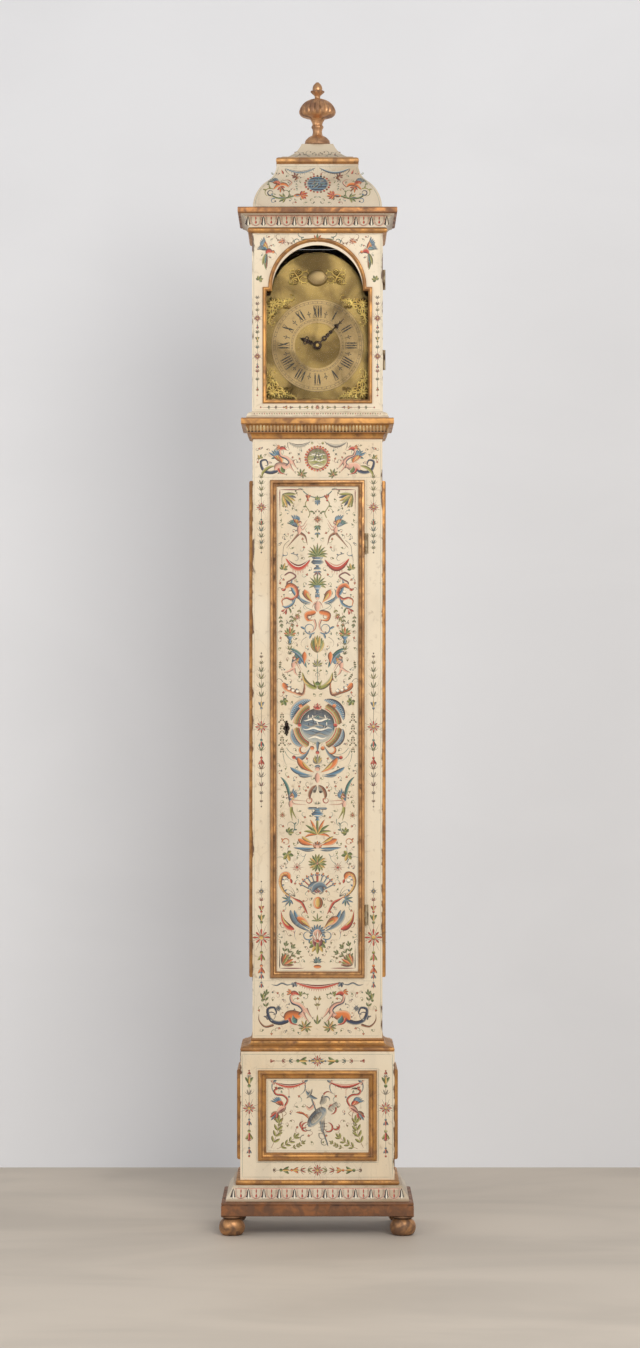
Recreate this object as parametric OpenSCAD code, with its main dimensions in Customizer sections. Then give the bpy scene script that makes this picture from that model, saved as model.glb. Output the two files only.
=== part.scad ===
// Longcase clock: painted case on bun feet, hood with arched dial and bell top, rope-driven movement.
// Millimetres. X is to the right, the front faces -Y, Z is up. The origin is on the floor, in the middle
// of the clock's width and of its depth, feet included.

/* [Feet and plinth] */
// Greatest radius of a bun foot
foot_r = 29; // [24:0.5:34]
// Height of a bun foot
foot_h = 44; // [36:1:60]
// How far the gilt plinth band stands out past the base box
plinth_out = 42; // [36:0.5:50]
// How far a foot stands out past the plinth band
foot_proud = 5; // [0:0.5:8]
// Height of the flat gilt band
plinth_band_h = 32; // [24:1:44]
// Height of the painted ogee above the band
plinth_ogee_h = 34; // [26:1:46]
// How far the ogee's lower edge stands out past the base box
plinth_ogee_out = 32; // [26:0.5:36]
// How far the ogee's upper edge stands out past the base box
plinth_ogee_top_out = 16.5; // [12:0.5:21]
// Height of the gilt bead on the ogee
plinth_bead_h = 11; // [8:0.5:16]
// How far the gilt bead stands out past the base box
plinth_bead_out = 10.5; // [7:0.5:14]

/* [Base box] */
// How far the base box stands out past the trunk, at the front and at each side
base_out = 27; // [18:0.5:32]
// Height of the base box
base_h = 288; // [240:2:340]
// Thickness of the base box's front and sides
base_wall = 16; // [12:1:22]
// Thickness of the base box's floor
base_floor = 12; // [8:1:18]
// Plain margin of the base's front at each side of the applied frame
base_frame_side = 40; // [28:1:60]
// Plain margin below the applied frames on the base
base_frame_up = 43; // [30:1:60]
// Plain margin above the applied frames on the base
base_frame_down = 42; // [30:1:60]

/* [Trunk] */
// Width of the trunk
trunk_w = 293; // [280:1:310]
// Depth of the trunk from its front face to the wall
trunk_depth = 197; // [180:1:230]
// Height of the waist moulding between base and trunk
waist_h = 28; // [20:1:36]
// Height of the trunk's sides and front
trunk_h = 1350.5; // [1300:0.5:1400]
// Thickness of the trunk's sides
trunk_wall = 15; // [12:0.5:18]
// Thickness of the trunk's front frame
trunk_front_t = 18; // [14:0.5:22]
// Thickness of the backboard
backboard_t = 14; // [10:0.5:18]
// Width of an applied frame moulding
frame_member = 18.5; // [14:0.5:22]
// How far an applied frame moulding stands out
frame_proud = 8; // [5:0.5:10]

/* [Trunk door] */
// Width of the trunk's front at each side of the door's gilt lip
stile_w = 40; // [34:0.5:48]
// Height of the trunk's front below the door's gilt lip
door_up = 136; // [100:1:160]
// Height of the trunk's front above the door's gilt lip
door_down = 92; // [70:1:120]
// Width of the lip moulding
lip_member = 14.5; // [12:0.5:18]
// How far the lip moulding stands out from the door panel
lip_proud = 8.5; // [6:0.5:11]
// How far the lip covers the trunk's front round the opening
lip_cover = 8.5; // [6:0.5:10]
// Play between the door panel and its opening
door_play = 1.8; // [1.6:0.1:2.5]
// Thickness of the door panel
door_t = 17; // [12:0.5:20]

/* [Trunk cornice] */
// Height of the gilt cavetto
cavetto_h = 16; // [12:0.5:22]
// How far the cavetto's upper edge stands out past the trunk
cavetto_out = 10.5; // [7:0.5:14]
// Height of the carved leaf row
leaf_row_h = 15.5; // [12:0.5:22]
// How far the leaf row stands out past the trunk
leaf_row_out = 14.5; // [12:0.5:19]
// Height of the flat band over the leaf row
trunk_band_h = 15.6; // [12:0.1:22]
// How far the flat band stands out past the trunk
trunk_band_out = 25.5; // [22:0.5:30]
// Distance from one carved leaf to the next
leaf_pitch = 10; // [8:0.5:14]
// Half the width of a carved leaf
leaf_r = 3.8; // [3:0.1:3.9]

/* [Hood] */
// How much wider the hood is than the trunk, at each side
hood_out = 0.8; // [0.4:0.1:4]
// How far the hood's front stands ahead of the trunk's front
hood_ahead = 5; // [2:0.5:10]
// Height of the hood's base moulding
hood_base_h = 15; // [12:0.5:20]
// How far the hood's base moulding stands out past the hood
hood_base_out = 13.2; // [9:0.1:17]
// Height of the hood door
hood_door_h = 401; // [380:1:420]
// Thickness of the hood door
hood_door_t = 18; // [14:0.5:22]
// Thickness of the hood's sides
hood_wall = 14; // [11:0.5:16]
// Thickness of the frame behind the hood door
hood_frame_t = 12; // [8:0.5:16]
// Thickness of the hood's top board
hood_top_t = 12; // [8:0.5:18]
// Height of the gilt bead under the painted cavetto
hood_bead_h = 12; // [8:0.5:16]
// How far the gilt bead stands out past the hood
hood_bead_out = 9.7; // [7:0.1:12]
// Height of the painted cavetto
hood_frieze_h = 29; // [22:0.5:38]
// How far the painted cavetto's upper edge stands out past the hood
hood_frieze_out = 25.2; // [20:0.1:28]
// Height of the gilt top band
hood_band_h = 14; // [10:0.5:20]
// How far the gilt top band stands out past the hood
hood_band_out = 32; // [29:0.5:37]

/* [Hood glazing] */
// Width of the hood door's stiles at each side of the glazed opening
sight_side = 31.8; // [28:0.1:38]
// Height of the opening's sill above the door's lower edge
sight_sill = 25.6; // [18:0.2:34]
// Height of the arch's centre above the door's lower edge
sight_spring = 272; // [262:0.5:280]
// Width of the shoulder between the opening's side and its arch
sight_shoulder = 12.9; // [9:0.1:18]
// Width of the gilt glazing moulding
glazing_member = 8; // [5:0.5:10]
// How far the glazing moulding stands out
glazing_proud = 6; // [4:0.5:9]
// Thickness of the glass
glass_t = 2.5; // [2:0.1:4]
// Width of the rebate that the glass lies in
glass_rebate = 5; // [3:0.5:7]

/* [Caddy and finial] */
// How far the bell's foot stands back from the hood's faces
bell_back = 1.3; // [0:0.1:8]
// How far the bell draws in from its foot to its top
bell_in = 53.5; // [42:0.5:64]
// Height of the bell
bell_h = 110; // [90:1:130]
// Share of the bell's height below the turn from hollow to round
bell_round_share = 0.63; // [0.5:0.01:0.75]
// How far the gilt rim stands out past the bell's top
rim_out = 1.5; // [0.5:0.5:12]
// Height of the gilt rim
rim_h = 16; // [12:0.5:22]
// How far the cap's foot stands back from the rim
cap_back = 12.5; // [6:0.5:18]
// How far the cap draws in from its foot to its top
cap_in = 45.5; // [38:0.5:52]
// Height of the cap
cap_h = 40; // [30:1:50]
// Slope of the cap's hollow side at its foot, in degrees
cap_foot_slope = 14; // [6:1:24]
// Largest radius of the finial
finial_r = 42; // [34:1:50]
// Height of the finial
finial_h = 145; // [120:1:170]

/* [Dial] */
// How far the dial plate reaches behind the opening's sides
dial_cover = 4.5; // [3:0.5:8]
// Height of the dial's square part
dial_square_h = 240; // [234:1:246]
// Distance from the dial plate's lower edge up to the hands' axis
dial_axis_up = 128; // [122:1:134]
// How far the dial's arch reaches behind the opening's arch
dial_arch_cover = 4.4; // [3:0.1:7]
// Distance from the hands' axis up to the arch's centre
dial_arch_up = 104.4; // [98:0.2:110]
// Thickness of the dial plate
dial_t = 2; // [1.5:0.1:3]
// Distance from the chapter ring to the dial plate's side
chapter_side = 16; // [13:0.5:22]
// Width of the chapter ring
chapter_ring_w = 52.5; // [44:0.5:58]
// Thickness of the chapter ring
chapter_t = 1.5; // [1:0.1:2.5]
// Thickness of the cast mounts on the dial
cast_t = 3; // [2:0.1:4]
// Half the width of the oval boss in the arch
boss_half_w = 24.5; // [18:0.5:28]
// Half the height of the oval boss in the arch
boss_half_h = 18.5; // [14:0.5:22]

/* [Hands] */
// Length of the minute hand from the axis to its tip
minute_hand_l = 86; // [78:0.5:94]
// Length of the hour hand from the axis to its tip
hour_hand_l = 44; // [38:0.5:50]
// Thickness of a hand
hand_t = 1.2; // [0.8:0.1:1.6]
// Angle of the minute hand from twelve, clockwise
minute_angle = 45; // [0:1:359]
// Angle of the hour hand from twelve, clockwise
hour_angle = 293; // [0:1:359]

/* [Movement] */
// Half the width of a movement plate
plate_half_w = 66; // [64:0.5:70]
// Height of a movement plate
plate_h = 172; // [168:1:176]
// Thickness of a movement plate
plate_t = 3; // [2:0.1:4]
// Clear distance between the plates
plate_gap = 60; // [58:0.5:62]
// Distance from the dial plate's back to the front movement plate
dial_stand = 32; // [30:0.5:36]
// Module of the great wheel and its pinion
great_module = 0.9; // [0.85:0.01:0.95]
// Module of the second wheel and the escape pinion
second_module = 0.75; // [0.7:0.01:0.78]
// Module of the drive, cannon and minute wheels
motion_module = 0.95; // [0.92:0.01:0.98]
// Radius of the escape wheel
escape_r = 20; // [18:0.5:21]
// Radius of the pivots and thin arbors
arbor_r = 1.5; // [1.2:0.1:1.8]
// Radial play of a shaft in its hole
run_play = 0.05; // [0.03:0.01:0.1]

/* [Rope and weight] */
// Radius of the rope
rope_r = 2.5; // [2:0.1:3]
// Radius of the rope's centre line round a sprocket
sprocket_r = 25; // [22:0.5:27]
// Distance between the rope's two runs on one side
rope_spread = 36; // [34:0.5:38]
// Radius of the driving weight
weight_r = 30; // [24:0.5:31]
// Height of the driving weight
weight_h = 150; // [110:1:180]
// Height of the weight's pulley above the floor when wound
pulley_z = 1700; // [1650:1:1740]
// Height of the ring weight's loop above the floor when wound
ring_z = 560; // [520:1:600]

/* [Pendulum] */
// Length from the suspension to the middle of the bob
pendulum_l = 994; // [960:1:1010]
// Radius of the bob
bob_r = 55; // [40:1:62]
// Thickness of the bob
bob_t = 28; // [20:1:30]
// Radius of the pendulum rod
rod_r = 2.5; // [2:0.1:3]

/* [Hinges and lock] */
// Radius of a hinge knuckle
knuckle_r = 3; // [2.5:0.1:3.4]
// Radius of a hinge pin
pin_r = 1.2; // [1:0.1:1.4]
// Height of one hinge
hinge_h = 45; // [36:1:60]
// Thickness of a hinge leaf
leaf_t = 1.4; // [1:0.1:1.6]
// Width of a trunk hinge's leaf on the trunk's front
hinge_leaf_w = 5; // [4:0.5:12]
// Height of the keyhole above the door lip's lower edge
keyhole_up = 565; // [500:1:620]
// Distance from the door's middle to the keyhole
keyhole_out = 69.5; // [60:0.5:76]

/* [Hidden] */
$fn = 64;

// Finishes
gilt = "#b8863c";
cream = "#e8dcc0";
brass = "#c9a655";
steel = "#4a4a4e";
iron = "#33302e";
oak = "#a98f63";
hemp = "#b39a6b";
dark_wood = "#3a2a1e";
ring_metal = "#cdbd94";

// Gaps
seat_gap = 0.4;
slide_gap = 0.3;
eps = 0.01;

// Widths, from the trunk outwards
base_w = trunk_w + 2 * base_out;
base_frame_w = base_w - 2 * base_frame_side;
base_frame_h = base_h - base_frame_up - base_frame_down;
plinth_w = base_w + 2 * plinth_out;
foot_w = plinth_w + 2 * foot_proud;
door_w = trunk_w - 2 * stile_w;
door_h = trunk_h - door_up - door_down;
hood_w = trunk_w + 2 * hood_out;
sight_half = hood_w / 2 - sight_side;
sight_arch_r = sight_half - sight_shoulder;
bell_w = hood_w - 2 * bell_back;
rim_w = bell_w - 2 * (bell_in - rim_out);
cap_w = rim_w - 2 * cap_back;
dial_w = 2 * (sight_half + dial_cover);
dial_arch_r = sight_arch_r + dial_arch_cover;
chapter_r = dial_w / 2 - chapter_side;
chapter_in_r = chapter_r - chapter_ring_w;

// Depth: everything is measured from the wall at the back
case_depth = trunk_depth + (foot_w - trunk_w) / 2;
case_back = case_depth / 2;
trunk_front = case_back - trunk_depth;
hood_front = trunk_front - hood_ahead;
function front_of(w) = trunk_front - (w - trunk_w) / 2;

// Heights, from the floor up
band_z = foot_h;
ogee_z = band_z + plinth_band_h;
bead_z = ogee_z + plinth_ogee_h;
base_z = bead_z + plinth_bead_h;
waist_z = base_z + base_h;
trunk_z = waist_z + waist_h;
cornice_z = trunk_z + trunk_h;
leaf_row_z = cornice_z + cavetto_h;
trunk_band_z = leaf_row_z + leaf_row_h;
trunk_top = trunk_band_z + trunk_band_h;
hood_z = trunk_top + seat_gap;
hood_door_z = hood_z + hood_base_h + seat_gap;
hood_bead_z = hood_door_z + hood_door_h + seat_gap;
hood_frieze_z = hood_bead_z + hood_bead_h;
hood_band_z = hood_frieze_z + hood_frieze_h;
hood_top = hood_band_z + hood_band_h;
rim_z = hood_top + bell_h;
cap_z = rim_z + rim_h;
finial_z = cap_z + cap_h;

// Sections
under_wall = 13;
base_frame_z = base_z + base_frame_up;
door_z = trunk_z + door_up;
panel_front = trunk_front - seat_gap;
opening_half = door_w / 2 - lip_cover;
panel_half = opening_half - door_play;
side_margin = 22;
side_frame_depth = trunk_depth - 2 * side_margin;
base_side_frame_depth = trunk_depth - side_margin;
inside_half = trunk_w / 2 - trunk_wall;
backboard_half = inside_half - slide_gap;
backboard_front = case_back - backboard_t;

// Hood
door_back = hood_front + hood_door_t;
frame_front = door_back + slide_gap;
hood_inside_half = hood_w / 2 - hood_wall;
sill_z = hood_door_z + sight_sill;
spring_z = hood_door_z + sight_spring;
glass_set = 7;
glass_front = hood_front + glass_set;
frame_margin = 4;

// Dial and hands
dial_set = 34.5;
dial_drop = 1;
dial_front = trunk_front + dial_set;
dial_z = sill_z - dial_drop;
axis_z = dial_z + dial_axis_up;
arch_z = axis_z + dial_arch_up;
boss_z = arch_z + dial_arch_r * 0.454;
mount_r = 19;
mount_out = boss_half_w + mount_r + 1;

// Movement
plate_front = dial_front + dial_t + dial_stand;
plate_inner = plate_front + plate_t;
back_inner = plate_inner + plate_gap;
back_outer = back_inner + plate_t;
great_teeth = 96;
second_teeth = 80;
pinion_leaves = 8;
drive_teeth = 60;
cannon_teeth = 30;
minute_teeth = 40;
hour_teeth = 72;
great_drop = motion_module * (drive_teeth + cannon_teeth) / 2;
great_z = axis_z - great_drop;
great_reach = great_module * (great_teeth + pinion_leaves) / 2;
second_lean = 40;
second_x = great_reach * sin(second_lean);
second_z = great_z + great_reach * cos(second_lean);
escape_reach = second_module * (second_teeth + pinion_leaves) / 2;
escape_z = second_z + sqrt(escape_reach * escape_reach - second_x * second_x);
anchor_z = escape_z + escape_r * sqrt(2);
minute_x = motion_module * (cannon_teeth + minute_teeth) / 2;
hour_module = 2 * minute_x / (hour_teeth + pinion_leaves);
seat_t = 18;
great_clear = 17;
seat_top = great_z - great_module * great_teeth / 2 - great_clear;
seat_z = seat_top - seat_t;
seat_front = plate_front - 12;
seat_back = back_outer + 9;
cheek_t = 14;
cheek_drop = 130;

// Depth of each wheel, from the front plate's inner face
great_arbor_r = 2 * arbor_r;
sprocket_w = 10;
going_y = plate_inner + 12;
winding_y = going_y + rope_spread;
great_y = plate_inner + 23;
second_y = plate_inner + 34;
escape_y = plate_inner + 54;
wheel_t = 2;
great_t = 3;
pipe_r = 6;
pipe_y = winding_y - sprocket_w / 2 - 2;
motion_y = plate_front - 4.5;
hour_y = motion_y - 5.5;
stud_r = 2;
cannon_r = 3.5;
hour_pipe_r = 5;
hub_front = dial_front - 9;
hour_hand_y = dial_front - cast_t - 1.8;
minute_hand_y = hour_hand_y - 2.4;

// Pendulum
pendulum_y = back_outer + 20;
crutch_y = back_outer + 2;
cock_y = back_outer + 7;
crutch_l = 115;
bob_z = anchor_z - pendulum_l;

// Rope and weight
pulley_r = rope_spread / 2;
rope_mid_y = going_y + rope_spread / 2;
groove_play = 0.3;

// Points of an arc in a plane
function arc(cx, cy, r, a0, a1, n) = [for (i = [0:n])
    let (a = a0 + (a1 - a0) * i / n) [cx + r * cos(a), cy + r * sin(a)]];

// Moulding that wraps the front and both sides; the child is its section, outwards and up
module wrap(w, reach, inset, z_low, z_high) {
    front = front_of(w);
    wrap_at(w, front, reach, inset, z_low, z_high) children();
}

module wrap_at(w, front, reach, inset, z_low, z_high) {
    half = w / 2;
    rise = z_high - z_low;
    intersection() {
        translate([-half - reach, front, 0]) rotate([90, 0, 90])
            linear_extrude(w + 2 * reach) mirror([1, 0]) children();
        translate([0, 0, z_low]) linear_extrude(rise)
            polygon([[-half - reach, front - reach], [half + reach, front - reach],
                [half - inset, front + inset], [-half + inset, front + inset]]);
    }
    for (side = [0, 1]) mirror([side, 0, 0]) intersection() {
        translate([half, case_back, 0]) rotate([90, 0, 0])
            linear_extrude(case_back - front + reach) children();
        translate([0, 0, z_low]) linear_extrude(rise)
            polygon([[half + reach, front - reach], [half + reach, case_back],
                [half - inset, case_back], [half - inset, front + inset]]);
    }
}

// One rail of a picture frame, lying on its back; the child is its section, inwards and proud
module frame_rail(length, member, proud) {
    intersection() {
        translate([-length / 2, 0, 0]) rotate([90, 0, 90]) linear_extrude(length) children();
        linear_extrude(proud)
            polygon([[-length / 2, 0], [length / 2, 0], [length / 2 - member, member],
                [member - length / 2, member]]);
    }
}

module rect_frame(w, h, member, proud) {
    for (turn = [0, 180]) {
        rotate(turn) translate([0, -h / 2, 0]) frame_rail(w, member, proud) children();
        rotate(turn + 90) translate([0, -w / 2, 0]) frame_rail(h, member, proud) children();
    }
}

// Section of an applied frame: a fillet, a rounded crest and a hollow down to the panel
module frame_section(member, proud) {
    crest = member * 0.3;
    hollow = member - 2 * crest;
    polygon(concat(
        [[0, 0], [0, proud - crest * 0.7]],
        [for (p = arc(crest, proud - crest * 0.7, crest, 180, 90, 6)) [p[0], min(p[1], proud)]],
        [for (i = [0:6]) let (a = 90 * i / 6)
            [crest * 1.6 + (hollow + crest * 0.2) * (1 - cos(a)), proud - (proud * 0.72) * sin(a)]],
        [[member, proud * 0.28], [member, 0]]));
}

// Outline of the arched glazing, grown by a margin
module arched_outline(margin) {
    translate([-sight_half - margin, sill_z - margin])
        square([2 * (sight_half + margin), spring_z - sill_z + 2 * margin]);
    translate([0, spring_z]) circle(r = sight_arch_r + margin);
}

// Upright plate: a flat outline in X and Z, from one depth to a greater one
module upright(y, t) {
    translate([0, y + t, 0]) rotate([90, 0, 0]) linear_extrude(t) children();
}

// Turned along Y: the child is a half section, radius and distance towards the front
module turned_y(x, y, z) {
    translate([x, y, z]) rotate([90, 0, 0]) rotate_extrude() children();
}

module shaft_y(x, z, y0, y1, r) {
    translate([x, y1, z]) rotate([90, 0, 0]) cylinder(r = r, h = y1 - y0);
}

// Toothed outline; teeth are narrower than the gaps so that the pair runs free
module teeth(n, m, share, tip, root) {
    pitch = n * m / 2;
    step = 360 / n;
    half = step * share / 2;
    polygon([for (i = [0:n - 1]) let (a = i * step) each [
        [(pitch - root * m) * cos(a - half), (pitch - root * m) * sin(a - half)],
        [pitch * cos(a - half), pitch * sin(a - half)],
        [(pitch + tip * m) * cos(a - half * 0.45), (pitch + tip * m) * sin(a - half * 0.45)],
        [(pitch + tip * m) * cos(a + half * 0.45), (pitch + tip * m) * sin(a + half * 0.45)],
        [pitch * cos(a + half), pitch * sin(a + half)],
        [(pitch - root * m) * cos(a + half), (pitch - root * m) * sin(a + half)]]]);
}

module wheel_outline(n, m) { teeth(n, m, 0.42, 0.9, 1.15); }
module pinion_outline(m) { teeth(pinion_leaves, m, 0.3, 0.6, 1.25); }

// A wheel with crossings, in its own plane
module crossed(rim_in, hub, arms, arm_w, bore) {
    difference() {
        children();
        difference() {
            circle(r = rim_in);
            circle(r = hub);
            for (i = [0:arms - 1]) rotate(i * 360 / arms) translate([0, -arm_w / 2]) square([rim_in, arm_w]);
        }
        if (bore > 0) circle(r = bore);
    }
}

// Places a flat wheel on the axis at x, z; turn is anticlockwise as seen from the front
module wheel_at(x, z, y, t, turn) {
    translate([x, y + t, z]) rotate([90, 0, 0]) linear_extrude(t) rotate(turn) children();
}

// Feet and plinth
module bun_foot() {
    belly = foot_h * 0.42;
    rotate_extrude() polygon(concat(
        [[0, 0], [foot_r * 0.66, 0]],
        [for (a = [-60:15:60]) [foot_r * 0.62 + foot_r * 0.38 * cos(a), belly + belly * 0.98 * sin(a)]],
        [[foot_r * 0.68, foot_h * 0.84], [foot_r * 0.66, foot_h * 0.88], [foot_r * 0.86, foot_h * 0.92],
            [foot_r * 0.86, foot_h], [0, foot_h]]));
}

module bun_feet() {
    reach = case_back - foot_r;
    color(dark_wood) for (side = [-1, 1]) for (y = [-reach, reach])
        translate([side * (foot_w / 2 - foot_r), y, 0]) bun_foot();
}

module plinth_band() {
    reach = plinth_out;
    color(gilt) wrap(base_w, reach + 2, under_wall, band_z, ogee_z)
        polygon([[-under_wall, band_z], [reach, band_z], [reach, ogee_z - 3], [reach - 3, ogee_z],
            [-under_wall, ogee_z]]);
}

module plinth_ogee() {
    low = plinth_ogee_out;
    high = plinth_ogee_top_out;
    color(cream) wrap(base_w, low + 2, under_wall, ogee_z, bead_z)
        polygon(concat([[-under_wall, ogee_z], [low, ogee_z], [low, ogee_z + 5]],
            [for (i = [0:10]) let (u = i / 10)
                [low - 1 - (low - high - 1) * (3 * u * u - 2 * u * u * u),
                    ogee_z + 5 + (plinth_ogee_h - 8) * u]],
            [[high, bead_z], [-under_wall, bead_z]]));
}

module plinth_bead() {
    r = plinth_bead_h / 2;
    reach = plinth_bead_out;
    color(gilt) wrap(base_w, reach + 2, under_wall, bead_z, base_z)
        polygon(concat([[-under_wall, bead_z]], arc(reach - r, bead_z + r, r, -90, 90, 12),
            [[-under_wall, base_z]]));
}

// Base box: floor, front and sides, open at the top into the trunk
module base_box() {
    front = front_of(base_w);
    color(cream) difference() {
        translate([-base_w / 2, front, base_z]) cube([base_w, case_back - front, base_h]);
        translate([-base_w / 2 + base_wall, front + base_wall, base_z + base_floor])
            cube([base_w - 2 * base_wall, case_depth, base_h]);
    }
}

module base_panel_frames() {
    zc = base_frame_z + base_frame_h / 2;
    yc = (front_of(base_w) + case_back) / 2;
    color(gilt) {
        translate([0, front_of(base_w), zc]) rotate([90, 0, 0])
            rect_frame(base_frame_w, base_frame_h, frame_member, frame_proud)
                frame_section(frame_member, frame_proud);
        for (side = [0, 1]) mirror([side, 0, 0]) translate([base_w / 2, yc, zc]) rotate([90, 0, 90])
            rect_frame(base_side_frame_depth, base_frame_h, frame_member, frame_proud)
                frame_section(frame_member, frame_proud);
    }
}

module waist_moulding() {
    low = base_out;
    color(gilt) wrap(trunk_w, low + 2, under_wall, waist_z, trunk_z)
        polygon(concat(
            [[-under_wall, waist_z], [low, waist_z], [low, waist_z + 6], [low - 2.5, waist_z + 8]],
            [for (i = [0:10]) let (a = 90 * i / 10)
                [(low - 4) * (1 - sin(a)) + 1.5, waist_z + 8 + (waist_h - 11) * (1 - cos(a))]],
            [[1.5, trunk_z], [-under_wall, trunk_z]]));
}

// Trunk: front frame with the door opening, two sides, cheeks that carry the seatboard
module trunk_carcase() {
    half = trunk_w / 2;
    rise = trunk_top - trunk_z;
    color(cream) {
        difference() {
            translate([-half, trunk_front, trunk_z]) cube([trunk_w, trunk_depth, rise]);
            translate([-inside_half, trunk_front + trunk_front_t, trunk_z - 1])
                cube([2 * inside_half, trunk_depth, rise + 2]);
            translate([-opening_half, trunk_front - 1, door_z + lip_cover])
                cube([2 * opening_half, trunk_front_t + 2, door_h - 2 * lip_cover]);
        }
        for (side = [0, 1]) mirror([side, 0, 0])
            translate([inside_half - cheek_t, seat_front, seat_z - cheek_drop])
                cube([cheek_t + eps, seat_back - seat_front, cheek_drop]);
    }
}

module trunk_side_frames() {
    zc = door_z + door_h / 2;
    yc = (trunk_front + case_back) / 2;
    color(gilt) for (side = [0, 1]) mirror([side, 0, 0]) translate([trunk_w / 2, yc, zc]) rotate([90, 0, 90])
        rect_frame(side_frame_depth, door_h, lip_member, frame_proud) frame_section(lip_member, frame_proud);
}

module backboard() {
    low_half = base_w / 2 - base_wall - slide_gap;
    color(oak) {
        translate([-backboard_half, backboard_front, base_z + base_floor])
            cube([2 * backboard_half, backboard_t, hood_bead_z - 10 - base_z - base_floor]);
        translate([-low_half, backboard_front, base_z + base_floor])
            cube([2 * low_half, backboard_t, base_h - base_floor]);
    }
}

// Carved leaf: a round-topped reed that leans outwards
module carved_leaf() {
    stem = leaf_row_h - leaf_r - 1;
    rotate([atan((leaf_row_out - cavetto_out) / leaf_row_h), 0, 0]) {
        cylinder(r = leaf_r, h = stem);
        translate([0, 0, stem]) sphere(r = leaf_r);
    }
}

module leaf_run(length, depth) {
    count = floor((length - leaf_pitch) / leaf_pitch);
    for (i = [0:count]) translate([(i - count / 2) * leaf_pitch, depth, leaf_row_z]) carved_leaf();
}

module leaf_row() {
    front = trunk_front - cavetto_out + 1;
    side = trunk_w / 2 + cavetto_out - 1;
    leaf_run(2 * side, front);
    for (turn = [-90, 90]) translate([0, (front + case_back) / 2, 0]) rotate(turn)
        leaf_run(case_back - front, -side);
}

module trunk_cornice() {
    mid = cavetto_out;
    leaf = leaf_row_out;
    band = trunk_band_out;
    color(gilt) leaf_row();
    color(gilt) wrap(trunk_w, band + 2, 0, cornice_z, trunk_top)
        polygon(concat(
            [[0, cornice_z], [2, cornice_z], [2, cornice_z + 2]],
            [for (i = [1:8]) let (a = 90 * i / 8)
                [2 + (mid - 2) * (1 - cos(a)), cornice_z + 2 + (cavetto_h - 4) * sin(a)]],
            [[mid, leaf_row_z]],
            [for (i = [1:6]) let (a = 90 * i / 6)
                [mid + (leaf - mid) * sin(a), leaf_row_z + leaf_row_h * (1 - cos(a))]],
            [[band - 6, trunk_band_z], [band, trunk_band_z + 4], [band, trunk_top - 3], [band - 3, trunk_top],
                [0, trunk_top]]));
}

// Seatboard: slots let the rope through
module seatboard() {
    color(oak) difference() {
        translate([-inside_half + slide_gap, seat_front, seat_z])
            cube([2 * (inside_half - slide_gap), seat_back - seat_front, seat_t]);
        for (side = [-1, 1]) for (y = [going_y, winding_y])
            translate([side * sprocket_r, y, seat_z - 1]) cylinder(r = rope_r + 4, h = seat_t + 2);
    }
}

// Hinges: two fixed knuckles with the pin, and one moving knuckle between them
module knuckle(x, y, z, h, r) { translate([x, y, z]) cylinder(r = r, h = h); }

function hinge_third() = hinge_h / 3;

trunk_pin_x = door_w / 2 + knuckle_r + 0.5;
trunk_pin_y = trunk_front - leaf_t - knuckle_r - 0.3;
trunk_hinge_in = 120;
trunk_hinge_zs = [door_z + trunk_hinge_in, door_z + door_h - trunk_hinge_in - hinge_h];
hood_pin_x = hood_w / 2 + knuckle_r + 0.4;
hood_pin_y = door_back + slide_gap / 2;
hood_hinge_low = 95;
hood_hinge_high = 80;
hood_hinge_zs = [hood_door_z + hood_hinge_low, hood_door_z + hood_door_h - hood_hinge_high - hinge_h];

module fixed_knuckles(x, y, z) {
    knuckle(x, y, z, hinge_third() - 0.3, knuckle_r);
    knuckle(x, y, z + 2 * hinge_third() + 0.3, hinge_third() - 0.3, knuckle_r);
    knuckle(x, y, z, hinge_h, pin_r);
}

module moving_knuckle(x, y, z) {
    difference() {
        knuckle(x, y, z + hinge_third(), hinge_third(), knuckle_r);
        knuckle(x, y, z, hinge_h, pin_r + run_play);
    }
}

module trunk_hinge_leaves() {
    color(iron) for (z = trunk_hinge_zs) {
        fixed_knuckles(trunk_pin_x, trunk_pin_y, z);
        translate([trunk_pin_x, trunk_front - leaf_t, z]) cube([hinge_leaf_w, leaf_t, hinge_h]);
        for (dz = [0, 2 * hinge_third() + 0.3]) translate([trunk_pin_x - 1.2, trunk_pin_y + 1.5, z + dz])
            cube([2.4, trunk_front - trunk_pin_y - 1.5, hinge_third() - 0.3]);
    }
}

module trunk_door_knuckles() {
    color(iron) for (z = trunk_hinge_zs) {
        moving_knuckle(trunk_pin_x, trunk_pin_y, z);
        translate([door_w / 2, trunk_pin_y - 2, z + hinge_third()]) cube([0.9, 4, hinge_third()]);
    }
}

module trunk_door() {
    rise = door_h - 2 * (lip_cover + door_play);
    color(cream) difference() {
        translate([-panel_half, panel_front, door_z + lip_cover + door_play])
            cube([2 * panel_half, door_t, rise]);
        upright(panel_front - 1, door_t + 2) translate([-keyhole_out, door_z + keyhole_up]) keyhole();
    }
}

module trunk_door_frame() {
    color(gilt) translate([0, panel_front, door_z + door_h / 2]) rotate([90, 0, 0])
        rect_frame(door_w, door_h, lip_member, lip_proud) frame_section(lip_member, lip_proud);
}

// Keyhole: a round hole with a slot below it
keyhole_r = 3;
keyhole_slot = 9;
module keyhole() {
    circle(r = keyhole_r);
    translate([-keyhole_r / 2, -keyhole_slot]) square([keyhole_r, keyhole_slot]);
}

lock_w = 34;
lock_h = 66;
lock_t = 9;
escutcheon_t = 1.2;
module trunk_lock() {
    y = panel_front + door_t;
    color(iron) difference() {
        translate([-panel_half + 2, y, door_z + keyhole_up - lock_h / 2]) cube([lock_w, lock_t, lock_h]);
        translate([-keyhole_out, y - 1, door_z + keyhole_up]) rotate([-90, 0, 0])
            cylinder(r = keyhole_r, h = lock_t - 2);
    }
}

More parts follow.
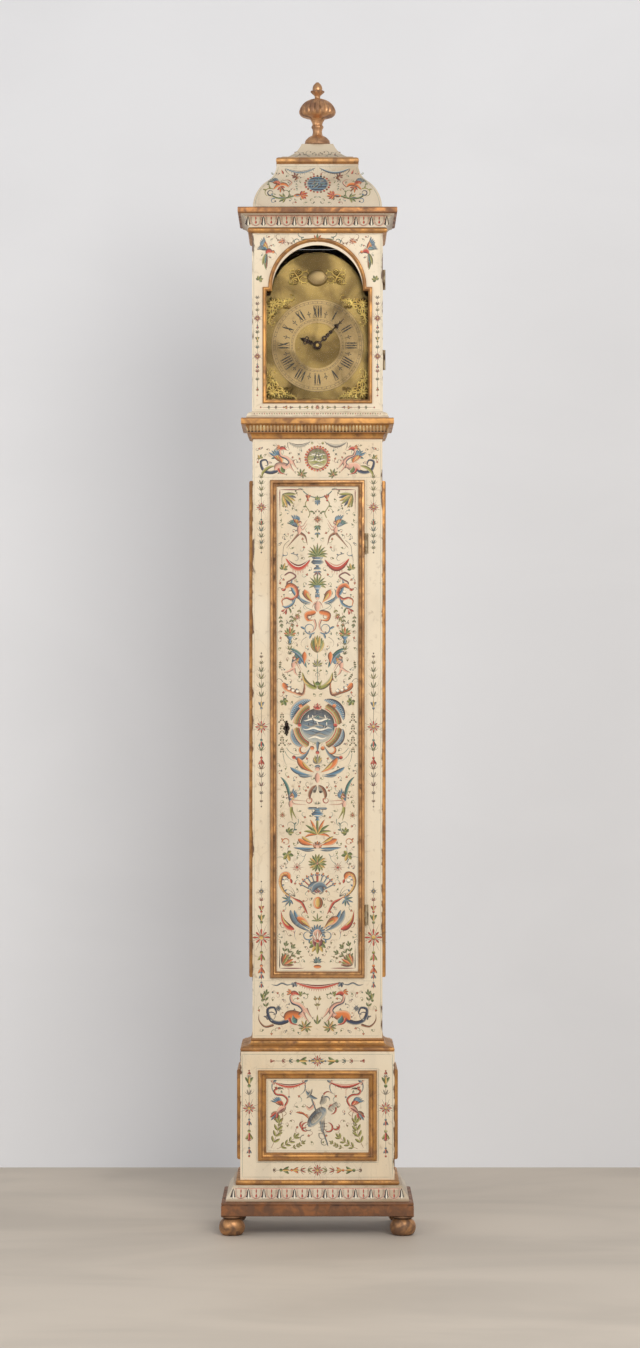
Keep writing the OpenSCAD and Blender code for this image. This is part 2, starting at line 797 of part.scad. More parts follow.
module escutcheon() {
    centre = door_z + keyhole_up;
    y = panel_front - escutcheon_t;
    color(iron) upright(y, escutcheon_t) translate([-keyhole_out, centre]) difference() {
        translate([0, -2]) union() {
            circle(r = 7);
            for (side = [-1, 1]) translate([0, side * 9]) circle(r = 4.5);
            for (side = [-1, 1]) translate([0, side * 15]) circle(r = 2.2);
        }
        keyhole();
    }
}

// Hood: sides, rails above and below the door, an arched frame behind the glass, top board
module hood_carcase() {
    half = hood_w / 2;
    rise = hood_top - hood_z;
    color(cream) difference() {
        translate([-half, hood_front, hood_z]) cube([hood_w, case_back - hood_front, rise]);
        translate([-hood_inside_half, frame_front + hood_frame_t, hood_z - 1])
            cube([2 * hood_inside_half, case_depth, rise - hood_top_t + 1]);
        translate([-half - 1, hood_front - 1, hood_door_z - seat_gap])
            cube([hood_w + 2, frame_front - hood_front + 1, hood_door_h + 2 * seat_gap]);
        upright(frame_front - 1, hood_frame_t + 2) arched_outline(frame_margin);
    }
}

module hood_base_moulding() {
    low = hood_base_out;
    color(cream) wrap_at(hood_w, hood_front, low + 2, 0, hood_z, hood_z + hood_base_h)
        polygon(concat([[0, hood_z], [low, hood_z], [low, hood_z + 3.5]],
            [for (i = [0:8]) let (a = 90 * i / 8)
                [1 + (low - 2.5) * cos(a), hood_z + 4.5 + (hood_base_h - 6.5) * sin(a)]],
            [[1, hood_z + hood_base_h], [0, hood_z + hood_base_h]]));
}

module hood_cornice_gilt() {
    bead = hood_bead_out;
    band = hood_band_out;
    r = hood_bead_h / 2;
    color(gilt) {
        wrap_at(hood_w, hood_front, bead + 2, 0, hood_bead_z, hood_frieze_z)
            polygon(concat([[0, hood_bead_z], [2, hood_bead_z]],
                [for (i = [0:10]) let (a = -90 + 180 * i / 10)
                    [bead - r + r * cos(a), hood_bead_z + r + r * sin(a)]],
                [[0, hood_frieze_z]]));
        wrap_at(hood_w, hood_front, band + 2, 0, hood_band_z, hood_top)
            polygon([[0, hood_band_z], [band - 4, hood_band_z], [band, hood_band_z + 4], [band, hood_top - 2],
                [band - 2, hood_top], [0, hood_top]]);
    }
}

module hood_cornice_frieze() {
    low = hood_bead_out;
    high = hood_frieze_out;
    color(cream) wrap_at(hood_w, hood_front, high + 2, 0, hood_frieze_z, hood_band_z)
        polygon(concat([[0, hood_frieze_z]],
            [for (i = [0:10]) let (a = 90 * i / 10)
                [low - 2 + (high - low + 2) * (1 - cos(a)), hood_frieze_z + (hood_frieze_h - 3) * sin(a)]],
            [[high, hood_band_z], [0, hood_band_z]]));
}

// Caddy: a bell with an ogee on the front and both sides, its back flush with the case
bell_turn = 2 * atan(bell_in / bell_h);
bell_reach = bell_h / sin(bell_turn);
bell_low_r = bell_reach * bell_round_share;
bell_high_r = bell_reach - bell_low_r;
bell_side = concat(
    [for (i = [0:10]) let (a = bell_turn * i / 10) [bell_low_r * (1 - cos(a)), bell_low_r * sin(a)]],
    [for (i = [1:8]) let (a = bell_turn * (1 - i / 8))
        [bell_in - bell_high_r * (1 - cos(a)), bell_h - bell_high_r * sin(a)]]);
bell_front = hood_front + bell_back;
rim_front = bell_front + bell_in - rim_out;
cap_front = rim_front + cap_back;

module caddy_bell() {
    steps = len(bell_side);
    color(cream) intersection() {
        translate([0, case_back, hood_top]) rotate([90, 0, 0]) linear_extrude(case_back - bell_front)
            polygon(concat([for (p = bell_side) [bell_w / 2 - p[0], p[1]]],
                [for (i = [steps - 1:-1:0]) [bell_side[i][0] - bell_w / 2, bell_side[i][1]]]));
        translate([-bell_w / 2, 0, hood_top]) rotate([90, 0, 90]) linear_extrude(bell_w)
            polygon(concat([for (p = bell_side) [bell_front + p[0], p[1]]],
                [[case_back, bell_h], [case_back, 0]]));
    }
}

module caddy_rim() {
    r = rim_h / 2;
    color(gilt) intersection() {
        translate([0, case_back, rim_z]) rotate([90, 0, 0]) linear_extrude(case_back - rim_front)
            polygon(concat(arc(rim_w / 2 - r, r, r, -90, 90, 10), arc(r - rim_w / 2, r, r, 90, 270, 10)));
        translate([-rim_w / 2, 0, rim_z]) rotate([90, 0, 90]) linear_extrude(rim_w)
            polygon(concat([[case_back, 0], [case_back, rim_h]], arc(rim_front + r, r, r, 90, 270, 10)));
    }
}

// Cap: four hollow sides up to the finial's seat
cap_chord = atan(cap_h / cap_in);
cap_turn = 2 * (cap_chord - cap_foot_slope);
cap_r = sqrt(cap_in * cap_in + cap_h * cap_h) / (2 * sin(cap_turn / 2));
cap_side = [for (i = [0:8]) let (a = cap_foot_slope + cap_turn * i / 8)
    [cap_r * (sin(a) - sin(cap_foot_slope)), cap_r * (cos(cap_foot_slope) - cos(a))]];
cap_mid_y = (cap_front + case_back) / 2;

module cap_profile(half) {
    steps = len(cap_side);
    polygon(concat([for (p = cap_side) [half - p[0], p[1]]],
        [for (i = [steps - 1:-1:0]) [cap_side[i][0] - half, cap_side[i][1]]]));
}

module caddy_cap() {
    depth = case_back - cap_front;
    color(cream) intersection() {
        translate([0, case_back, cap_z]) rotate([90, 0, 0]) linear_extrude(depth) cap_profile(cap_w / 2);
        translate([-cap_w / 2, cap_mid_y, cap_z]) rotate([90, 0, 90]) linear_extrude(cap_w)
            cap_profile(depth / 2);
    }
}

// Finial: turned foot, stem, cup and mushroom, leaf collar and acorn, in shares of its radius and height
cup_share = 0.435;
belly_share = 0.517;
crown_share = 0.738;
finial_foot = [[0, 0], [0.69, 0], [0.7, 0.034], [0.64, 0.083], [0.48, 0.124], [0.28, 0.152], [0.27, 0.255],
    [0.31, 0.269], [0.31, 0.31], [0.27, 0.317], [0.3, 0.366], [0.4, 0.414], [0.52, cup_share]];
finial_cup = [for (i = [0:5]) let (a = -60 + 12 * i)
    [0.86 + 0.14 * cos(a), belly_share + 0.062 * sin(a)]];
finial_crown = [for (i = [1:8]) let (a = 80 * i / 8)
    [cos(a), belly_share + (crown_share - belly_share) * sin(a) / sin(80)]];
finial_acorn = [[0.155, 0.752], [0.155, 0.786], [0.3, 0.821], [0.4, 0.848], [0.27, 0.869], [0.27, 0.91],
    [0.2, 0.959], [0.1, 0.99], [0, 1]];

module finial() {
    color(gilt) translate([0, cap_mid_y, finial_z]) rotate_extrude()
        polygon([for (p = concat(finial_foot, finial_cup, finial_crown, finial_acorn))
            [p[0] * finial_r, p[1] * finial_h]]);
}

module hood_hinge_leaves() {
    color(iron) for (z = hood_hinge_zs) {
        fixed_knuckles(hood_pin_x, hood_pin_y, z);
        for (dz = [0, 2 * hinge_third() + 0.3]) translate([hood_w / 2, hood_pin_y + 0.6, z + dz])
            cube([1, 14, hinge_third() - 0.3]);
        translate([hood_w / 2, hood_pin_y + 4, z]) cube([1, 10.6, hinge_h]);
    }
}

module hood_door_knuckles() {
    color(iron) for (z = hood_hinge_zs) {
        moving_knuckle(hood_pin_x, hood_pin_y, z);
        translate([hood_w / 2, hood_pin_y - 14, z + hinge_third()]) cube([1, 13.4, hinge_third()]);
    }
}

module hood_door() {
    color(cream) difference() {
        translate([-hood_w / 2, hood_front, hood_door_z]) cube([hood_w, hood_door_t, hood_door_h]);
        upright(hood_front - 1, hood_door_t + 2) arched_outline(0);
        upright(glass_front, hood_door_t) arched_outline(glass_rebate);
    }
}

// Glazing moulding in four steps, each set in from the one below
module hood_door_moulding() {
    steps = 4;
    color(gilt) for (i = [0:steps - 1]) {
        cut = glazing_member * 0.42 * i / steps;
        level = glazing_proud / steps;
        upright(hood_front - level * (i + 1), level) difference() {
            arched_outline(glazing_member - cut);
            arched_outline(cut);
        }
    }
}

module hood_glass() {
    color([0.8, 0.9, 0.92, 0.3]) upright(glass_front, glass_t) arched_outline(glass_rebate - 0.5);
}

// Movement frame
pillar_x = plate_half_w - 10;
pillar_zs = [seat_top + 12, seat_top + plate_h - 10];
module plate_outline() {
    translate([-plate_half_w, seat_top]) square([2 * plate_half_w, plate_h]);
}

module pivot_holes() {
    translate([0, great_z]) circle(r = stud_r + run_play);
    translate([second_x, second_z]) circle(r = arbor_r + run_play);
    translate([0, escape_z]) circle(r = arbor_r + run_play);
    translate([0, anchor_z]) circle(r = arbor_r + run_play);
}

module front_plate() {
    color(brass) {
        upright(plate_front, plate_t) difference() { plate_outline(); pivot_holes(); }
        shaft_y(0, axis_z, hub_front + 1, plate_front + eps, stud_r);
        shaft_y(minute_x, axis_z, hour_y - 3, plate_front + eps, arbor_r);
    }
}

module back_plate() {
    color(brass) {
        upright(back_inner, plate_t) difference() { plate_outline(); pivot_holes(); }
        difference() {
            shaft_y(0, great_z, pipe_y, back_inner + eps, pipe_r);
            shaft_y(0, great_z, pipe_y - 1, back_inner + 1, great_arbor_r + 0.5);
        }
    }
}

// Turned pillar: a collar at each end, a waist and a swell in the middle; the second half mirrors the first
pillar_half = [[5.5, 0], [5.5, 3], [4, 5], [3.5, 20], [4.6, 27]];
module plate_pillars() {
    last = len(pillar_half) - 1;
    color(brass) for (x = [-pillar_x, pillar_x]) for (z = pillar_zs)
        turned_y(x, back_inner, z)
            polygon(concat([[0, 0]], pillar_half,
                [for (i = [last:-1:0]) [pillar_half[i][0], plate_gap - pillar_half[i][1]]],
                [[0, plate_gap]]));
}

module dial_feet() {
    color(brass) for (x = [-pillar_x, pillar_x]) for (z = [pillar_zs[0] + 14, pillar_zs[1] - 14])
        shaft_y(x, z, dial_front + dial_t, plate_front, 3);
}

// Back cock: bridge on two legs with the anchor's rear hole, arm with the suspension cheeks
cock_half = 26;
module back_cock() {
    color(brass) {
        upright(cock_y, 3) difference() {
            translate([-cock_half, anchor_z - 10]) square([2 * cock_half, 28]);
            translate([0, anchor_z]) circle(r = arbor_r + run_play);
        }
        for (side = [0, 1]) mirror([side, 0, 0]) translate([20, back_outer, anchor_z - 10])
            cube([cock_half - 20, cock_y - back_outer + eps, 28]);
        translate([-6, cock_y + 3 - eps, anchor_z + 10]) cube([12, pendulum_y + 9 - cock_y - 3, 6]);
        for (y = [pendulum_y - 8, pendulum_y + 5]) upright(y, 3) difference() {
            translate([-6, anchor_z - 6]) square([12, 16.5]);
            translate([0, anchor_z]) circle(r = arbor_r + run_play);
        }
    }
}

// Dial
module dial_outline() {
    translate([-dial_w / 2, dial_z]) square([dial_w, dial_square_h]);
    translate([0, arch_z]) circle(r = dial_arch_r);
}

module dial_plate() {
    color(brass) upright(dial_front, dial_t) difference() {
        dial_outline();
        translate([0, axis_z]) circle(r = hour_pipe_r + 1.5);
    }
}

module chapter_ring() {
    color(ring_metal) upright(dial_front - chapter_t, chapter_t) translate([0, axis_z]) difference() {
        circle(r = chapter_r);
        circle(r = chapter_in_r);
    }
}

// Cast corner mount: a shell in the corner, two leaf scrolls along the edges, pierced between
spandrel_out = 101;
shell_r = 13;
lobe_r = 4.5;
scroll_curls = [[-18, 1, 9], [-31, 5, 6.5], [-41, 8.5, 4.5]];
pierce_share = 0.34;
module spandrel_outline() {
    difference() {
        union() {
            circle(r = shell_r);
            for (turn = [0, 90]) rotate(turn) for (c = scroll_curls)
                translate([c[0], c[1]]) circle(r = c[2]);
            for (turn = [20:25:70]) rotate(turn) translate([shell_r - 1, 0]) circle(r = lobe_r);
        }
        circle(r = shell_r / 4);
        for (turn = [0, 90]) rotate(turn) for (c = [scroll_curls[0], scroll_curls[1]])
            translate([c[0], c[1]]) circle(r = c[2] * pierce_share);
    }
}

module corner_spandrels() {
    high = dial_z + dial_square_h - shell_r - 5;
    low = dial_z + shell_r + 9;
    color(brass) upright(dial_front - cast_t, cast_t) for (side = [0, 1]) mirror([side, 0]) {
        difference() {
            union() {
                translate([spandrel_out, high]) scale(0.92) mirror([0, 1]) rotate(-90)
                    spandrel_outline();
                translate([spandrel_out, low]) rotate(-90) spandrel_outline();
            }
            translate([0, axis_z]) circle(r = chapter_r + 0.6);
        }
    }
}

mount_turns = [10, 100, 200, 300];
module arch_mounts() {
    color(brass) {
        upright(dial_front - cast_t, cast_t) for (side = [0, 1]) mirror([side, 0])
            translate([mount_out, boss_z + 2]) difference() {
                union() {
                    circle(r = mount_r * 0.45);
                    for (turn = mount_turns) rotate(turn) translate([mount_r * 0.62, 0])
                        circle(r = mount_r * 0.36);
                }
                for (turn = mount_turns) rotate(turn) translate([mount_r * 0.66, 0])
                    circle(r = mount_r / 8);
            }
        boss();
    }
}

// Oval boss: pointed-oval plates, each one set in from the one below
boss_steps = 5;
boss_step_t = 1.4;
module boss() {
    for (i = [0:boss_steps - 1]) {
        cut = boss_half_h * (1 - cos(60 * i / boss_steps));
        upright(dial_front - boss_step_t * (i + 1), boss_step_t) translate([0, boss_z])
            oval(boss_half_w - cut, boss_half_h - cut);
    }
}

module oval(half_w, half_h) {
    r = (half_w * half_w + half_h * half_h) / (2 * half_h);
    intersection() {
        translate([0, r - half_h]) circle(r = r);
        translate([0, half_h - r]) circle(r = r);
    }
}

// Train
module sprocket_section(bore) {
    low = sprocket_r - rope_r - groove_play;
    lip = sprocket_r + rope_r;
    half = rope_r + 0.6;
    polygon([[bore, -sprocket_w / 2], [lip, -sprocket_w / 2], [lip, -half], [low, -half + 1],
        [low, half - 1], [lip, half], [lip, sprocket_w / 2], [bore, sprocket_w / 2]]);
}

module great_wheel() {
    color(brass) {
        wheel_at(0, great_z, great_y, great_t, 90) crossed(great_module * great_teeth / 2 - 6, 12, 4, 6, 0)
            wheel_outline(great_teeth, great_module);
        turned_y(0, going_y, great_z) sprocket_section(0);
        shaft_y(0, great_z, going_y, great_y + eps, 8);
        shaft_y(0, great_z, plate_inner + slide_gap, back_inner - slide_gap, great_arbor_r);
        shaft_y(0, great_z, motion_y - 4, back_outer, stud_r);
    }
}

module winding_sprocket() {
    color(brass) turned_y(0, winding_y, great_z) sprocket_section(pipe_r + run_play);
}

// Half a turn of rope over each sprocket
module rope_over_sprockets() {
    color(hemp) for (y = [going_y, winding_y]) translate([0, y, great_z]) rotate([90, 0, 0])
        rotate_extrude(angle = 180) translate([sprocket_r, 0]) circle(r = rope_r);
}

// Pinion leaves are set so that a gap faces the wheel's tooth
module second_wheel() {
    mesh_turn = 90 - second_lean;
    tooth = round((mesh_turn - 90) * great_teeth / 360) * 360 / great_teeth + 90;
    off = (mesh_turn - tooth) * great_teeth / pinion_leaves;
    color(brass) {
        wheel_at(second_x, second_z, great_y - 1, great_t + 2, mesh_turn + 180 + 180 / pinion_leaves + off)
            pinion_outline(great_module);
        wheel_at(second_x, second_z, second_y, wheel_t, escape_mesh())
            crossed(second_module * second_teeth / 2 - 4, 6, 4, 4, 0)
                wheel_outline(second_teeth, second_module);
        shaft_y(second_x, second_z, great_y, second_y + eps, 2.2);
        shaft_y(second_x, second_z, plate_front + slide_gap, back_outer, arbor_r);
    }
}

function escape_mesh() = 180 - asin((escape_z - second_z) / escape_reach);

module escape_wheel() {
    tooth_n = 30;
    color(brass) {
        wheel_at(0, escape_z, second_y - 1, wheel_t + 2, escape_mesh() + 180 + 180 + 180 / pinion_leaves)
            pinion_outline(second_module);
        wheel_at(0, escape_z, escape_y, wheel_t, 0) crossed(escape_r - 6, 5, 4, 3, 0)
            polygon([for (i = [0:tooth_n - 1]) let (a = i * 360 / tooth_n) each [
                [(escape_r - 4) * cos(a - 5.5), (escape_r - 4) * sin(a - 5.5)],
                [escape_r * cos(a), escape_r * sin(a)],
                [escape_r * cos(a + 0.8), escape_r * sin(a + 0.8)],
                [(escape_r - 4) * cos(a + 1), (escape_r - 4) * sin(a + 1)]]]);
        shaft_y(0, escape_z, plate_front + slide_gap, back_outer, arbor_r);
    }
}

// Anchor: two pallets that clear the wheel over the whole swing, arbor, crutch with its fork
pallet_lift = 2.1;
module anchor() {
    reach = escape_r * sqrt(2);
    pallet_x = escape_r / sqrt(2) + pallet_lift;
    pallet_z = escape_z + escape_r / sqrt(2) + pallet_lift;
    color(steel) {
        wheel_at(0, 0, escape_y - 1, wheel_t + 2, 0) for (side = [0, 1]) mirror([side, 0]) {
            polygon([[0, anchor_z + 5], [5, anchor_z + 4], [pallet_x + 3, pallet_z + 5],
                [pallet_x + 3.5, pallet_z], [pallet_x, pallet_z - 1], [pallet_x - 1, pallet_z + 2],
                [4, anchor_z - 4], [0, anchor_z - 4]]);
        }
        shaft_y(0, anchor_z, plate_front + slide_gap, cock_y + 3, arbor_r);
        shaft_y(0, anchor_z, crutch_y, crutch_y + 3, 5);
        translate([-2, crutch_y, anchor_z - crutch_l]) cube([4, 3, crutch_l]);
        difference() {
            translate([-rod_r - 3, crutch_y, anchor_z - crutch_l - 5])
                cube([2 * rod_r + 6, pendulum_y + 4 - crutch_y, 5 + eps]);
            translate([-rod_r - slide_gap, pendulum_y - rod_r - slide_gap, anchor_z - crutch_l - 6])
                cube([2 * (rod_r + slide_gap), 20, 8]);
        }
    }
}

// Motion work in front of the front plate
module drive_wheel() {
    color(brass) wheel_at(0, great_z, motion_y, wheel_t, 90) crossed(22, 7, 4, 5, stud_r + run_play)
        wheel_outline(drive_teeth, motion_module);
}

module cannon_wheel() {
    half_step = 180 / cannon_teeth;
    color(brass) difference() {
        union() {
            wheel_at(0, axis_z, motion_y, wheel_t, -90 + half_step)
                wheel_outline(cannon_teeth, motion_module);
            shaft_y(0, axis_z, hub_front, motion_y + wheel_t, cannon_r);
        }
        shaft_y(0, axis_z, hub_front - 1, motion_y + wheel_t + 1, stud_r + run_play);
    }
}

// The cannon wheel has a tooth at this angle from its three-o'clock; the minute wheel answers it
cannon_off = ((-90 + 180 / cannon_teeth) % (360 / cannon_teeth)) * cannon_teeth / minute_teeth;
module minute_wheel() {
    color(brass) difference() {
        union() {
            wheel_at(minute_x, axis_z, motion_y, wheel_t, 180 + 180 / minute_teeth - cannon_off)
                wheel_outline(minute_teeth, motion_module);
            wheel_at(minute_x, axis_z, hour_y - 1, motion_y - hour_y + 1 + eps, 180)
                pinion_outline(hour_module);
        }
        shaft_y(minute_x, axis_z, hour_y - 4, motion_y + wheel_t + 1, arbor_r + run_play);
    }
}

module hour_wheel() {
    color(brass) difference() {
        union() {
            wheel_at(0, axis_z, hour_y, wheel_t, 180 / hour_teeth) crossed(24, 9, 4, 5, 0)
                wheel_outline(hour_teeth, hour_module);
            shaft_y(0, axis_z, hour_hand_y, hour_y + wheel_t, hour_pipe_r);
        }
        shaft_y(0, axis_z, hour_hand_y - 1, hour_y + wheel_t + 1, cannon_r + run_play);
    }
}

// Hands: a pierced trefoil on the hour hand, a pierced loop and cross-piece on the minute hand
hour_hub_r = 9;
trefoil = hour_hand_l * 0.64;
trefoil_r = 4.4;
collet_r = 10;
loop_out = 22;
loop_r = 6;
cross_out = minute_hand_l * 0.7;

// A bar of a hand, from one distance to another, each end with its own half width
module hand_bar(from, to, half, tip) {
    polygon([[-half, from], [half, from], [tip, to], [-tip, to]]);
}

module trefoil_lobes(r) {
    translate([0, trefoil - 5]) circle(r = r);
    for (side = [-1, 1]) translate([side * 1.25 * trefoil_r, trefoil]) circle(r = r);
    translate([0, trefoil + 5]) circle(r = r);
}

module hour_hand() {
    color(steel) difference() {
        upright(hour_hand_y, hand_t) translate([0, axis_z]) rotate(-hour_angle) difference() {
            union() {
                circle(r = hour_hub_r);
                hand_bar(5, trefoil - 8, 2.2, 1.4);
                trefoil_lobes(trefoil_r);
                hand_bar(trefoil + 7, hour_hand_l, 2.2, 0.2);
            }
            trefoil_lobes(trefoil_r / 2);
        }
        shaft_y(0, axis_z, hour_hand_y - 1, hour_hand_y + hand_t + 1, hour_pipe_r);
    }
}

module minute_outline() {
    difference() {
        union() {
            circle(r = collet_r - 3);
            hand_bar(5, loop_out + 2, 1.8, 1.2);
            translate([0, loop_out]) circle(r = loop_r);
            hand_bar(loop_out + 4, cross_out, 1.5, 1.1);
            for (side = [-1, 1]) translate([side * 3.4, cross_out]) circle(r = 2.6);
            hand_bar(cross_out - 2, minute_hand_l, 2.4, 0.4);
        }
        translate([0, loop_out]) circle(r = loop_r * 0.6);
    }
}

module minute_hand() {
    color(steel) difference() {
        union() {
            upright(minute_hand_y, hand_t) translate([0, axis_z]) rotate(-minute_angle) minute_outline();
            turned_y(0, minute_hand_y, axis_z)
                polygon([[0, -eps], [collet_r, -eps], [collet_r, 0.8], [6, 2], [0, 2]]);
        }
        shaft_y(0, axis_z, minute_hand_y - 3, minute_hand_y + hand_t + 1, cannon_r);
    }
}

// Pendulum
module pendulum_rod() {
    chop_half = 3;
    rod_foot = bob_z - bob_r - 16;
    color(steel) {
        translate([-chop_half, pendulum_y - 4.6, anchor_z - 12]) cube([2 * chop_half, 9.2, 15]);
        shaft_y(0, anchor_z, pendulum_y - 8.5, pendulum_y + 8.5, arbor_r);
        translate([-0.5, pendulum_y - 3, anchor_z - 30]) cube([1, 6, 20]);
        translate([-chop_half, pendulum_y - 4, anchor_z - 42]) cube([2 * chop_half, 8, 14]);
        translate([0, pendulum_y, rod_foot]) cylinder(r = rod_r, h = anchor_z - 40 - rod_foot);
    }
}

module pendulum_bob() {
    lens_r = (bob_r * bob_r + bob_t * bob_t / 4) / bob_t;
    lens_turn = asin((bob_r - 1) / lens_r);
    color(brass) difference() {
        translate([0, pendulum_y, bob_z]) rotate([90, 0, 0]) rotate_extrude()
            polygon(concat([[0, -bob_t / 2]],
                [for (i = [1:10]) let (a = lens_turn * i / 10)
                    [lens_r * sin(a), lens_r - bob_t / 2 - lens_r * cos(a)]],
                [for (i = [10:-1:0]) let (a = lens_turn * i / 10)
                    [lens_r * sin(a), bob_t / 2 - lens_r + lens_r * cos(a)]]));
        translate([0, pendulum_y, bob_z - bob_r - 1]) cylinder(r = rod_r + run_play, h = 2 * bob_r + 2);
    }
}

module rating_nut() {
    color(brass) difference() {
        translate([0, pendulum_y, bob_z - bob_r - 7]) cylinder(r = 9, h = 8);
        translate([0, pendulum_y, bob_z - bob_r - 8]) cylinder(r = rod_r + run_play, h = 10);
    }
}

// Driving weight: cased cylinder, stirrup round the pulley
module driving_weight() {
    top = pulley_z - pulley_r - rope_r - 16;
    cheek_x = 5.5;
    color(brass) {
        translate([-sprocket_r, rope_mid_y, top - weight_h]) rotate_extrude()
            polygon([[0, 0], [weight_r - 3, 0], [weight_r, 3], [weight_r, weight_h - 6],
                [weight_r - 5, weight_h], [4, weight_h + 3], [4, weight_h + 10], [0, weight_h + 10]]);
        for (side = [-1, 1]) translate([-sprocket_r, rope_mid_y, 0]) difference() {
            translate([side * (cheek_x + 1) - 1, -5, top + 6]) cube([2, 10, pulley_z + 6 - top - 6]);
            translate([side * (cheek_x + 1) - 2, 0, pulley_z]) rotate([0, 90, 0])
                cylinder(r = arbor_r + run_play, h = 4);
        }
        translate([-sprocket_r - cheek_x - 2, rope_mid_y - 5, top + 6]) cube([2 * cheek_x + 4, 10, 4]);
    }
}

module weight_pulley() {
    low = pulley_r - rope_r - groove_play;
    lip = pulley_r + 1.5;
    half = rope_r + 0.5;
    color(brass) translate([-sprocket_r, rope_mid_y, pulley_z]) rotate([0, 90, 0]) {
        rotate_extrude() polygon([[0, -half - 1.5], [lip, -half - 1.5], [lip, -half], [low, -half + 0.8],
            [low, half - 0.8], [lip, half], [lip, half + 1.5], [0, half + 1.5]]);
        translate([0, 0, -8]) cylinder(r = arbor_r, h = 16);
    }
}

// One side of the endless rope: two runs down from the sprockets and the bight at the bottom
module rope_side(x, low_z) {
    for (y = [going_y, winding_y]) translate([x, y, low_z]) cylinder(r = rope_r, h = great_z - low_z);
    translate([x, rope_mid_y, low_z]) rotate([0, 90, 0]) rotate([0, 0, -90])
        rotate_extrude(angle = 180) translate([pulley_r, 0]) circle(r = rope_r);
}

// Small ring weight threaded on the slack side's bight
ring_hole_r = 8;
ring_bar_r = 5;
module ring_weight() {
    hang = ring_z - pulley_r - (ring_hole_r - rope_r - groove_play);
    color(steel) translate([sprocket_r, rope_mid_y, hang]) rotate([90, 0, 0])
        rotate_extrude() translate([ring_hole_r + ring_bar_r, 0]) circle(r = ring_bar_r);
}

module rope_drive_loop() { color(hemp) rope_side(-sprocket_r, pulley_z); }
module rope_return_loop() { color(hemp) rope_side(sprocket_r, ring_z); }

bun_feet();
plinth_band();
plinth_ogee();
plinth_bead();
base_box();
base_panel_frames();
waist_moulding();
trunk_carcase();
trunk_side_frames();
backboard();
trunk_cornice();
seatboard();
trunk_hinge_leaves();
trunk_door();
trunk_door_frame();
trunk_door_knuckles();
trunk_lock();
escutcheon();
hood_carcase();
hood_base_moulding();
hood_cornice_gilt();
hood_cornice_frieze();
caddy_bell();
caddy_rim();
caddy_cap();
finial();
hood_hinge_leaves();
hood_door();
hood_door_moulding();
hood_glass();
hood_door_knuckles();
front_plate();
back_plate();
plate_pillars();
back_cock();
dial_plate();
chapter_ring();
corner_spandrels();
arch_mounts();
dial_feet();
great_wheel();
winding_sprocket();
second_wheel();
escape_wheel();
anchor();
cannon_wheel();
minute_hand();
minute_wheel();
hour_wheel();
hour_hand();
drive_wheel();
pendulum_rod();
pendulum_bob();
rating_nut();
driving_weight();
weight_pulley();
ring_weight();
rope_over_sprockets();
rope_drive_loop();
rope_return_loop();
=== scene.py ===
# %% [markdown]
# # A painted longcase clock
# The clock's body was built as solids first, and this lesson dresses it: every solid keeps its place, and
# each step gives one kind of piece its carving, its gilding or its painting. We work in millimetres and
# turn them into Blender's metres at the moment a mesh is made, because a joiner's sizes are easier to read.

# %% Load the frame
import math
import random
from functools import partialmethod
import bmesh
import bpy
import numpy as np
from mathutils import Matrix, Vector, noise


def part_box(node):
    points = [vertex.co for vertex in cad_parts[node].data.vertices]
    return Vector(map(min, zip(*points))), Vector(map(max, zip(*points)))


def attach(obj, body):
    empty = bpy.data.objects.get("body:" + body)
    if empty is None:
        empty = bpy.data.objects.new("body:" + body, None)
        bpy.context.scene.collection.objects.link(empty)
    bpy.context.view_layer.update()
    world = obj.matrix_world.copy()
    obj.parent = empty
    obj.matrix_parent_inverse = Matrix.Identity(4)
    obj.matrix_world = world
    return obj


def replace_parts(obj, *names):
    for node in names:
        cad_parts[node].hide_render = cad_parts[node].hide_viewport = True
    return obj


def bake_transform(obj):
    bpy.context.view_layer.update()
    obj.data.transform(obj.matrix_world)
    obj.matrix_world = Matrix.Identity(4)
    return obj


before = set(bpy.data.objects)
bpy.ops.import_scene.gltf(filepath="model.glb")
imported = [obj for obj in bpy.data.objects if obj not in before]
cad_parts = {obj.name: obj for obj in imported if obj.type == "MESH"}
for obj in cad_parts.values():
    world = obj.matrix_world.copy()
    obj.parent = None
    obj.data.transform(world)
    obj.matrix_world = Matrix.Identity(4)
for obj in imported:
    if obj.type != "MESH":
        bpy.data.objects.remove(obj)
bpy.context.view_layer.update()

MM = 0.001


def box(node_name):
    """Lowest and highest corner of a solid, in millimetres."""
    low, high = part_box(node_name)
    return np.array(low) / MM, np.array(high) / MM


def add_object(name, data):
    """An object of this data, in the scene."""
    obj = bpy.data.objects.new(name, data)
    bpy.context.scene.collection.objects.link(obj)
    return obj


# %% [markdown]
# ## Camera
# The photograph was taken with the camera level, 7.5 m in front of the trunk and 1.125 m above the floor.
# The clock runs above the middle of the frame, so the lens is shifted up instead of tilted: upright lines
# then stay upright, as they do in the photograph.

# %% Camera
CAMERA_AWAY, CAMERA_UP = 7.5615, 1.125
LENS, SENSOR, SHIFT_X, SHIFT_Y, FARTHEST = 88.8, 36, 0.0019, 0.0438, 60
camera_data = bpy.data.cameras.new("camera")
camera_data.lens, camera_data.sensor_width = LENS, SENSOR
camera_data.shift_x, camera_data.shift_y = SHIFT_X, SHIFT_Y
camera_data.clip_end = FARTHEST
camera = add_object("camera", camera_data)
camera.location = (0, -CAMERA_AWAY, CAMERA_UP)
camera.rotation_euler = (math.pi / 2, 0, 0)
bpy.context.scene.camera = camera
bpy.context.scene.view_settings.view_transform = "Standard"
print("lens", camera_data.lens, "mm")

# %% [markdown]
# ## A short way to write materials
# A material is a graph of nodes. Writing each node out takes a dozen lines, so one helper makes a node,
# sets its sockets by name and hands back its output. A value that is itself an output becomes a link.

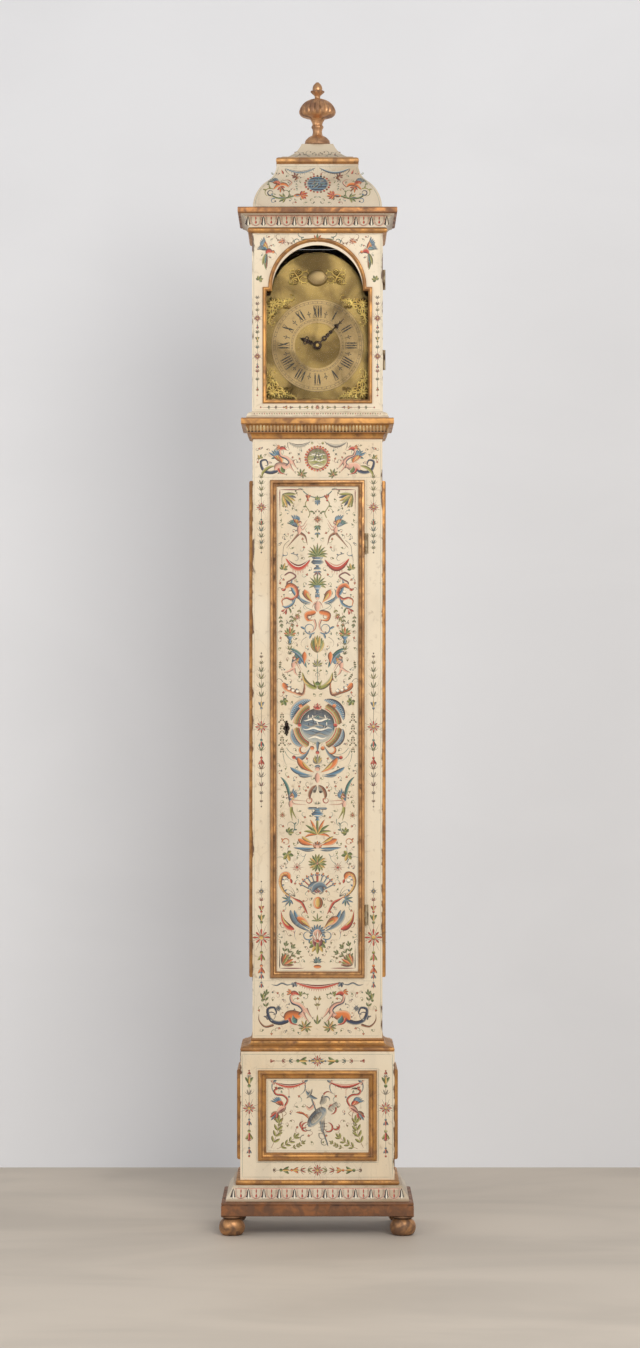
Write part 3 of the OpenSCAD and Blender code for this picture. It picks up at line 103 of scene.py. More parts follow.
# %% Node helper
class Graph:
    """Makes nodes in a material or a node group."""

    def __init__(self, tree):
        self.tree = tree

    def make(self, kind, sockets=(), **settings):
        made = self.tree.nodes.new(kind)
        for key, value in settings.items():
            setattr(made, key, value)
        for key, value in dict(sockets).items():
            self.put(value, made.inputs[key])
        return made

    def put(self, value, socket):
        """Links an output to a socket, or writes a plain value on it."""
        if isinstance(value, bpy.types.NodeSocket):
            self.tree.links.new(value, socket)
        else:
            socket.default_value = value

    def noise(self, where, scale, detail=4, distortion=0, output=0):
        return self.make("ShaderNodeTexNoise", {"Vector": where, "Scale": scale, "Detail": detail,
                         "Distortion": distortion}).outputs[output]

    def math(self, operation, a, b=0.0, clamp=False):
        return self.make("ShaderNodeMath", {0: a, 1: b}, operation=operation, use_clamp=clamp).outputs[0]

    plus = partialmethod(math, "ADD")
    minus = partialmethod(math, "SUBTRACT")
    times = partialmethod(math, "MULTIPLY")

    def step(self, value, low, high):
        """0 below low, 1 above high, smooth between them."""
        return self.make("ShaderNodeMapRange", {"Value": value, "From Min": low, "From Max": high},
                         interpolation_type="SMOOTHSTEP").outputs[0]

    def mix(self, factor, a, b):
        """Colour a where the factor is 0 and colour b where it is 1."""
        made = self.make("ShaderNodeMix", data_type="RGBA")
        for index, value in ((0, factor), (6, a), (7, b)):
            self.put(value, made.inputs[index])
        return made.outputs[2]

    def bump(self, height, strength, distance):
        sockets = {"Height": height, "Strength": strength, "Distance": distance}
        return self.make("ShaderNodeBump", sockets).outputs[0]

    def where(self, scale=(1, 1, 1)):
        """Object coordinates, stretched where a grain runs one way."""
        raw = self.make("ShaderNodeTexCoord").outputs["Object"]
        if scale == (1, 1, 1):
            return raw
        return self.make("ShaderNodeMapping", {"Vector": raw, "Scale": scale}).outputs[0]


def srgb(red, green, blue):
    """An eye's colour from 0 to 255 as the linear colour that a node wants."""
    return tuple(((c / 255 + 0.055) / 1.055) ** 2.4 if c > 10 else c / 3300 for c in (red, green, blue)) + (1,)


def shaded(colour, share):
    return tuple(c * share for c in colour[:3]) + (1,)


MATERIALS = {}


def material(name, slot):
    """An empty material with its shader; the record's slot is remembered for the pieces that wear it."""
    made = bpy.data.materials.new(name)
    made.use_nodes = True
    made.node_tree.nodes.clear()
    g = Graph(made.node_tree)
    shader = g.make("ShaderNodeBsdfPrincipled")
    g.make("ShaderNodeOutputMaterial", {"Surface": shader.outputs[0]})
    MATERIALS[name] = (made, slot)
    return g, shader


def feed(g, node, **inputs):
    for key, value in inputs.items():
        g.put(value, node.inputs[key.replace("_", " ")])


def group(name, inputs, outputs):
    """A node group with named inputs and outputs."""
    tree = bpy.data.node_groups.new(name, "ShaderNodeTree")
    for key, kind, value in inputs:
        tree.interface.new_socket(key, in_out="INPUT", socket_type="NodeSocket" + kind).default_value = value
    for key, kind in outputs:
        tree.interface.new_socket(key, in_out="OUTPUT", socket_type="NodeSocket" + kind)
    g = Graph(tree)
    return g, g.make("NodeGroupInput").outputs, g.make("NodeGroupOutput").inputs, tree


def use(g, tree, **inputs):
    """Places a group in a material."""
    made = g.make("ShaderNodeGroup", node_tree=tree)
    feed(g, made, **inputs)
    return made.outputs


# %% [markdown]
# ## Ageing, as shared groups
# Three hundred years leave the same marks on every surface: a fine net of age cracks, warm and grey
# clouds, and bare edges where hands and dusters have been. One more group makes the hollows darker,
# broken up by noise. Each is a group of nodes that several materials use with values of their own.

# %% Shared groups
# Crackle: cells whose borders are thin cracks, broken up so that the net is not regular
g, given, out, CRACKLE = group("Crackle", [("Scale", "Float", 60.0), ("Width", "Float", 0.03)],
                               [("Crack", "Float")])
place = g.where((1, 1, 0.55))
bent = g.make("ShaderNodeVectorMath", {0: place, 1: g.make("ShaderNodeVectorMath",
              {0: g.noise(place, 25, 3, output=1), "Scale": 0.02}, operation="SCALE").outputs[0]}).outputs[0]
cells = g.make("ShaderNodeTexVoronoi", {"Vector": bent, "Scale": given["Scale"]},
               feature="DISTANCE_TO_EDGE").outputs[0]
line = g.minus(1.0, g.math("DIVIDE", cells, given["Width"], True), True)
broken = g.step(g.noise(place, 9, 3), 0.42, 0.62)
g.put(g.times(line, broken), out["Crack"])

# Clouds: slow warm and grey changes over a whole board
g, given, out, CLOUDS = group("Clouds", [("Scale", "Float", 6.0)],
                              [("Warm", "Float"), ("Grey", "Float"), ("Speck", "Float")])
place = g.where()
g.put(g.step(g.noise(place, given["Scale"], 6, 0.6), 0.4, 0.7), out["Warm"])
g.put(g.step(g.noise(g.where((1, 1, 0.3)), 14, 8, 1.2), 0.5, 0.72), out["Grey"])
g.put(g.step(g.noise(place, 420, 3), 0.66, 0.74), out["Speck"])

# Arris: bare wood along the two upright front corners of a box, where it was knocked
g, given, out, ARRIS = group("Arris", [("Half", "Float", 0.1), ("Front", "Float", 0.0)],
                             [("Bare", "Float"), ("Rim", "Float")])
place = g.make("ShaderNodeSeparateXYZ", {0: g.where()}).outputs
gap = g.make("ShaderNodeCombineXYZ", {0: g.minus(given["Half"], g.math("ABSOLUTE", place[0])),
                                      1: g.minus(place[1], given["Front"])}).outputs[0]
away = g.make("ShaderNodeVectorMath", {0: gap}, operation="LENGTH").outputs["Value"]
chance = g.minus(g.noise(g.where((1, 1, 0.5)), 42, 7, 0.8), g.times(away, 34.0))
g.put(g.step(chance, 0.53, 0.56), out["Bare"])
g.put(g.step(chance, 0.46, 0.53), out["Rim"])

# Relief: reads the "relief" value that each mesh of ours carries, above 0 on crests and below 0 in hollows.
# Its second output only marks the hollows, broken up by noise, for the materials to darken.
g, given, out, RELIEF = group("Relief", [("Amount", "Float", 1.0), ("Scale", "Float", 60.0)],
                              [("Rubbed", "Float"), ("Hollow_dark", "Float")])
relief = g.make("ShaderNodeAttribute", attribute_name="relief").outputs["Fac"]
rough = g.times(g.minus(g.noise(g.where(), given["Scale"], 6, 0.5), 0.5), 1.3)
crest = g.plus(g.times(relief, given["Amount"]), rough)
hollow = g.plus(g.times(relief, g.times(given["Amount"], -1.0)), rough)
g.put(g.step(crest, 0.12, 0.5), out["Rubbed"])
g.put(g.step(hollow, 0.1, 0.55), out["Hollow_dark"])
print("groups:", [t.name for t in bpy.data.node_groups])

# %% [markdown]
# ## Cream ground
# The case is pine under gesso and an ivory-cream oil paint that has yellowed unevenly. The colour moves
# between a warm ivory and a greyer cream, fine cracks show dark, and a few specks have gone through.

# %% Cream paint
CREAM = srgb(225, 209, 181)


def cream_paint(name, slot, base, warm, crack_scale, node=None):
    """With a node named, the front corners of that box are worn through and its inside is bare wood."""
    g, shader = material(name, slot)
    clouds = use(g, CLOUDS, Scale=5.0)
    crack = use(g, CRACKLE, Scale=crack_scale, Width=0.03)["Crack"]
    marks = use(g, RELIEF, Amount=1.2, Scale=70.0)
    colour = g.mix(clouds["Warm"], base, warm)
    colour = g.mix(g.times(clouds["Grey"], 0.3), colour, srgb(192, 180, 158))
    colour = g.mix(g.times(crack, 0.16), colour, srgb(120, 98, 70))
    # Darker in the hollows, broken up by noise
    colour = g.mix(g.times(marks["Hollow_dark"], 0.6), colour, srgb(122, 100, 76))
    colour = g.mix(g.times(marks["Rubbed"], 0.45), colour, srgb(150, 118, 86))
    colour = g.mix(g.times(clouds["Speck"], 0.3), colour, srgb(110, 86, 60))
    if node:
        low, high = box(node)
        bare = use(g, ARRIS, Half=high[0] * MM, Front=low[1] * MM)
        colour = g.mix(g.times(bare["Rim"], 0.5), colour, srgb(140, 122, 100))
        colour = g.mix(bare["Bare"], colour, srgb(98, 70, 48))
        place = g.make("ShaderNodeSeparateXYZ", {0: g.where()}).outputs
        wide = g.step(g.math("ABSOLUTE", place[0]), high[0] * MM - 0.001, high[0] * MM - 0.003)
        deep = g.step(place[1], low[1] * MM + 0.002, low[1] * MM + 0.004)
        grain = g.mix(g.step(g.noise(g.where((9, 9, 0.5)), 12, 8, 1.5), 0.35, 0.65), srgb(140, 108, 72),
                      srgb(104, 78, 50))
        colour = g.mix(g.times(wide, deep), colour, grain)
    height = g.minus(g.times(g.noise(g.where((1, 1, 0.4)), 90, 5), 0.4), crack)
    feed(g, shader, Base_Color=colour, Roughness=g.plus(g.times(clouds["Grey"], 0.15), 0.42),
         Normal=g.bump(height, 0.35, 0.0004))


cream_paint("cream", "cream_paint", CREAM, srgb(217, 196, 162), 34.0)
for part, node in (("base", "base_box"), ("trunk", "trunk_carcase"), ("hood", "hood_carcase"),
                   ("hood_door", "hood_door"),
                   ("trunk_door", "trunk_door")):
    cream_paint("cream_" + part, "cream_paint", CREAM, srgb(219, 198, 165), 34.0, node)
# A darker cream for the bell, the cap, the frieze and the plinth ogee: partly age and dirt, partly painted shade on
# these turned and hollow faces
cream_paint("cream_aged_and_shaded", "cream_paint", srgb(206, 190, 164), srgb(178, 156, 126), 40.0)

# %% [markdown]
# ## Gilding
# Water gilding is leaf laid over a red-brown clay called bole. Where it is rubbed the bole shows, and
# the hollows are made nearly black. So gold, bole and a dark brown are three colours, and the crests and
# hollows choose between them; only the leaf is metallic.

# %% Gilding
def gilding(name, slot, gold, bole, rub, keep=0.5):
    g, shader = material(name, slot)
    marks = use(g, RELIEF, Amount=rub, Scale=45.0)
    clouds = use(g, CLOUDS, Scale=16.0)
    streak = g.step(g.noise(g.where((1, 1, 0.25)), 70, 6, 0.8), 0.5, 0.7)
    patch = g.step(g.noise(g.where(), 30, 7, 0.8), keep - 0.06, keep + 0.2)
    colour = g.mix(clouds["Warm"], gold, shaded(gold, 0.74))
    colour = g.mix(g.times(clouds["Grey"], 0.25), colour, srgb(128, 96, 64))
    worn = g.math("MAXIMUM", g.times(patch, 0.8), g.times(marks["Rubbed"], 0.7), True)
    colour = g.mix(worn, colour, g.mix(streak, bole, srgb(84, 52, 30)))
    # The hollows made nearly black, broken up by noise
    hollow_dark = g.times(marks["Hollow_dark"], 0.85)
    colour = g.mix(hollow_dark, colour, srgb(52, 34, 22))
    leaf = g.times(g.minus(1.0, g.math("MAXIMUM", worn, hollow_dark)), 0.75)
    feed(g, shader, Base_Color=colour, Metallic=leaf, Roughness=g.minus(0.62, g.times(leaf, 0.28)),
         Normal=g.bump(g.noise(g.where(), 160, 5), 0.25, 0.0006))


gilding("gilt", "gilding", srgb(200, 146, 84), srgb(124, 80, 46), 1.0, 0.52)
gilding("gilt_worn", "gilding", srgb(178, 124, 76), srgb(106, 68, 44), 1.2, 0.45)
gilding("gilt_board", "dark_wood", srgb(166, 112, 74), srgb(88, 60, 42), 1.2, 0.42)
gilding("gilt_dark", "dark_wood", srgb(208, 158, 112), srgb(106, 68, 48), 1.4, 0.47)
gilding("gilt_foot", "dark_wood", srgb(204, 150, 100), srgb(62, 42, 34), 1.5, 0.4)
gilding("gilt_pale", "gilding", srgb(206, 156, 100), srgb(134, 88, 50), 1.1, 0.5)
# The leaves' gold is paler and brighter than the rest: partly paler gilding, partly painted light, as they lean down
# and catch little of the lamps
gilding("gilt_leaf_painted_light", "gilding", srgb(250, 222, 168), srgb(150, 104, 66), 0.7, 0.66)

# %% [markdown]
# ## Metals, wood, glass and rope
# The dial is brass that has gone brown in clouds, and it and its ring are darkened further as painted shade
# of the hood. The mounts on it were gilt and stay bright, on a dark brass ground that is painted shade between
# their scrolls. The movement is plain brass, and the iron and the hands are nearly black.

# %% Metals
def metal(name, slot, bright, dull, roughness, cloud_scale, speck=0.3, metallic=0.9):
    g, shader = material(name, slot)
    clouds = use(g, CLOUDS, Scale=cloud_scale)
    marks = use(g, RELIEF, Amount=0.8, Scale=120.0)
    colour = g.mix(clouds["Warm"], bright, dull)
    colour = g.mix(g.times(clouds["Grey"], 0.45), colour, shaded(dull, 0.5))
    colour = g.mix(g.times(clouds["Speck"], speck), colour, srgb(52, 42, 30))
    # Darker in the hollows, broken up by noise
    colour = g.mix(g.times(marks["Hollow_dark"], 0.7), colour, srgb(58, 44, 24))
    feed(g, shader, Base_Color=colour, Metallic=metallic,
         Roughness=g.plus(g.times(clouds["Warm"], 0.2), roughness),
         Normal=g.bump(g.noise(g.where(), 500, 3), 0.12, 0.0002))


# The dial's and the ring's brass are darker than their patina alone: painted shade of the hood over the dial
metal("dial_brass", "dial_brass", srgb(150, 124, 74), srgb(104, 83, 50), 0.42, 12.0, 0.5)
metal("ring_brass", "dial_brass", srgb(166, 139, 97), srgb(132, 110, 76), 0.5, 16.0, 0.4)
metal("bright_brass", "brass", srgb(226, 196, 112), srgb(190, 154, 80), 0.34, 30.0, 0.15, 0.55)
# A dark brass ground under the mounts' relief: painted shade between their scrolls
metal("mount_painted_shade", "brass", srgb(116, 90, 46), srgb(82, 62, 34), 0.5, 30.0, 0.3)
metal("movement_brass", "brass", srgb(200, 166, 92), srgb(160, 126, 66), 0.35, 18.0, 0.3)
metal("painted_iron", "iron", srgb(176, 160, 132), srgb(98, 74, 56), 0.6, 60.0, 0.6)
metal("iron", "iron", srgb(66, 58, 52), srgb(44, 36, 32), 0.5, 40.0, 0.4)
metal("blued_steel", "steel", srgb(70, 56, 48), srgb(46, 36, 32), 0.4, 60.0, 0.3)
metal("plain_steel", "steel", srgb(150, 148, 146), srgb(112, 108, 104), 0.35, 60.0, 0.3)

# Oak: growth rings as a stretched noise along the upright grain
g, shader = material("oak", "bare_oak")
ring = g.noise(g.where((9, 9, 0.5)), 12, 8, 1.5)
pore = g.step(g.noise(g.where((60, 60, 2)), 9, 4), 0.56, 0.7)
colour = g.mix(g.step(ring, 0.35, 0.65), srgb(150, 118, 78), srgb(112, 84, 52))
colour = g.mix(g.times(pore, 0.6), colour, srgb(70, 50, 32))
colour = g.mix(g.times(use(g, CLOUDS, Scale=4.0)["Grey"], 0.5), colour, srgb(92, 78, 62))
feed(g, shader, Base_Color=colour, Roughness=0.72, Normal=g.bump(g.minus(ring, pore), 0.3, 0.0008))

# Glass: old crown glass, slightly wavy, so thin that light passes nearly straight
g, shader = material("glass", "glass")
feed(g, shader, Base_Color=(0.96, 0.98, 0.97, 1), Roughness=0.02, IOR=1.08, Transmission_Weight=1.0,
     Normal=g.bump(g.noise(g.where(), 14, 2), 0.04, 0.001))

# Rope: hemp fibres that run round the strands
g, shader = material("hemp", "hemp")
fibre = g.noise(g.where((1, 1, 0.5)), 900, 4, 1.0)
colour = g.mix(g.step(fibre, 0.35, 0.7), srgb(126, 104, 70), srgb(184, 160, 116))
feed(g, shader, Base_Color=colour, Roughness=0.85, Normal=g.bump(fibre, 0.5, 0.0004))
print("materials:", len(MATERIALS))

# %% [markdown]
# ## From lists of points to pieces
# Every piece is made from its own points, so one function turns points and faces into a finished object.
# It points the faces outwards, keeps edges sharp where the surface turns by more than an angle, and
# measures how the surface bends at each vertex. That measure is the "relief" the gilding reads.

# %% Piece helper
def mark_relief(mesh):
    """Stores the bend at each vertex: above 0 on a crest, below 0 in a hollow."""
    count = len(mesh.vertices)
    at = np.empty(count * 3, np.float32)
    mesh.vertices.foreach_get("co", at)
    at = at.reshape(-1, 3) / MM
    normal = np.empty(count * 3, np.float32)
    mesh.vertex_normals.foreach_get("vector", normal)
    normal = normal.reshape(-1, 3)
    edges = np.empty(len(mesh.edges) * 2, np.int32)
    mesh.edges.foreach_get("vertices", edges)
    a, b = edges.reshape(-1, 2).T
    along = at[b] - at[a]
    square = np.maximum((along ** 2).sum(1), 0.25)
    bend, number = np.zeros(count), np.zeros(count)
    np.add.at(bend, a, -(along * normal[a]).sum(1) / square)
    np.add.at(bend, b, (along * normal[b]).sum(1) / square)
    np.add.at(number, a, 1)
    np.add.at(number, b, 1)
    bend = np.clip(bend / np.maximum(number, 1) * 5, -1, 1)
    spread = bend.copy()
    np.add.at(spread, a, bend[b])
    np.add.at(spread, b, bend[a])
    spread /= number + 1
    mesh.attributes.new("relief", "FLOAT", "POINT").data.foreach_set("value", spread.astype(np.float32))


def finish_piece(mesh, name, finish, body, smooth=40):
    """Makes an object of a mesh, gives it its finish and lets it ride on its body."""
    work = bmesh.new()
    work.from_mesh(mesh)
    bmesh.ops.remove_doubles(work, verts=work.verts, dist=0.01 * MM)
    bmesh.ops.recalc_face_normals(work, faces=work.faces)
    work.to_mesh(mesh)
    work.free()
    mesh.polygons.foreach_set("use_smooth", [True] * len(mesh.polygons))
    mesh.set_sharp_from_angle(angle=math.radians(smooth))
    mark_relief(mesh)
    made, slot = MATERIALS[finish]
    mesh.materials.clear()
    mesh.materials.append(made)
    obj = add_object(name, mesh)
    if body:
        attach(obj, body)
    return obj


def mesh_of(name, points, faces):
    mesh = bpy.data.meshes.new(name)
    mesh.from_pydata([tuple(c * MM for c in p) for p in points], [], faces)
    return mesh


def piece(name, points, faces, finish, body, smooth=40):
    return finish_piece(mesh_of(name, points, faces), name, finish, body, smooth)


def grid_faces(rows, columns, wrap_rows=False, wrap_columns=False):
    """Faces of a net of points that was written row after row."""
    return [(r * columns + c, r * columns + (c + 1) % columns,
             (r + 1) % rows * columns + (c + 1) % columns, (r + 1) % rows * columns + c)
            for r in range(rows - (not wrap_rows)) for c in range(columns - (not wrap_columns))]


def tube_faces(rows, columns):
    """A net that closes on itself, with a face over each end."""
    last = (rows - 1) * columns
    return grid_faces(rows, columns, wrap_columns=True) + [tuple(range(columns))[::-1],
                                                           tuple(range(last, last + columns))]


def arc(x, y, r, start, end, steps, high=None):
    """Points on a circle, or on an oval of half widths r and high, between two angles."""
    turns = [math.radians(start + (end - start) * i / steps) for i in range(steps + 1)]
    return [(x + r * math.cos(t), y + (high or r) * math.sin(t)) for t in turns]


# %% [markdown]
# ## Mouldings that wrap three sides
# A case maker planes a moulding as a long stick and mitres it round the front corners. We do the same:
# a section, written outwards and upwards, is carried along the left side, the front and the right side,
# and at each corner it simply moves out both ways at once, which is a mitre.

# %% Wrapped mouldings
def wrap(section, half, front, back):
    """Points and faces of a closed section carried round three sides."""
    points = []
    for out, z in section:
        points += [(-half - out, back, z), (-half - out, front - out, z), (half + out, front - out, z),
                   (half + out, back, z)]
    faces = grid_faces(len(section), 4, wrap_rows=True)
    ends = [[r * 4 + column for r in range(len(section))] for column in (0, 3)]
    return points, faces + ends


base_low, base_high = box("base_box")
trunk_low, trunk_high = box("trunk_carcase")
hood_low, hood_high = box("hood_carcase")
BACK = base_high[1]
BASE_HALF, BASE_FRONT = base_high[0], base_low[1]
TRUNK_HALF, TRUNK_FRONT = trunk_high[0], trunk_low[1]
door_low, door_high = box("hood_door")
HOOD_HALF, HOOD_FRONT = door_high[0], door_low[1]


ON_BASE, ON_TRUNK = ("case", BASE_HALF, BASE_FRONT), ("case", TRUNK_HALF, TRUNK_FRONT)
ON_HOOD = ("hood", HOOD_HALF, HOOD_FRONT)
IN_WOOD = -12  # how far a moulding reaches into the board behind it


def moulding(name, section, finish, body, half, front, nodes=()):
    points, faces = wrap(section, half, front, BACK)
    obj = piece(name, points, faces, finish, body, 30)
    if nodes:
        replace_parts(obj, *nodes)


def levels(node, half):
    """A moulding's lowest and highest level, and how far it stands out from the box behind it."""
    low, high = box(node)
    return low[2], high[2], high[0] - half


def ogee(start, end, steps=14):
    """A curve that leaves one point and reaches the other level, hollow first and round after."""
    return [(start[0] + (end[0] - start[0]) * (3 * u * u - 2 * u ** 3), start[1] + (end[1] - start[1]) * u)
            for u in [i / steps for i in range(steps + 1)]]


z0, z1, out = levels("plinth_band", BASE_HALF)
moulding("plinth_band_gilt", [(IN_WOOD, z0 + 0.3)] + arc(out - 2, z0 + 2.3, 2, -90, 0, 4)
         + [(out, z1 - 9), (out - 1, z1 - 8)] + arc(out - 3.5, z1 - 3.5, 3.2, -20, 90, 8) + [(IN_WOOD, z1)],
         "gilt_board", *ON_BASE, ["plinth_band"])
z0, z1, out = levels("plinth_ogee", BASE_HALF)
OGEE = ogee((out - 1, z0 + 5), (17.5, z1 - 3), 18)
moulding("plinth_ogee_painted", [(IN_WOOD, z0), (out - 0.6, z0), (out, z0 + 0.8), (out, z0 + 4.2),
                                 (out - 0.6, z0 + 5)]
         + OGEE + [(16.5, z1 - 2.6), (16.5, z1), (IN_WOOD, z1)], "cream_aged_and_shaded", *ON_BASE, ["plinth_ogee"])
z0, z1, out = levels("plinth_bead", BASE_HALF)
r = (z1 - z0) / 2
moulding("plinth_bead_gilt", [(IN_WOOD, z0)] + arc(out - r, z0 + r, r, -90, 90, 14) + [(IN_WOOD, z1)],
         "gilt", *ON_BASE, ["plinth_bead"])
# Waist: a round nose, a step, a hollow and a small round
z0, z1, out = levels("waist_moulding", TRUNK_HALF)
moulding("waist_moulding_gilt", [(IN_WOOD, z0), (out - 1.5, z0)] + arc(out - 4.6, z0 + 4.6, 4.6, -60, 90, 12)
         + [(out - 6, z0 + 9.2), (out - 6, z0 + 10.6)] + arc(out - 6.2, z0 + 21.6, out - 9.6, 270, 180, 10, 11)
         + [(3.4, z0 + 22)] + arc(1.4, z0 + 24.8, 2.6, -70, 90, 10) + [(0, z1), (IN_WOOD, z1)],
         "gilt", *ON_TRUNK, ["waist_moulding"])
# Trunk cornice: a bead, a hollow, the seat of the leaf row and a band
z0, z1, out = levels("trunk_cornice", TRUNK_HALF)
LEAF_Z = z0 + 16
moulding("trunk_cornice_gilt", [(0, z0)] + arc(0.6, z0 + 1.6, 1.6, -90, 60, 6)
         + arc(9.1, z0 + 3.4, 7.5, 180, 90, 10, 10)
         + [(10.4, z0 + 14), (10.4, LEAF_Z - 0.4), (8.6, LEAF_Z), (10.6, LEAF_Z + 7), (16, LEAF_Z + 15.4)]
         + [(out - 5, LEAF_Z + 15.6)] + arc(out - 3, LEAF_Z + 18.6, 3, -90, 0, 6)
         + [(out, z1 - 3)] + arc(out - 2.4, z1 - 2.6, 2.4, 0, 90, 6) + [(0, z1)], "gilt", *ON_TRUNK,
         ["trunk_cornice"])
z0, z1, out = levels("hood_base_moulding", HOOD_HALF)
moulding("hood_base_painted", [(0, z0), (out - 0.5, z0), (out, z0 + 0.5), (out, z0 + 3), (out - 1, z0 + 3.6)]
         + arc(1.2, z0 + 4.2, out - 2.6, 0, 90, 10, z1 - z0 - 5.8) + [(1.2, z1), (0, z1)],
         "cream", *ON_HOOD, ["hood_base_moulding"])
# Hood cornice: a gilt bead, the painted hollow and a gilt band
z0, z1, out = levels("hood_cornice_frieze", HOOD_HALF)
FRIEZE = arc(out, z0, out - 7.7, 180, 90, 18, z1 - z0 - 2.6)
moulding("hood_frieze_painted", [(0, z0)] + FRIEZE + [(out, z1), (0, z1)], "cream_aged_and_shaded", *ON_HOOD,
         ["hood_cornice_frieze"])
foot, head, out = levels("hood_cornice_gilt", HOOD_HALF)
r = (z0 - foot) / 2
moulding("hood_bead_gilt", [(0, foot), (2.4, foot)] + arc(9.7 - r, foot + r, r, -80, 90, 12) + [(0, z0)],
         "gilt", *ON_HOOD, ["hood_cornice_gilt"])
moulding("hood_band_gilt", [(0, z1), (out - 6.5, z1)] + arc(out - 3.4, z1 + 3.4, 3.4, -90, 0, 7)
         + [(out, head - 2.6)] + arc(out - 2.4, head - 2.4, 2.4, 0, 90, 6) + [(0, head)], "gilt_worn", *ON_HOOD)

# %% [markdown]
# ## The caddy: bell, rim and cap
# The top is a box shaped like a bell. Its front and sides rise in one ogee and meet in hips, and the back
# is flat against the wall. The cap above is hollow on all four sides and carries the finial.

# %% Bell, rim and cap
def hipped(levels, half, front, back, four_sides=False):
    """Levels are (inset, height); every level is a rectangle, drawn in on three sides or on four."""
    points = []
    for inset, z in levels:
        rear = back - inset if four_sides else back
        points += [(-half + inset, rear, z), (-half + inset, front + inset, z), (half - inset, front + inset, z),
                   (half - inset, rear, z)]
    faces = grid_faces(len(levels), 4, wrap_columns=True)
    top = (len(levels) - 1) * 4
    return points, faces + [(3, 2, 1, 0), (top, top + 1, top + 2, top + 3)]


low, high = box("caddy_bell")
BELL_HALF, BELL_FRONT, BELL_Z, BELL_H = high[0], low[1], low[2], high[2] - low[2]
BELL_IN = 53.5
turn = 2 * math.atan(BELL_IN / BELL_H)
reach = BELL_H / math.sin(turn)
r_low, r_high = reach * 0.63, reach * 0.37
BELL = ([(r_low * (1 - math.cos(turn * i / 16)), r_low * math.sin(turn * i / 16)) for i in range(17)]
        + [(BELL_IN - r_high * (1 - math.cos(turn * (1 - i / 12))), BELL_H - r_high * math.sin(turn * (1 - i / 12)))
           for i in range(1, 13)])
points, faces = hipped([(x, BELL_Z + z) for x, z in BELL], BELL_HALF, BELL_FRONT, BACK)
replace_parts(piece("bell_painted", points, faces, "cream_aged_and_shaded", "hood", 50), "caddy_bell")
low, high = box("caddy_rim")
rim = ([(6, low[2]), (2.2, low[2]), (1.2, low[2] + 1.2), (2, low[2] + 2.4)]
       + arc(3.6, low[2] + 9, 3.6, 260, 90, 17, 6) + [(5, high[2])])
points, faces = hipped(rim, high[0], low[1], BACK)
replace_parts(piece("rim_gilt", points, faces, "gilt_pale", "hood", 30), "caddy_rim")
low, high = box("caddy_cap")
CAP_IN, FIRST_SLOPE = 45.5, 14
cap_h = high[2] - low[2]
sweep = 2 * (math.degrees(math.atan(cap_h / CAP_IN)) - FIRST_SLOPE)
cap_r = math.hypot(CAP_IN, cap_h) / (2 * math.sin(math.radians(sweep / 2)))
first = math.radians(FIRST_SLOPE)
CAP = [(cap_r * (math.sin(t) - math.sin(first)), cap_r * (math.cos(first) - math.cos(t)))
       for t in [math.radians(FIRST_SLOPE + sweep * i / 16) for i in range(17)]]
cap = [(0, low[2]), (0, low[2] + 2.6), (1.6, low[2] + 3.4)]
cap += [(max(x, 2.4), max(low[2] + z, low[2] + 3.6)) for x, z in CAP[1:]]
points, faces = hipped(cap, high[0], low[1], BACK, True)
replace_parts(piece("cap_painted", points, faces, "cream_aged_and_shaded", "hood", 50), "caddy_cap")
CAP_MIDDLE = (low[1] + BACK) / 2
print("bell", len(BELL), "levels, cap", len(cap))

# %% [markdown]
# ## Turned pieces
# The feet come off a lathe. A turned piece is a half section spun round an axis, with a flat face over each
# end, so the shape is closed.

# %% Turning
def turned(section, x, y, steps=48):
    """A half section of (radius, height) spun round an upright axis, with both ends closed."""
    points = [(x + r * math.cos(2 * math.pi * i / steps), y + r * math.sin(2 * math.pi * i / steps), z)
              for r, z in section for i in range(steps)]
    return points, tube_faces(len(section), steps)


def join(parts):
    """Several lists of points and faces as one."""
    points, faces = [], []
    for more_points, more_faces in parts:
        start = len(points)
        points += more_points
        faces += [tuple(i + start for i in face) for face in more_faces]
    return points, faces


low, high = box("bun_feet")
FOOT_R, FOOT_H = 29, high[2]
foot = ([(17, 0), (19, 0.8)] + arc(18, 18.4, 11, -60, 60, 15, 17.6) + [(20.2, 36.2), (18.4, 37.6),
        (19, 39), (23, 40)]
        + arc(23.4, 41.7, 1.6, -80, 80, 6) + [(23, FOOT_H)])
feet = [turned(foot, side * (high[0] - FOOT_R), end * (high[1] - FOOT_R)) for side in (-1, 1) for end in (-1, 1)]
points, faces = join(feet)
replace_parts(piece("bun_feet_turned", points, faces, "gilt_foot", "case", 35), "bun_feet")
print("feet:", len(feet))

# %% [markdown]
# ## Repeating a carving along a path
# Leaves on a cornice, lobes on a finial and the marks on a dial are one shape, repeated. Geometry Nodes
# do this well: the path is resampled to the spacing, the shape is placed on every point and turned along
# the path, and each copy is made slightly larger or smaller, as a carver's hand would.

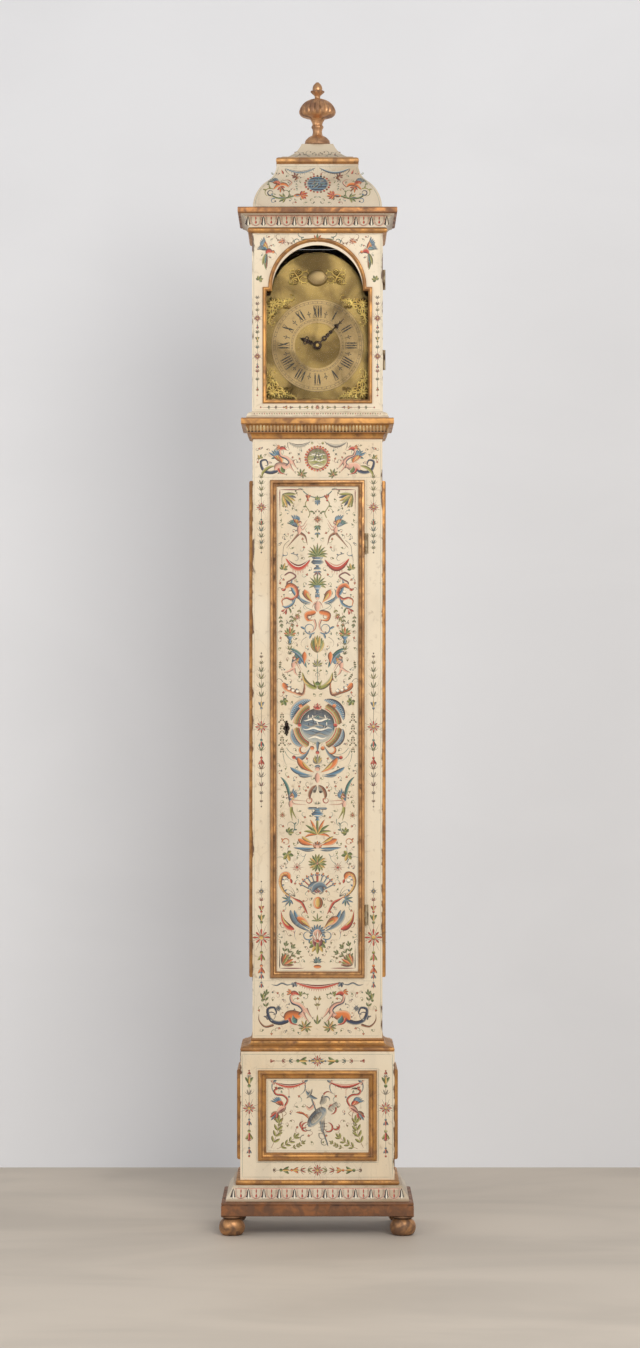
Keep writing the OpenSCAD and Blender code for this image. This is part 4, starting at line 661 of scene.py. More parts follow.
# %% Repeat tree
def repeat_tree(pivot):
    tree = bpy.data.node_groups.new("repeat_about_" + pivot, "GeometryNodeTree")
    tree.interface.new_socket("Geometry", in_out="INPUT", socket_type="NodeSocketGeometry")
    for key, kind, value in (("Shape", "Object", None), ("Spacing", "Float", 10 * MM), ("Unevenness", "Float", 0.0),
                             ("Seed", "Int", 1), ("Finish", "Material", None)):
        socket = tree.interface.new_socket(key, in_out="INPUT", socket_type="NodeSocket" + kind)
        if value is not None:
            socket.default_value = value
    tree.interface.new_socket("Geometry", in_out="OUTPUT", socket_type="NodeSocketGeometry")
    g = Graph(tree)
    given = g.make("NodeGroupInput").outputs
    points = g.make("GeometryNodeResampleCurve", {"Curve": given["Geometry"], "Length": given["Spacing"]},
                    mode="LENGTH").outputs[0]
    turn = g.make("FunctionNodeAlignRotationToVector", {"Vector": g.make("GeometryNodeInputTangent").outputs[0]},
                  axis="X", pivot_axis=pivot).outputs[0]
    vary = g.make("FunctionNodeRandomValue", {2: g.minus(1.0, given["Unevenness"]),
                  3: g.plus(1.0, given["Unevenness"]), "Seed": given["Seed"]}).outputs[1]
    shape = g.make("GeometryNodeObjectInfo", {"Object": given["Shape"]}).outputs["Geometry"]
    copies = g.make("GeometryNodeInstanceOnPoints", {"Points": points, "Instance": shape, "Rotation": turn,
                    "Scale": vary}).outputs[0]
    solid = g.make("GeometryNodeRealizeInstances", {0: copies}).outputs[0]
    done = g.make("GeometryNodeSetMaterial", {"Geometry": solid, "Material": given["Finish"]}).outputs[0]
    g.make("NodeGroupOutput", {0: done})
    return tree


REPEAT = {"Z": repeat_tree("Z"), "Y": repeat_tree("Y")}


def set_input(modifier, key, value):
    for item in modifier.node_group.interface.items_tree:
        if item.item_type == "SOCKET" and item.in_out == "INPUT" and item.name == key:
            modifier[item.identifier] = value


def path_object(runs, closed):
    curve = bpy.data.curves.new("path", "CURVE")
    curve.dimensions = "3D"
    for run in runs:
        spline = curve.splines.new("POLY")
        spline.points.add(len(run) - 1)
        spline.points.foreach_set("co", [c for p in run for c in (p[0] * MM, p[1] * MM, p[2] * MM, 1)])
        spline.use_cyclic_u = closed
    return add_object("path", curve)


def applied(obj, tree, **inputs):
    """Runs a tree on an object, returns the result as a plain mesh and removes the object."""
    modifier = obj.modifiers.new("tree", "NODES")
    modifier.node_group = tree
    for key, value in inputs.items():
        set_input(modifier, key, value)
    graph = bpy.context.evaluated_depsgraph_get()
    mesh = bpy.data.meshes.new_from_object(obj.evaluated_get(graph))
    bpy.data.objects.remove(obj)
    return mesh


def repeat(name, shape, runs, spacing, finish, body, closed=False, pivot="Z", unevenness=0.0):
    """One carved shape, given as points and faces, along each run of a path."""
    template = add_object("shape", mesh_of("shape", *shape))
    mesh = applied(path_object(runs, closed), REPEAT[pivot], Shape=template, Spacing=spacing * MM,
                   Unevenness=unevenness, Seed=7, Finish=MATERIALS[finish][0])
    bpy.data.objects.remove(template)
    finish_piece(mesh, name, finish, body)
    print(name, len(mesh.polygons), "faces")


def three_runs(half, front, z, gap):
    """The left side, the front and the right side, each drawn back from the corners by a gap."""
    return [[(-half, BACK - gap, z), (-half, front + gap, z)], [(-half + gap, front, z), (half - gap, front, z)],
            [(half, front + gap, z), (half, BACK - gap, z)]]


def lobe(width, height, proud, lean, thick=1.5, rows=8, columns=6):
    """A leaf that leans out as it rises: round at its foot, crowned across, with its back closed."""
    points = []
    for r in range(rows + 1):
        v = r / rows
        half = width / 2 * math.sin(math.pi * (0.06 + 0.72 * v)) ** 0.45
        for c in range(columns + 1):
            u = c / columns * 2 - 1
            crown = proud * (1 - abs(u) ** 2.2) * math.sin(math.pi * (0.1 + 0.8 * v)) ** 0.5
            points.append((u * half, -crown - lean * v, height * v))
    front = grid_faces(rows + 1, columns + 1)
    size = len(points)
    points += [(x, thick - lean * z / height, z) for x, y, z in points]
    back = [tuple(i + size for i in reversed(f)) for f in front]
    ring = ([c for c in range(columns + 1)] + [r * (columns + 1) + columns for r in range(1, rows + 1)]
            + [rows * (columns + 1) + c for c in range(columns - 1, -1, -1)]
            + [r * (columns + 1) for r in range(rows - 1, 0, -1)])
    walls = [(a, b, b + size, a + size) for a, b in zip(ring, ring[1:] + ring[:1])]
    return points, front + back + walls


# %% [markdown]
# ## A rail across the hood's back
# The backboard ends below the hood's roof, so the wall would shine through above the dial. An oak rail
# between the hood's sides closes the gap. It slides with the hood, clear of the backboard, and its lower
# edges are eased.

# %% Hood back rail
RAIL_T, WALL_T, ROOF_T, EASE, CLEAR = 12.0, 14.0, 12.0, 2.5, 2.0
BACK_IN, SIDE_IN, TOP_IN = 0.5, 0.4, 0.2  # behind the hood's back edge, into its sides and into its roof
rail_back, rail_low = hood_high[1] - BACK_IN, box("backboard")[1][2] + CLEAR
rail_front, rail_high = rail_back - RAIL_T, hood_high[2] - ROOF_T + TOP_IN
half = hood_high[0] - WALL_T + SIDE_IN
outline = [(rail_front, rail_low + EASE), (rail_front + EASE, rail_low), (rail_back - EASE, rail_low),
           (rail_back, rail_low + EASE), (rail_back, rail_high), (rail_front, rail_high)]
points = [(x, y, z) for x in (-half, half) for y, z in outline]
piece("hood_back_rail", points, tube_faces(2, len(outline)), "oak", "hood", 30)
print("rail", round(rail_high - rail_low), "mm high")

# %% [markdown]
# ## The carved leaf row
# Under the hood runs a row of small upright leaves, carved and gilt, with a dark strip behind them that is a
# painted shadow, so the gaps between them read dark. Their gold is made brighter as painted light. One
# leaf leans out as it rises, and the row is set 7.6 mm apart, each leaf a little larger or smaller.

# %% Leaf row
LEAF_W, LEAF_H, LEAF_PROUD, LEAF_LEAN, LEAF_PITCH = 6.4, 15, 2.6, 5.2, 7.6
LEAF_FOOT, SHADOW_STRIP_T = 9.2, 1.2  # how far the leaves' feet stand out, and the dark strip behind them
near, far = LEAF_FOOT + 0.2 - SHADOW_STRIP_T, LEAF_FOOT + 0.2
# The strip behind the leaves is dark as a painted shadow between them
moulding("cornice_ground", [(near, LEAF_Z - 0.6), (far, LEAF_Z - 0.6), (far, LEAF_Z + 15.6), (near, LEAF_Z + 15.6)],
         "iron", *ON_TRUNK)
# The leaves wear the brightened gold, which is partly painted light
repeat("cornice_leaves", lobe(LEAF_W, LEAF_H, LEAF_PROUD, LEAF_LEAN),
       three_runs(TRUNK_HALF + LEAF_FOOT, TRUNK_FRONT - LEAF_FOOT, LEAF_Z + 0.3, 5), LEAF_PITCH,
       "gilt_leaf_painted_light", "case",
       unevenness=0.05)

# %% [markdown]
# ## Frames
# An applied frame is a moulding whose path closes: a rectangle on the panels, and round the glass a shape
# with square shoulders and an arch. The section has its own "in" and "proud". At each corner of the path the
# point moves along both sides' normals at once, and on the arch it moves along the radius.

# %% Closed frames
def inset(path, by):
    """A closed flat path, anticlockwise, moved inwards with mitred corners."""
    moved = []
    for i, here in enumerate(path):
        before, after = path[i - 1], path[(i + 1) % len(path)]
        d0 = np.array(here) - before
        d1 = np.array(after) - here
        d0, d1 = d0 / np.hypot(*d0), d1 / np.hypot(*d1)
        n0, n1 = np.array((-d0[1], d0[0])), np.array((-d1[1], d1[0]))
        moved.append(tuple(np.array(here) + (n0 + n1) * by / (1 + float(n0 @ n1))))
    return moved


def framed(path, section, place):
    """A closed section (inwards, proud) carried round the path; place turns flat x, z and proud into a point."""
    points = []
    for inward, proud in section:
        points += [place(x, z, proud) for x, z in inset(path, inward)]
    return points, grid_faces(len(section), len(path), wrap_rows=True, wrap_columns=True)


def rectangle(x0, z0, x1, z1):
    return [(x0, z0), (x1, z0), (x1, z1), (x0, z1)]


def frame_section(member, proud):
    """A fillet, a rounded crest, a hollow and a small inner bead; half a millimetre goes under the wood."""
    crest = member * 0.26
    hollow = member * 0.3
    return ([(0, 0.02), (0, proud - crest)] + arc(crest, proud - crest, crest, 180, 90, 6)[1:]
            + [(crest * 1.7, proud)]
            + arc(crest * 1.7 + hollow, proud, hollow, 195, 270, 5, proud * 0.62)
            + [(member * 0.8, proud * 0.38), (member * 0.84, proud * 0.5), (member * 0.92, proud * 0.48),
               (member, proud * 0.2), (member, 0.02)])


def on_front(y):
    return lambda x, z, proud: (x, y - proud, z)


def on_side(x, side):
    return lambda u, z, proud: (side * (x + proud), u, z)


def frames(name, parts, finish, body, nodes):
    points, faces = join(parts)
    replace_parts(piece(name, points, faces, finish, body, 30), *nodes)


low, high = box("trunk_door_frame")
DOOR = (low[0], low[2], high[0], high[2])
DOOR_FACE = box("trunk_door")[0][1]
proud = DOOR_FACE - low[1]
LIP = 14.5
frames("door_frame_gilt", [framed(rectangle(*DOOR), frame_section(LIP, proud), on_front(DOOR_FACE))], "gilt_pale",
       "trunk_door", ["trunk_door_frame"])
low, high = box("trunk_side_frames")
frames("side_frames_gilt", [framed(rectangle(low[1], low[2], high[1], high[2]),
       frame_section(LIP, high[0] - TRUNK_HALF), on_side(TRUNK_HALF, side)) for side in (-1, 1)], "gilt", "case",
       ["trunk_side_frames"])
low, high = box("base_panel_frames")
BASE_MEMBER, PANEL_HALF, SIDE_FRONT, SIDE_BACK = 18.5, 133.5, -64, 111
BASE_PANEL = (-PANEL_HALF, low[2], PANEL_HALF, high[2])
section = frame_section(BASE_MEMBER, high[0] - BASE_HALF)
frames("base_frames_gilt", [framed(rectangle(*BASE_PANEL), section, on_front(BASE_FRONT))]
       + [framed(rectangle(SIDE_FRONT, low[2], SIDE_BACK, high[2]), section, on_side(BASE_HALF, side))
          for side in (-1, 1)], "gilt", "case", ["base_panel_frames"])


def arched_path(half, low, spring, radius, steps=40):
    """The glass outline: a rectangle with square shoulders and an arch, anticlockwise."""
    return [(-half, low), (half, low), (half, spring)] + arc(0, spring, radius, 0, 180, steps) + [(-half, spring)]


low, high = box("hood_door_moulding")
MEMBER, ARCH_R = 8.0, 102.6
SIGHT, SILL = high[0] - MEMBER, low[2] + MEMBER
SPRING = high[2] - MEMBER - ARCH_R
proud = HOOD_FRONT - low[1]
section = ([(0, 0.02), (0, proud - 3.4)] + arc(3.4, proud - 3.4, 3.4, 180, 50, 8)[1:]
           + [(6.2, proud - 2), (6.6, proud - 3), (7.4, proud - 3.2), (8.2, proud - 4.4), (8.5, 0),
              (8.5, -6.4), (7.6, -6.4)])
frames("glazing_moulding_gilt", [framed(arched_path(high[0], low[2], SPRING + MEMBER, ARCH_R + MEMBER), section,
       on_front(HOOD_FRONT))], "gilt", "hood_door", ["hood_door_moulding"])
print("glass", round(2 * SIGHT), "mm wide, its arch springs at", round(SPRING))

# %% [markdown]
# ## Finial
# The finial is turned, then carved: fluted leaves round the cup and gadroons over its crown, with an acorn
# above. A lathe section gives the body, and the gadroons push the radius in and out as the angle turns.

# %% Finial
low, high = box("finial")
FINIAL_R, FINIAL_H = high[0], high[2] - low[2]
k = FINIAL_H / 145
half_section = ([(0.69, 0), (0.7, 2), (0.7, 5), (0.68, 7), (0.67, 10), (0.6, 14), (0.5, 18),
                 (0.42, 20), (0.29, 22.4),
                 (0.26, 27), (0.25, 32), (0.27, 37), (0.31, 39), (0.33, 42), (0.31, 45), (0.27, 46.4), (0.28, 50),
                 (0.32, 54), (0.4, 60), (0.5, 62.4), (0.66, 63.5), (0.84, 66), (0.95, 69.5), (0.995, 74), (1.0, 78)]
                + arc(0, 75, 1, 12, 78, 11, 32 / math.sin(math.radians(80)))
                + [(0.15, 108), (0.15, 112), (0.17, 114), (0.29, 118.4), (0.38, 122), (0.39, 123.6), (0.36, 125),
                   (0.265, 126.4), (0.27, 129), (0.265, 132), (0.24, 136), (0.2, 139),
                   (0.13, 142.4), (0.07, 144.6)])
steps, points = 120, []
for r, z in half_section:
    # Where the gadroons, the cup's flutes and the leaves under the acorn begin and end
    crowned, cupped, leafed = min(1, max(0, (z - 66) / 6)) * (z < 108), (12 < z < 63) * (r > 0.3), 117 < z < 126
    for i in range(steps):
        turn = 2 * math.pi * i / steps
        share = r * (1 + crowned * 0.075 * (abs(math.cos(turn * 10)) ** 0.6 - 1)
                     + cupped * 0.03 * (abs(math.cos(turn * 6)) - 1) + leafed * 0.035 * (math.cos(turn * 9) - 1))
        points.append((FINIAL_R * share * math.cos(turn), CAP_MIDDLE + FINIAL_R * share * math.sin(turn),
                       low[2] + k * z))
faces = tube_faces(len(half_section), steps)
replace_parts(piece("finial_carved", points, faces, "gilt_dark", "hood", 50), "finial")
print("finial", len(points), "points")

# %% [markdown]
# ## Painting with strokes
# The decoration is grotesque work: leaf scrolls, urns, swags, birds and beasts in thin ink outlines with
# vermilion, orange, blue and green. A painter makes all of it from one movement, a brush stroke that swells
# and tapers, so that is all our brush can do. A stroke is a path of complex numbers, x + z·i in millimetres,
# and a width along it. It is laid as a ribbon of paint a tenth of a millimetre thick.
#
# The ribbon's UV map carries its colour: u names the pigment and the place across the stroke, darker on one
# edge and lighter on the other, and v fades it, from dark at 0 to nearly the ground's cream at 1.

# %% Paint
PIGMENTS = {"ink": (50, 42, 36), "red": (186, 66, 46), "orange": (212, 118, 58), "yellow": (206, 166, 84),
            "blue": (92, 128, 148), "slate": (106, 122, 130), "navy": (50, 62, 82), "green": (98, 116, 58),
            "olive": (146, 142, 66), "teal": (70, 116, 108), "flesh": (220, 166, 140), "brown": (136, 84, 54),
            "cream": (240, 228, 204), "plum": (138, 74, 70), "gold": (190, 150, 74), "grey": (150, 142, 126)}
NAMES = list(PIGMENTS)
g, shader = material("paint", "cream_paint")
uv = g.make("ShaderNodeSeparateXYZ", {0: g.make("ShaderNodeUVMap", uv_map="OFBake").outputs[0]}).outputs
ramp = g.make("ShaderNodeValToRGB", {"Fac": uv[0]})
ramp.color_ramp.interpolation = "CONSTANT"
while len(ramp.color_ramp.elements) < len(NAMES):
    ramp.color_ramp.elements.new(0.5)
for i, name in enumerate(NAMES):
    ramp.color_ramp.elements[i].position = i / len(NAMES)
    ramp.color_ramp.elements[i].color = srgb(*PIGMENTS[name])
across = g.math("FRACT", g.times(uv[0], len(NAMES)))
colour = g.mix(g.times(g.step(across, 0.55, 0.15), 0.8), ramp.outputs[0], srgb(66, 52, 44))
colour = g.mix(g.times(g.step(across, 0.6, 0.88), 0.55), colour, srgb(244, 226, 190))
colour = g.mix(g.times(g.step(uv[1], 0.45, 0.0), 0.8), colour, srgb(48, 42, 38))
colour = g.mix(g.times(g.step(uv[1], 0.5, 1.0), 0.92), colour, CREAM)
feed(g, shader, Base_Color=colour, Roughness=0.5)


def swell(s):
    return np.sin(np.pi * s) ** 0.7


def taper(s):
    return (1 - s) ** 0.75 * np.minimum(1, s / 0.05 + 0.3)


def even(s):
    return np.minimum(1, np.minimum(s, 1 - s) / 0.04 + 0.15)


def drop(s):
    return np.sin(np.pi * s ** 1.7) ** 0.75


def bud(s):
    return np.sin(np.pi * s ** 0.55) ** 0.8


def disc(s):
    return np.sqrt(np.maximum(0, 1 - (2 * s - 1) ** 2))


def toward(heading):
    """A step of 1 mm at a heading in degrees, or several at several headings."""
    return np.exp(1j * np.radians(heading))


def heading_at(path, i):
    return math.degrees(np.angle(path[i + 1] - path[i]))


def curl(start, heading, length, turn=0.0, tight=1.0):
    """A path that leaves start at a heading in degrees and turns; with tight above 1 it winds up at its end."""
    steps = int(min(40, max(7, length / 3 + abs(turn) / 14)))
    s = np.linspace(0, 1, steps + 1)
    angle = np.radians(heading + turn * s ** tight)
    return start + np.concatenate([[0], np.cumsum(np.exp(0.5j * (angle[1:] + angle[:-1])))]) * length / steps


def spline(*points, steps=24):
    """A smooth path through a few points, by Catmull-Rom."""
    p = np.array([2 * points[0] - points[1], *points, 2 * points[-1] - points[-2]], complex)
    t = np.linspace(0, len(points) - 1, steps + 1)
    i = np.minimum(t.astype(int), len(points) - 2)
    f = t - i
    a, b, c, d = p[i], p[i + 1], p[i + 2], p[i + 3]
    return 0.5 * (2 * b + (c - a) * f + (2 * a - 5 * b + 4 * c - d) * f ** 2 + (3 * b - a - 3 * c + d) * f ** 3)


class Brush:
    """Paints one surface. place(x, y, lift) gives a point of the surface, lift millimetres off it."""

    def __init__(self, place, seed=1):
        self.place, self.both = place, True
        self.random = random.Random(seed)
        self.points, self.faces, self.marks, self.laid = [], [], [], set()
        self.taken, self.coats = set(), 0

    def is_new(self, path, width, level):
        """False where the same stroke lies already: a motif on the middle line is its own mirror image."""
        ends = sorted((round(p.real + 0.013, 1), round(p.imag + 0.013, 1)) for p in (path[0], path[-1]))
        middle = path[len(path) // 2]
        key = (*ends, round(middle.real + 0.013, 1), round(width, 1), level)
        fresh = key not in self.laid
        self.laid.add(key)
        return fresh

    def lay(self, path, width, pigment="ink", shape=swell, level=1, shade=0.5):
        """One stroke, and its mirror image while self.both is set."""
        s = np.linspace(0, 1, len(path))
        half = np.maximum(width / 2 * shape(s), 0.06)
        fade = shade + 0.1 * (self.random.random() - 0.5)
        lean = NAMES.index(pigment)
        columns = [(lean + side) / len(NAMES) for side in (0.15, 0.2, 0.8, 0.85)]
        for copy in ([path, -path.conj()] if self.both else [path]):
            if not self.is_new(copy, width, level):
                continue
            along = np.gradient(copy)
            normal = 1j * along / np.maximum(np.abs(along), 1e-6)
            self.taken |= {(int(p.real // 4), int(p.imag // 4)) for p in copy}
            start = len(self.points)
            # No two strokes share a plane, or they would fight where they cross
            self.coats += 1
            up = level * 0.07 + 0.0022 * (self.coats % 31)
            for row, (p, n, h) in enumerate(zip(copy, normal, half)):
                grain = fade + 0.16 * noise.noise(Vector((p.real * 0.21, p.imag * 0.21, lean)))
                for (out, lift), column in zip(((h + 0.12, -0.02), (h, up), (-h, up), (-h - 0.12, -0.02)),
                                               columns):
                    self.points.append(self.place((p + n * out).real, (p + n * out).imag, lift))
                    self.marks.append((column, min(0.98, max(0.02, grain))))
                if row:
                    here = start + 4 * row
                    self.faces += [(here + c, here + c + 1, here + c - 3, here + c - 4) for c in range(3)]

    def form(self, path, width, pigment, shape=swell, level=3, shade=0.5, outline=0.72):
        """A painted shape: ink below, showing as an outline, and colour above."""
        self.lay(path, width + 2 * outline, "ink", shape, level - 1, 0.42)
        self.lay(path, width, pigment, shape, level, shade)

    def line(self, path, width=0.9, pigment="ink", level=1, shade=0.5):
        self.lay(path, width, pigment, even, level, shade)

    def dot(self, at, r, pigment="red", level=5, outline=0.5):
        count = 7 + 2 * int(r / 3)
        path = np.linspace(at - r, at + r, count)
        if outline:
            self.lay(np.linspace(at - r - outline, at + r + outline, count), 2 * (r + outline),
                     "ink", disc, level - 1)
        self.lay(path, 2 * r, pigment, disc, level, 0.55)

    def leaf(self, at, heading, length, width, bend=0.0, pigment="green", level=3, shade=0.5, vein=True):
        path = curl(at, heading, length, bend)
        self.form(path, width, pigment, level=level, shade=shade)
        if vein and width > 3:
            self.lay(path[:-2], 0.5, "ink", taper, level + 1, 0.6)

    def fan(self, at, heading, spread, count, length, width, pigments, bend=0.0, fall=0.35, level=3):
        """Leaves that open from one point, the middle one longest and laid last."""
        order = sorted(range(count), key=lambda i: -abs(i - (count - 1) / 2))
        for i in order:
            u = (2 * i / (count - 1) - 1) if count > 1 else 0
            reach = length * (1 - fall * abs(u) ** 1.5)
            self.leaf(at, heading + spread / 2 * u, reach, width, bend * u, pigments[i % len(pigments)], level)

    def star(self, at, r, petals="red", rays="ink", heart="yellow", count=8):
        for i in range(2 * count):
            turn = 360 * i / (2 * count) + 90
            if i % 2:
                self.lay(curl(at, turn, r * 1.35), 1.1, rays, taper, 1)
            else:
                self.form(curl(at + 0.1 * r * toward(turn), turn, r * (0.62 + 0.12 * (i % 4 == 0))), r * 0.17,
                          petals, drop, outline=0.45)
        self.dot(at, r * 0.2, heart, 5, 0.4)

    def bell(self, at, heading, size, pigment="green", tip="red"):
        """A bellflower: two outer petals that curl away, one between, and a small cup."""
        for side in (-1, 1):
            self.form(curl(at, heading + 12 * side, size, 40 * side, 2), size * 0.22, pigment, drop)
        self.form(curl(at, heading, size * 1.05), size * 0.2, tip, swell, 4)
        self.dot(at, size * 0.16, pigment)

    def scroll(self, at, heading, length, turn, pigment="green", width=2.2, leaves=3, tight=2.2, tip="red"):
        """A stem that winds up into a spiral, with leaflets along it and a berry at its heart."""
        path = curl(at, heading, length, turn, tight)
        self.form(path, width, pigment, taper, 2, outline=0.4)
        way = 1 if turn > 0 else -1
        for k in range(leaves):
            i = int(len(path) * (0.12 + 0.5 * k / max(leaves, 1)))
            ahead = heading_at(path, i)
            self.leaf(path[i], ahead - way * 38, length * 0.17, length * 0.05, -way * 40, pigment, 3, vein=False)
        if tip:
            self.dot(path[-1], width * 0.7, tip)
        return path

    def tendril(self, at, heading, length, turn, width=0.9, tight=2.0, pigment="ink"):
        self.lay(curl(at, heading, length, turn, tight), width, pigment, taper, 1)

    def swag(self, a, b, sag, pigment="red", drips=9, thick=0.55):
        """A cloth hung between two points: thin at its ends, with drips along its lower edge."""
        x = np.linspace(0, 1, 17)
        hang = a + (b - a) * x - 1j * sag * (1 - thick / 2) * np.sin(np.pi * x)
        self.form(hang, sag * thick, pigment, swell, 3)
        self.lay(hang + 0.12j * sag, sag * 0.07, "cream", swell, 4, 0.5)
        for k in range(1, drips):
            u = k / drips
            foot = a + (b - a) * u - 1j * sag * math.sin(math.pi * u)
            self.lay(curl(foot + 0.4j, -90, sag * (0.2 + 0.16 * (k % 2))), 1.0, pigment, drop, 2)

    def vase(self, at, height, silhouette, pigment="blue", bands=("navy",)):
        """A pot whose half widths, as shares of its height, are read from foot to lip."""
        s = np.linspace(0, 1, 15)
        shape = np.interp(s, np.linspace(0, 1, len(silhouette)), silhouette)
        path = at + 1j * height * s
        self.form(path, 2 * height, pigment, lambda t: np.interp(t, s, shape), 4, 0.55)
        for k, band in enumerate(bands):
            share = (k + 1) / (len(bands) + 1)
            middle, half = at + 1j * height * share, height * float(np.interp(share, s, shape))
            self.line(np.linspace(middle - half, middle + half, 5), height * 0.07, band, 6)

    def wing(self, at, heading, length, way, pigments=("orange", "yellow", "blue")):
        """A wing that opens from its strong front edge: long quills, then coverts; way is 1 or -1."""
        for k in range(6):
            self.leaf(at + 0.04 * k * length * toward(heading), heading + way * (6 + 11 * k),
                      length * (1 - 0.09 * k), length * 0.13, -way * 26, pigments[2], 2,
                      0.46 + 0.08 * (k % 2), vein=False)
        for k in range(4):
            self.leaf(at, heading + way * (3 + 13 * k), length * (0.66 - 0.07 * k), length * 0.16, -way * 20,
                      pigments[k % 2], 4, vein=False)
        self.lay(curl(at, heading - way * 3, length, -way * 16), 1.1, "ink", taper, 6, 0.35)

    def limb(self, points, width, pigment="flesh", level=4, shape=taper):
        self.form(spline(*points, steps=12), width, pigment, shape, level, 0.55, 0.45)

    def room(self, at, r):
        """True where no stroke lies nearer than r; strokes are looked up in squares of 4 mm."""
        x, z, reach = int(at.real // 4), int(at.imag // 4), int(r / 4) + 1
        return not any((x + i, z + j) in self.taken for i in range(-reach,
                reach + 1) for j in range(-reach, reach + 1)
                       if math.hypot(i, j) * 4 < r)

    def fill(self, x0, z0, x1, z1, r=6.0, tries=400):
        """Fills the empty places of a panel with tendrils, sprigs and buds, as the painter did last."""
        for _ in range(tries):
            at = complex(self.random.uniform(x0, x1), self.random.uniform(z0, z1))
            if not self.room(at, r):
                continue
            heading, way = self.random.uniform(0, 360), self.random.choice((-1, 1))
            kind = self.random.random()
            stem = curl(at - 0.4 * r * toward(heading), heading, r * 2.7,
                        way * self.random.uniform(180, 330), 1.7)
            self.lay(stem, 1.2, self.random.choice(("ink", "teal", "green", "plum")), taper, 1, 0.5)
            if kind < 0.5:
                for k in (3, 5, 7):
                    if k < len(stem):
                        self.leaf(stem[k - 1], heading + way * (30 * k - 60), r * 0.55, r * 0.16, 20 * way,
                                  self.random.choice(("green", "olive", "teal")), 2, vein=False)
            elif kind < 0.75:
                self.fan(stem[0], heading + 180, 110, 3, r * 0.75, r * 0.22, ("red", "orange"), level=2)
            else:
                self.dot(stem[-1], 1.1, self.random.choice(("red", "slate", "orange")), 2, 0.35)
                self.leaf(stem[2], heading - 50 * way, r * 0.6, r * 0.18, 0, "slate", 2, vein=False)


# %% [markdown]
# ## Motifs made of strokes
# The same few creatures and plants come back all over the case. Each is a short list of strokes round a
# point, so that it can be painted at any size and on either side.

# %% Motifs
def chain(b, start, heading, items):
    """Flowers threaded on a line; the words of an item are its distance, kind, size and pigment."""
    items = [item.split() for item in items.split(",")]
    items = [(float(distance), kind, float(size), pigment) for distance, kind, size, pigment in items]
    way = toward(heading)
    b.line(np.linspace(start + way * items[0][0], start + way * items[-1][0], 12), 0.7, "ink", 1, 0.52)
    for distance, kind, size, pigment in items:
        at = start + way * distance
        if kind == "star":
            b.star(at, size, pigment)
        elif kind == "bell":
            b.bell(at, heading, size, pigment)
        elif kind == "cup":
            b.bell(at, heading + 180, size, pigment, "yellow")
        elif kind == "dot":
            b.dot(at, size, pigment)
        else:
            for side in (-1, 1):
                b.leaf(at, heading + 180 - 34 * side, size, size * 0.13, 26 * side, pigment, vein=False)
                b.tendril(at, heading + 180 - 66 * side, size * 1.1, 50 * side, 1.1)
            b.tendril(at, heading + 180, size * 0.8, 0, 1.1)


def spray(b, at, heading, length, turn=20, pigment="olive", pairs=4, berry=None):
    """A bent stem with leaves in pairs."""
    path = curl(at, heading, length, turn)
    b.line(path, 0.8, "brown", 2)
    for k in range(pairs):
        i = int((len(path) - 2) * (k + 1) / pairs)
        ahead = heading_at(path, i)
        for side in (-1, 1):
            b.leaf(path[i], ahead + 42 * side, length * 0.26, length * 0.075, -12 * side, pigment, vein=False)
    b.leaf(path[-1], heading + turn, length * 0.26, length * 0.08, 0, pigment, vein=False)
    if berry:
        b.dot(path[-1], length * 0.05, berry)


def agave(b, at, length, pigments=("olive", "green"), count=11, spread=150, tips="red"):
    for k in range(count):
        u = 2 * k / (count - 1) - 1
        path = curl(at, 90 - spread / 2 * u, length * (1 - 0.25 * abs(u)), -50 * u, 1.5)
        b.form(path, length * 0.13, pigments[k % len(pigments)], level=2 + k % 2, outline=0.4)
        if tips and k % 2:
            b.dot(path[-1], 0.8, tips, 4, 0)


def winged_figure(b, at, size, fur, legs, wings, reach):
    """A small flying figure, as the style has by the dozen; the head is a plain oval under hair."""
    b.wing(at + size * (-0.1 + 0.2j), wings[0], size * 0.8, -1)
    b.wing(at + size * (-0.1 + 0.15j), wings[1], size * 0.7, -1, ("blue", "slate", "teal"))
    b.limb([at - 0.3j * size, at, at + size * (0.02 + 0.3j)], size * 0.26, shape=swell)
    for hx, hz, fx, fz in legs:
        b.limb([at + size * (0.02 - 0.2j), at + size * (hx + 1j * hz), at + size * (fx + 1j * fz)],
               size * 0.17, fur)
    for raise_hand in (0.0, -0.22):
        b.limb([at + 0.2j * size, at + size * (0.22 + 1j * (0.2 + raise_hand)),
                at + size * (reach[0] + 1j * (reach[1] + raise_hand))],
               size * 0.09, level=5)
    b.dot(at + size * (0.04 + 0.42j), size * 0.1, "flesh", 6)
    b.lay(curl(at + size * (0.12 + 0.5j), 170, size * 0.24, 80), size * 0.11, "brown", swell, 8)


def serpent(b, points, width, pigments=("orange", "yellow"), pearl=None, fins=4, head=True):
    """A long body that tapers, banded and finned along its back."""
    path = spline(*points, steps=30)
    b.form(path, width, pigments[0], lambda s: np.clip(1.15 - s, 0.1, 1) * np.minimum(1, s * 8 + 0.4), 3)
    b.lay(path[3:-3], width * 0.36, pigments[1], swell, 5, 0.55)
    for k in range(5, len(path) - 6, 3):
        way = path[k + 1] - path[k]
        way /= abs(way)
        b.lay(np.linspace(path[k] - 0.32j * way * width, path[k] + 0.32j * way * width, 4), 0.55,
              "ink", swell, 6, 0.5)
    for k in range(fins):
        i = 5 + k * 4
        way = heading_at(path, i)
        b.leaf(path[i], way + 115, width * 0.9, width * 0.28, -40, "blue", 2, vein=False)
    if pearl:
        b.dot(pearl, width * 0.42, "cream")
    if head:
        b.leaf(path[0], math.degrees(np.angle(path[0] - path[2])) + 20, width * 1.1, width * 0.5, -50,
               "red", vein=False)


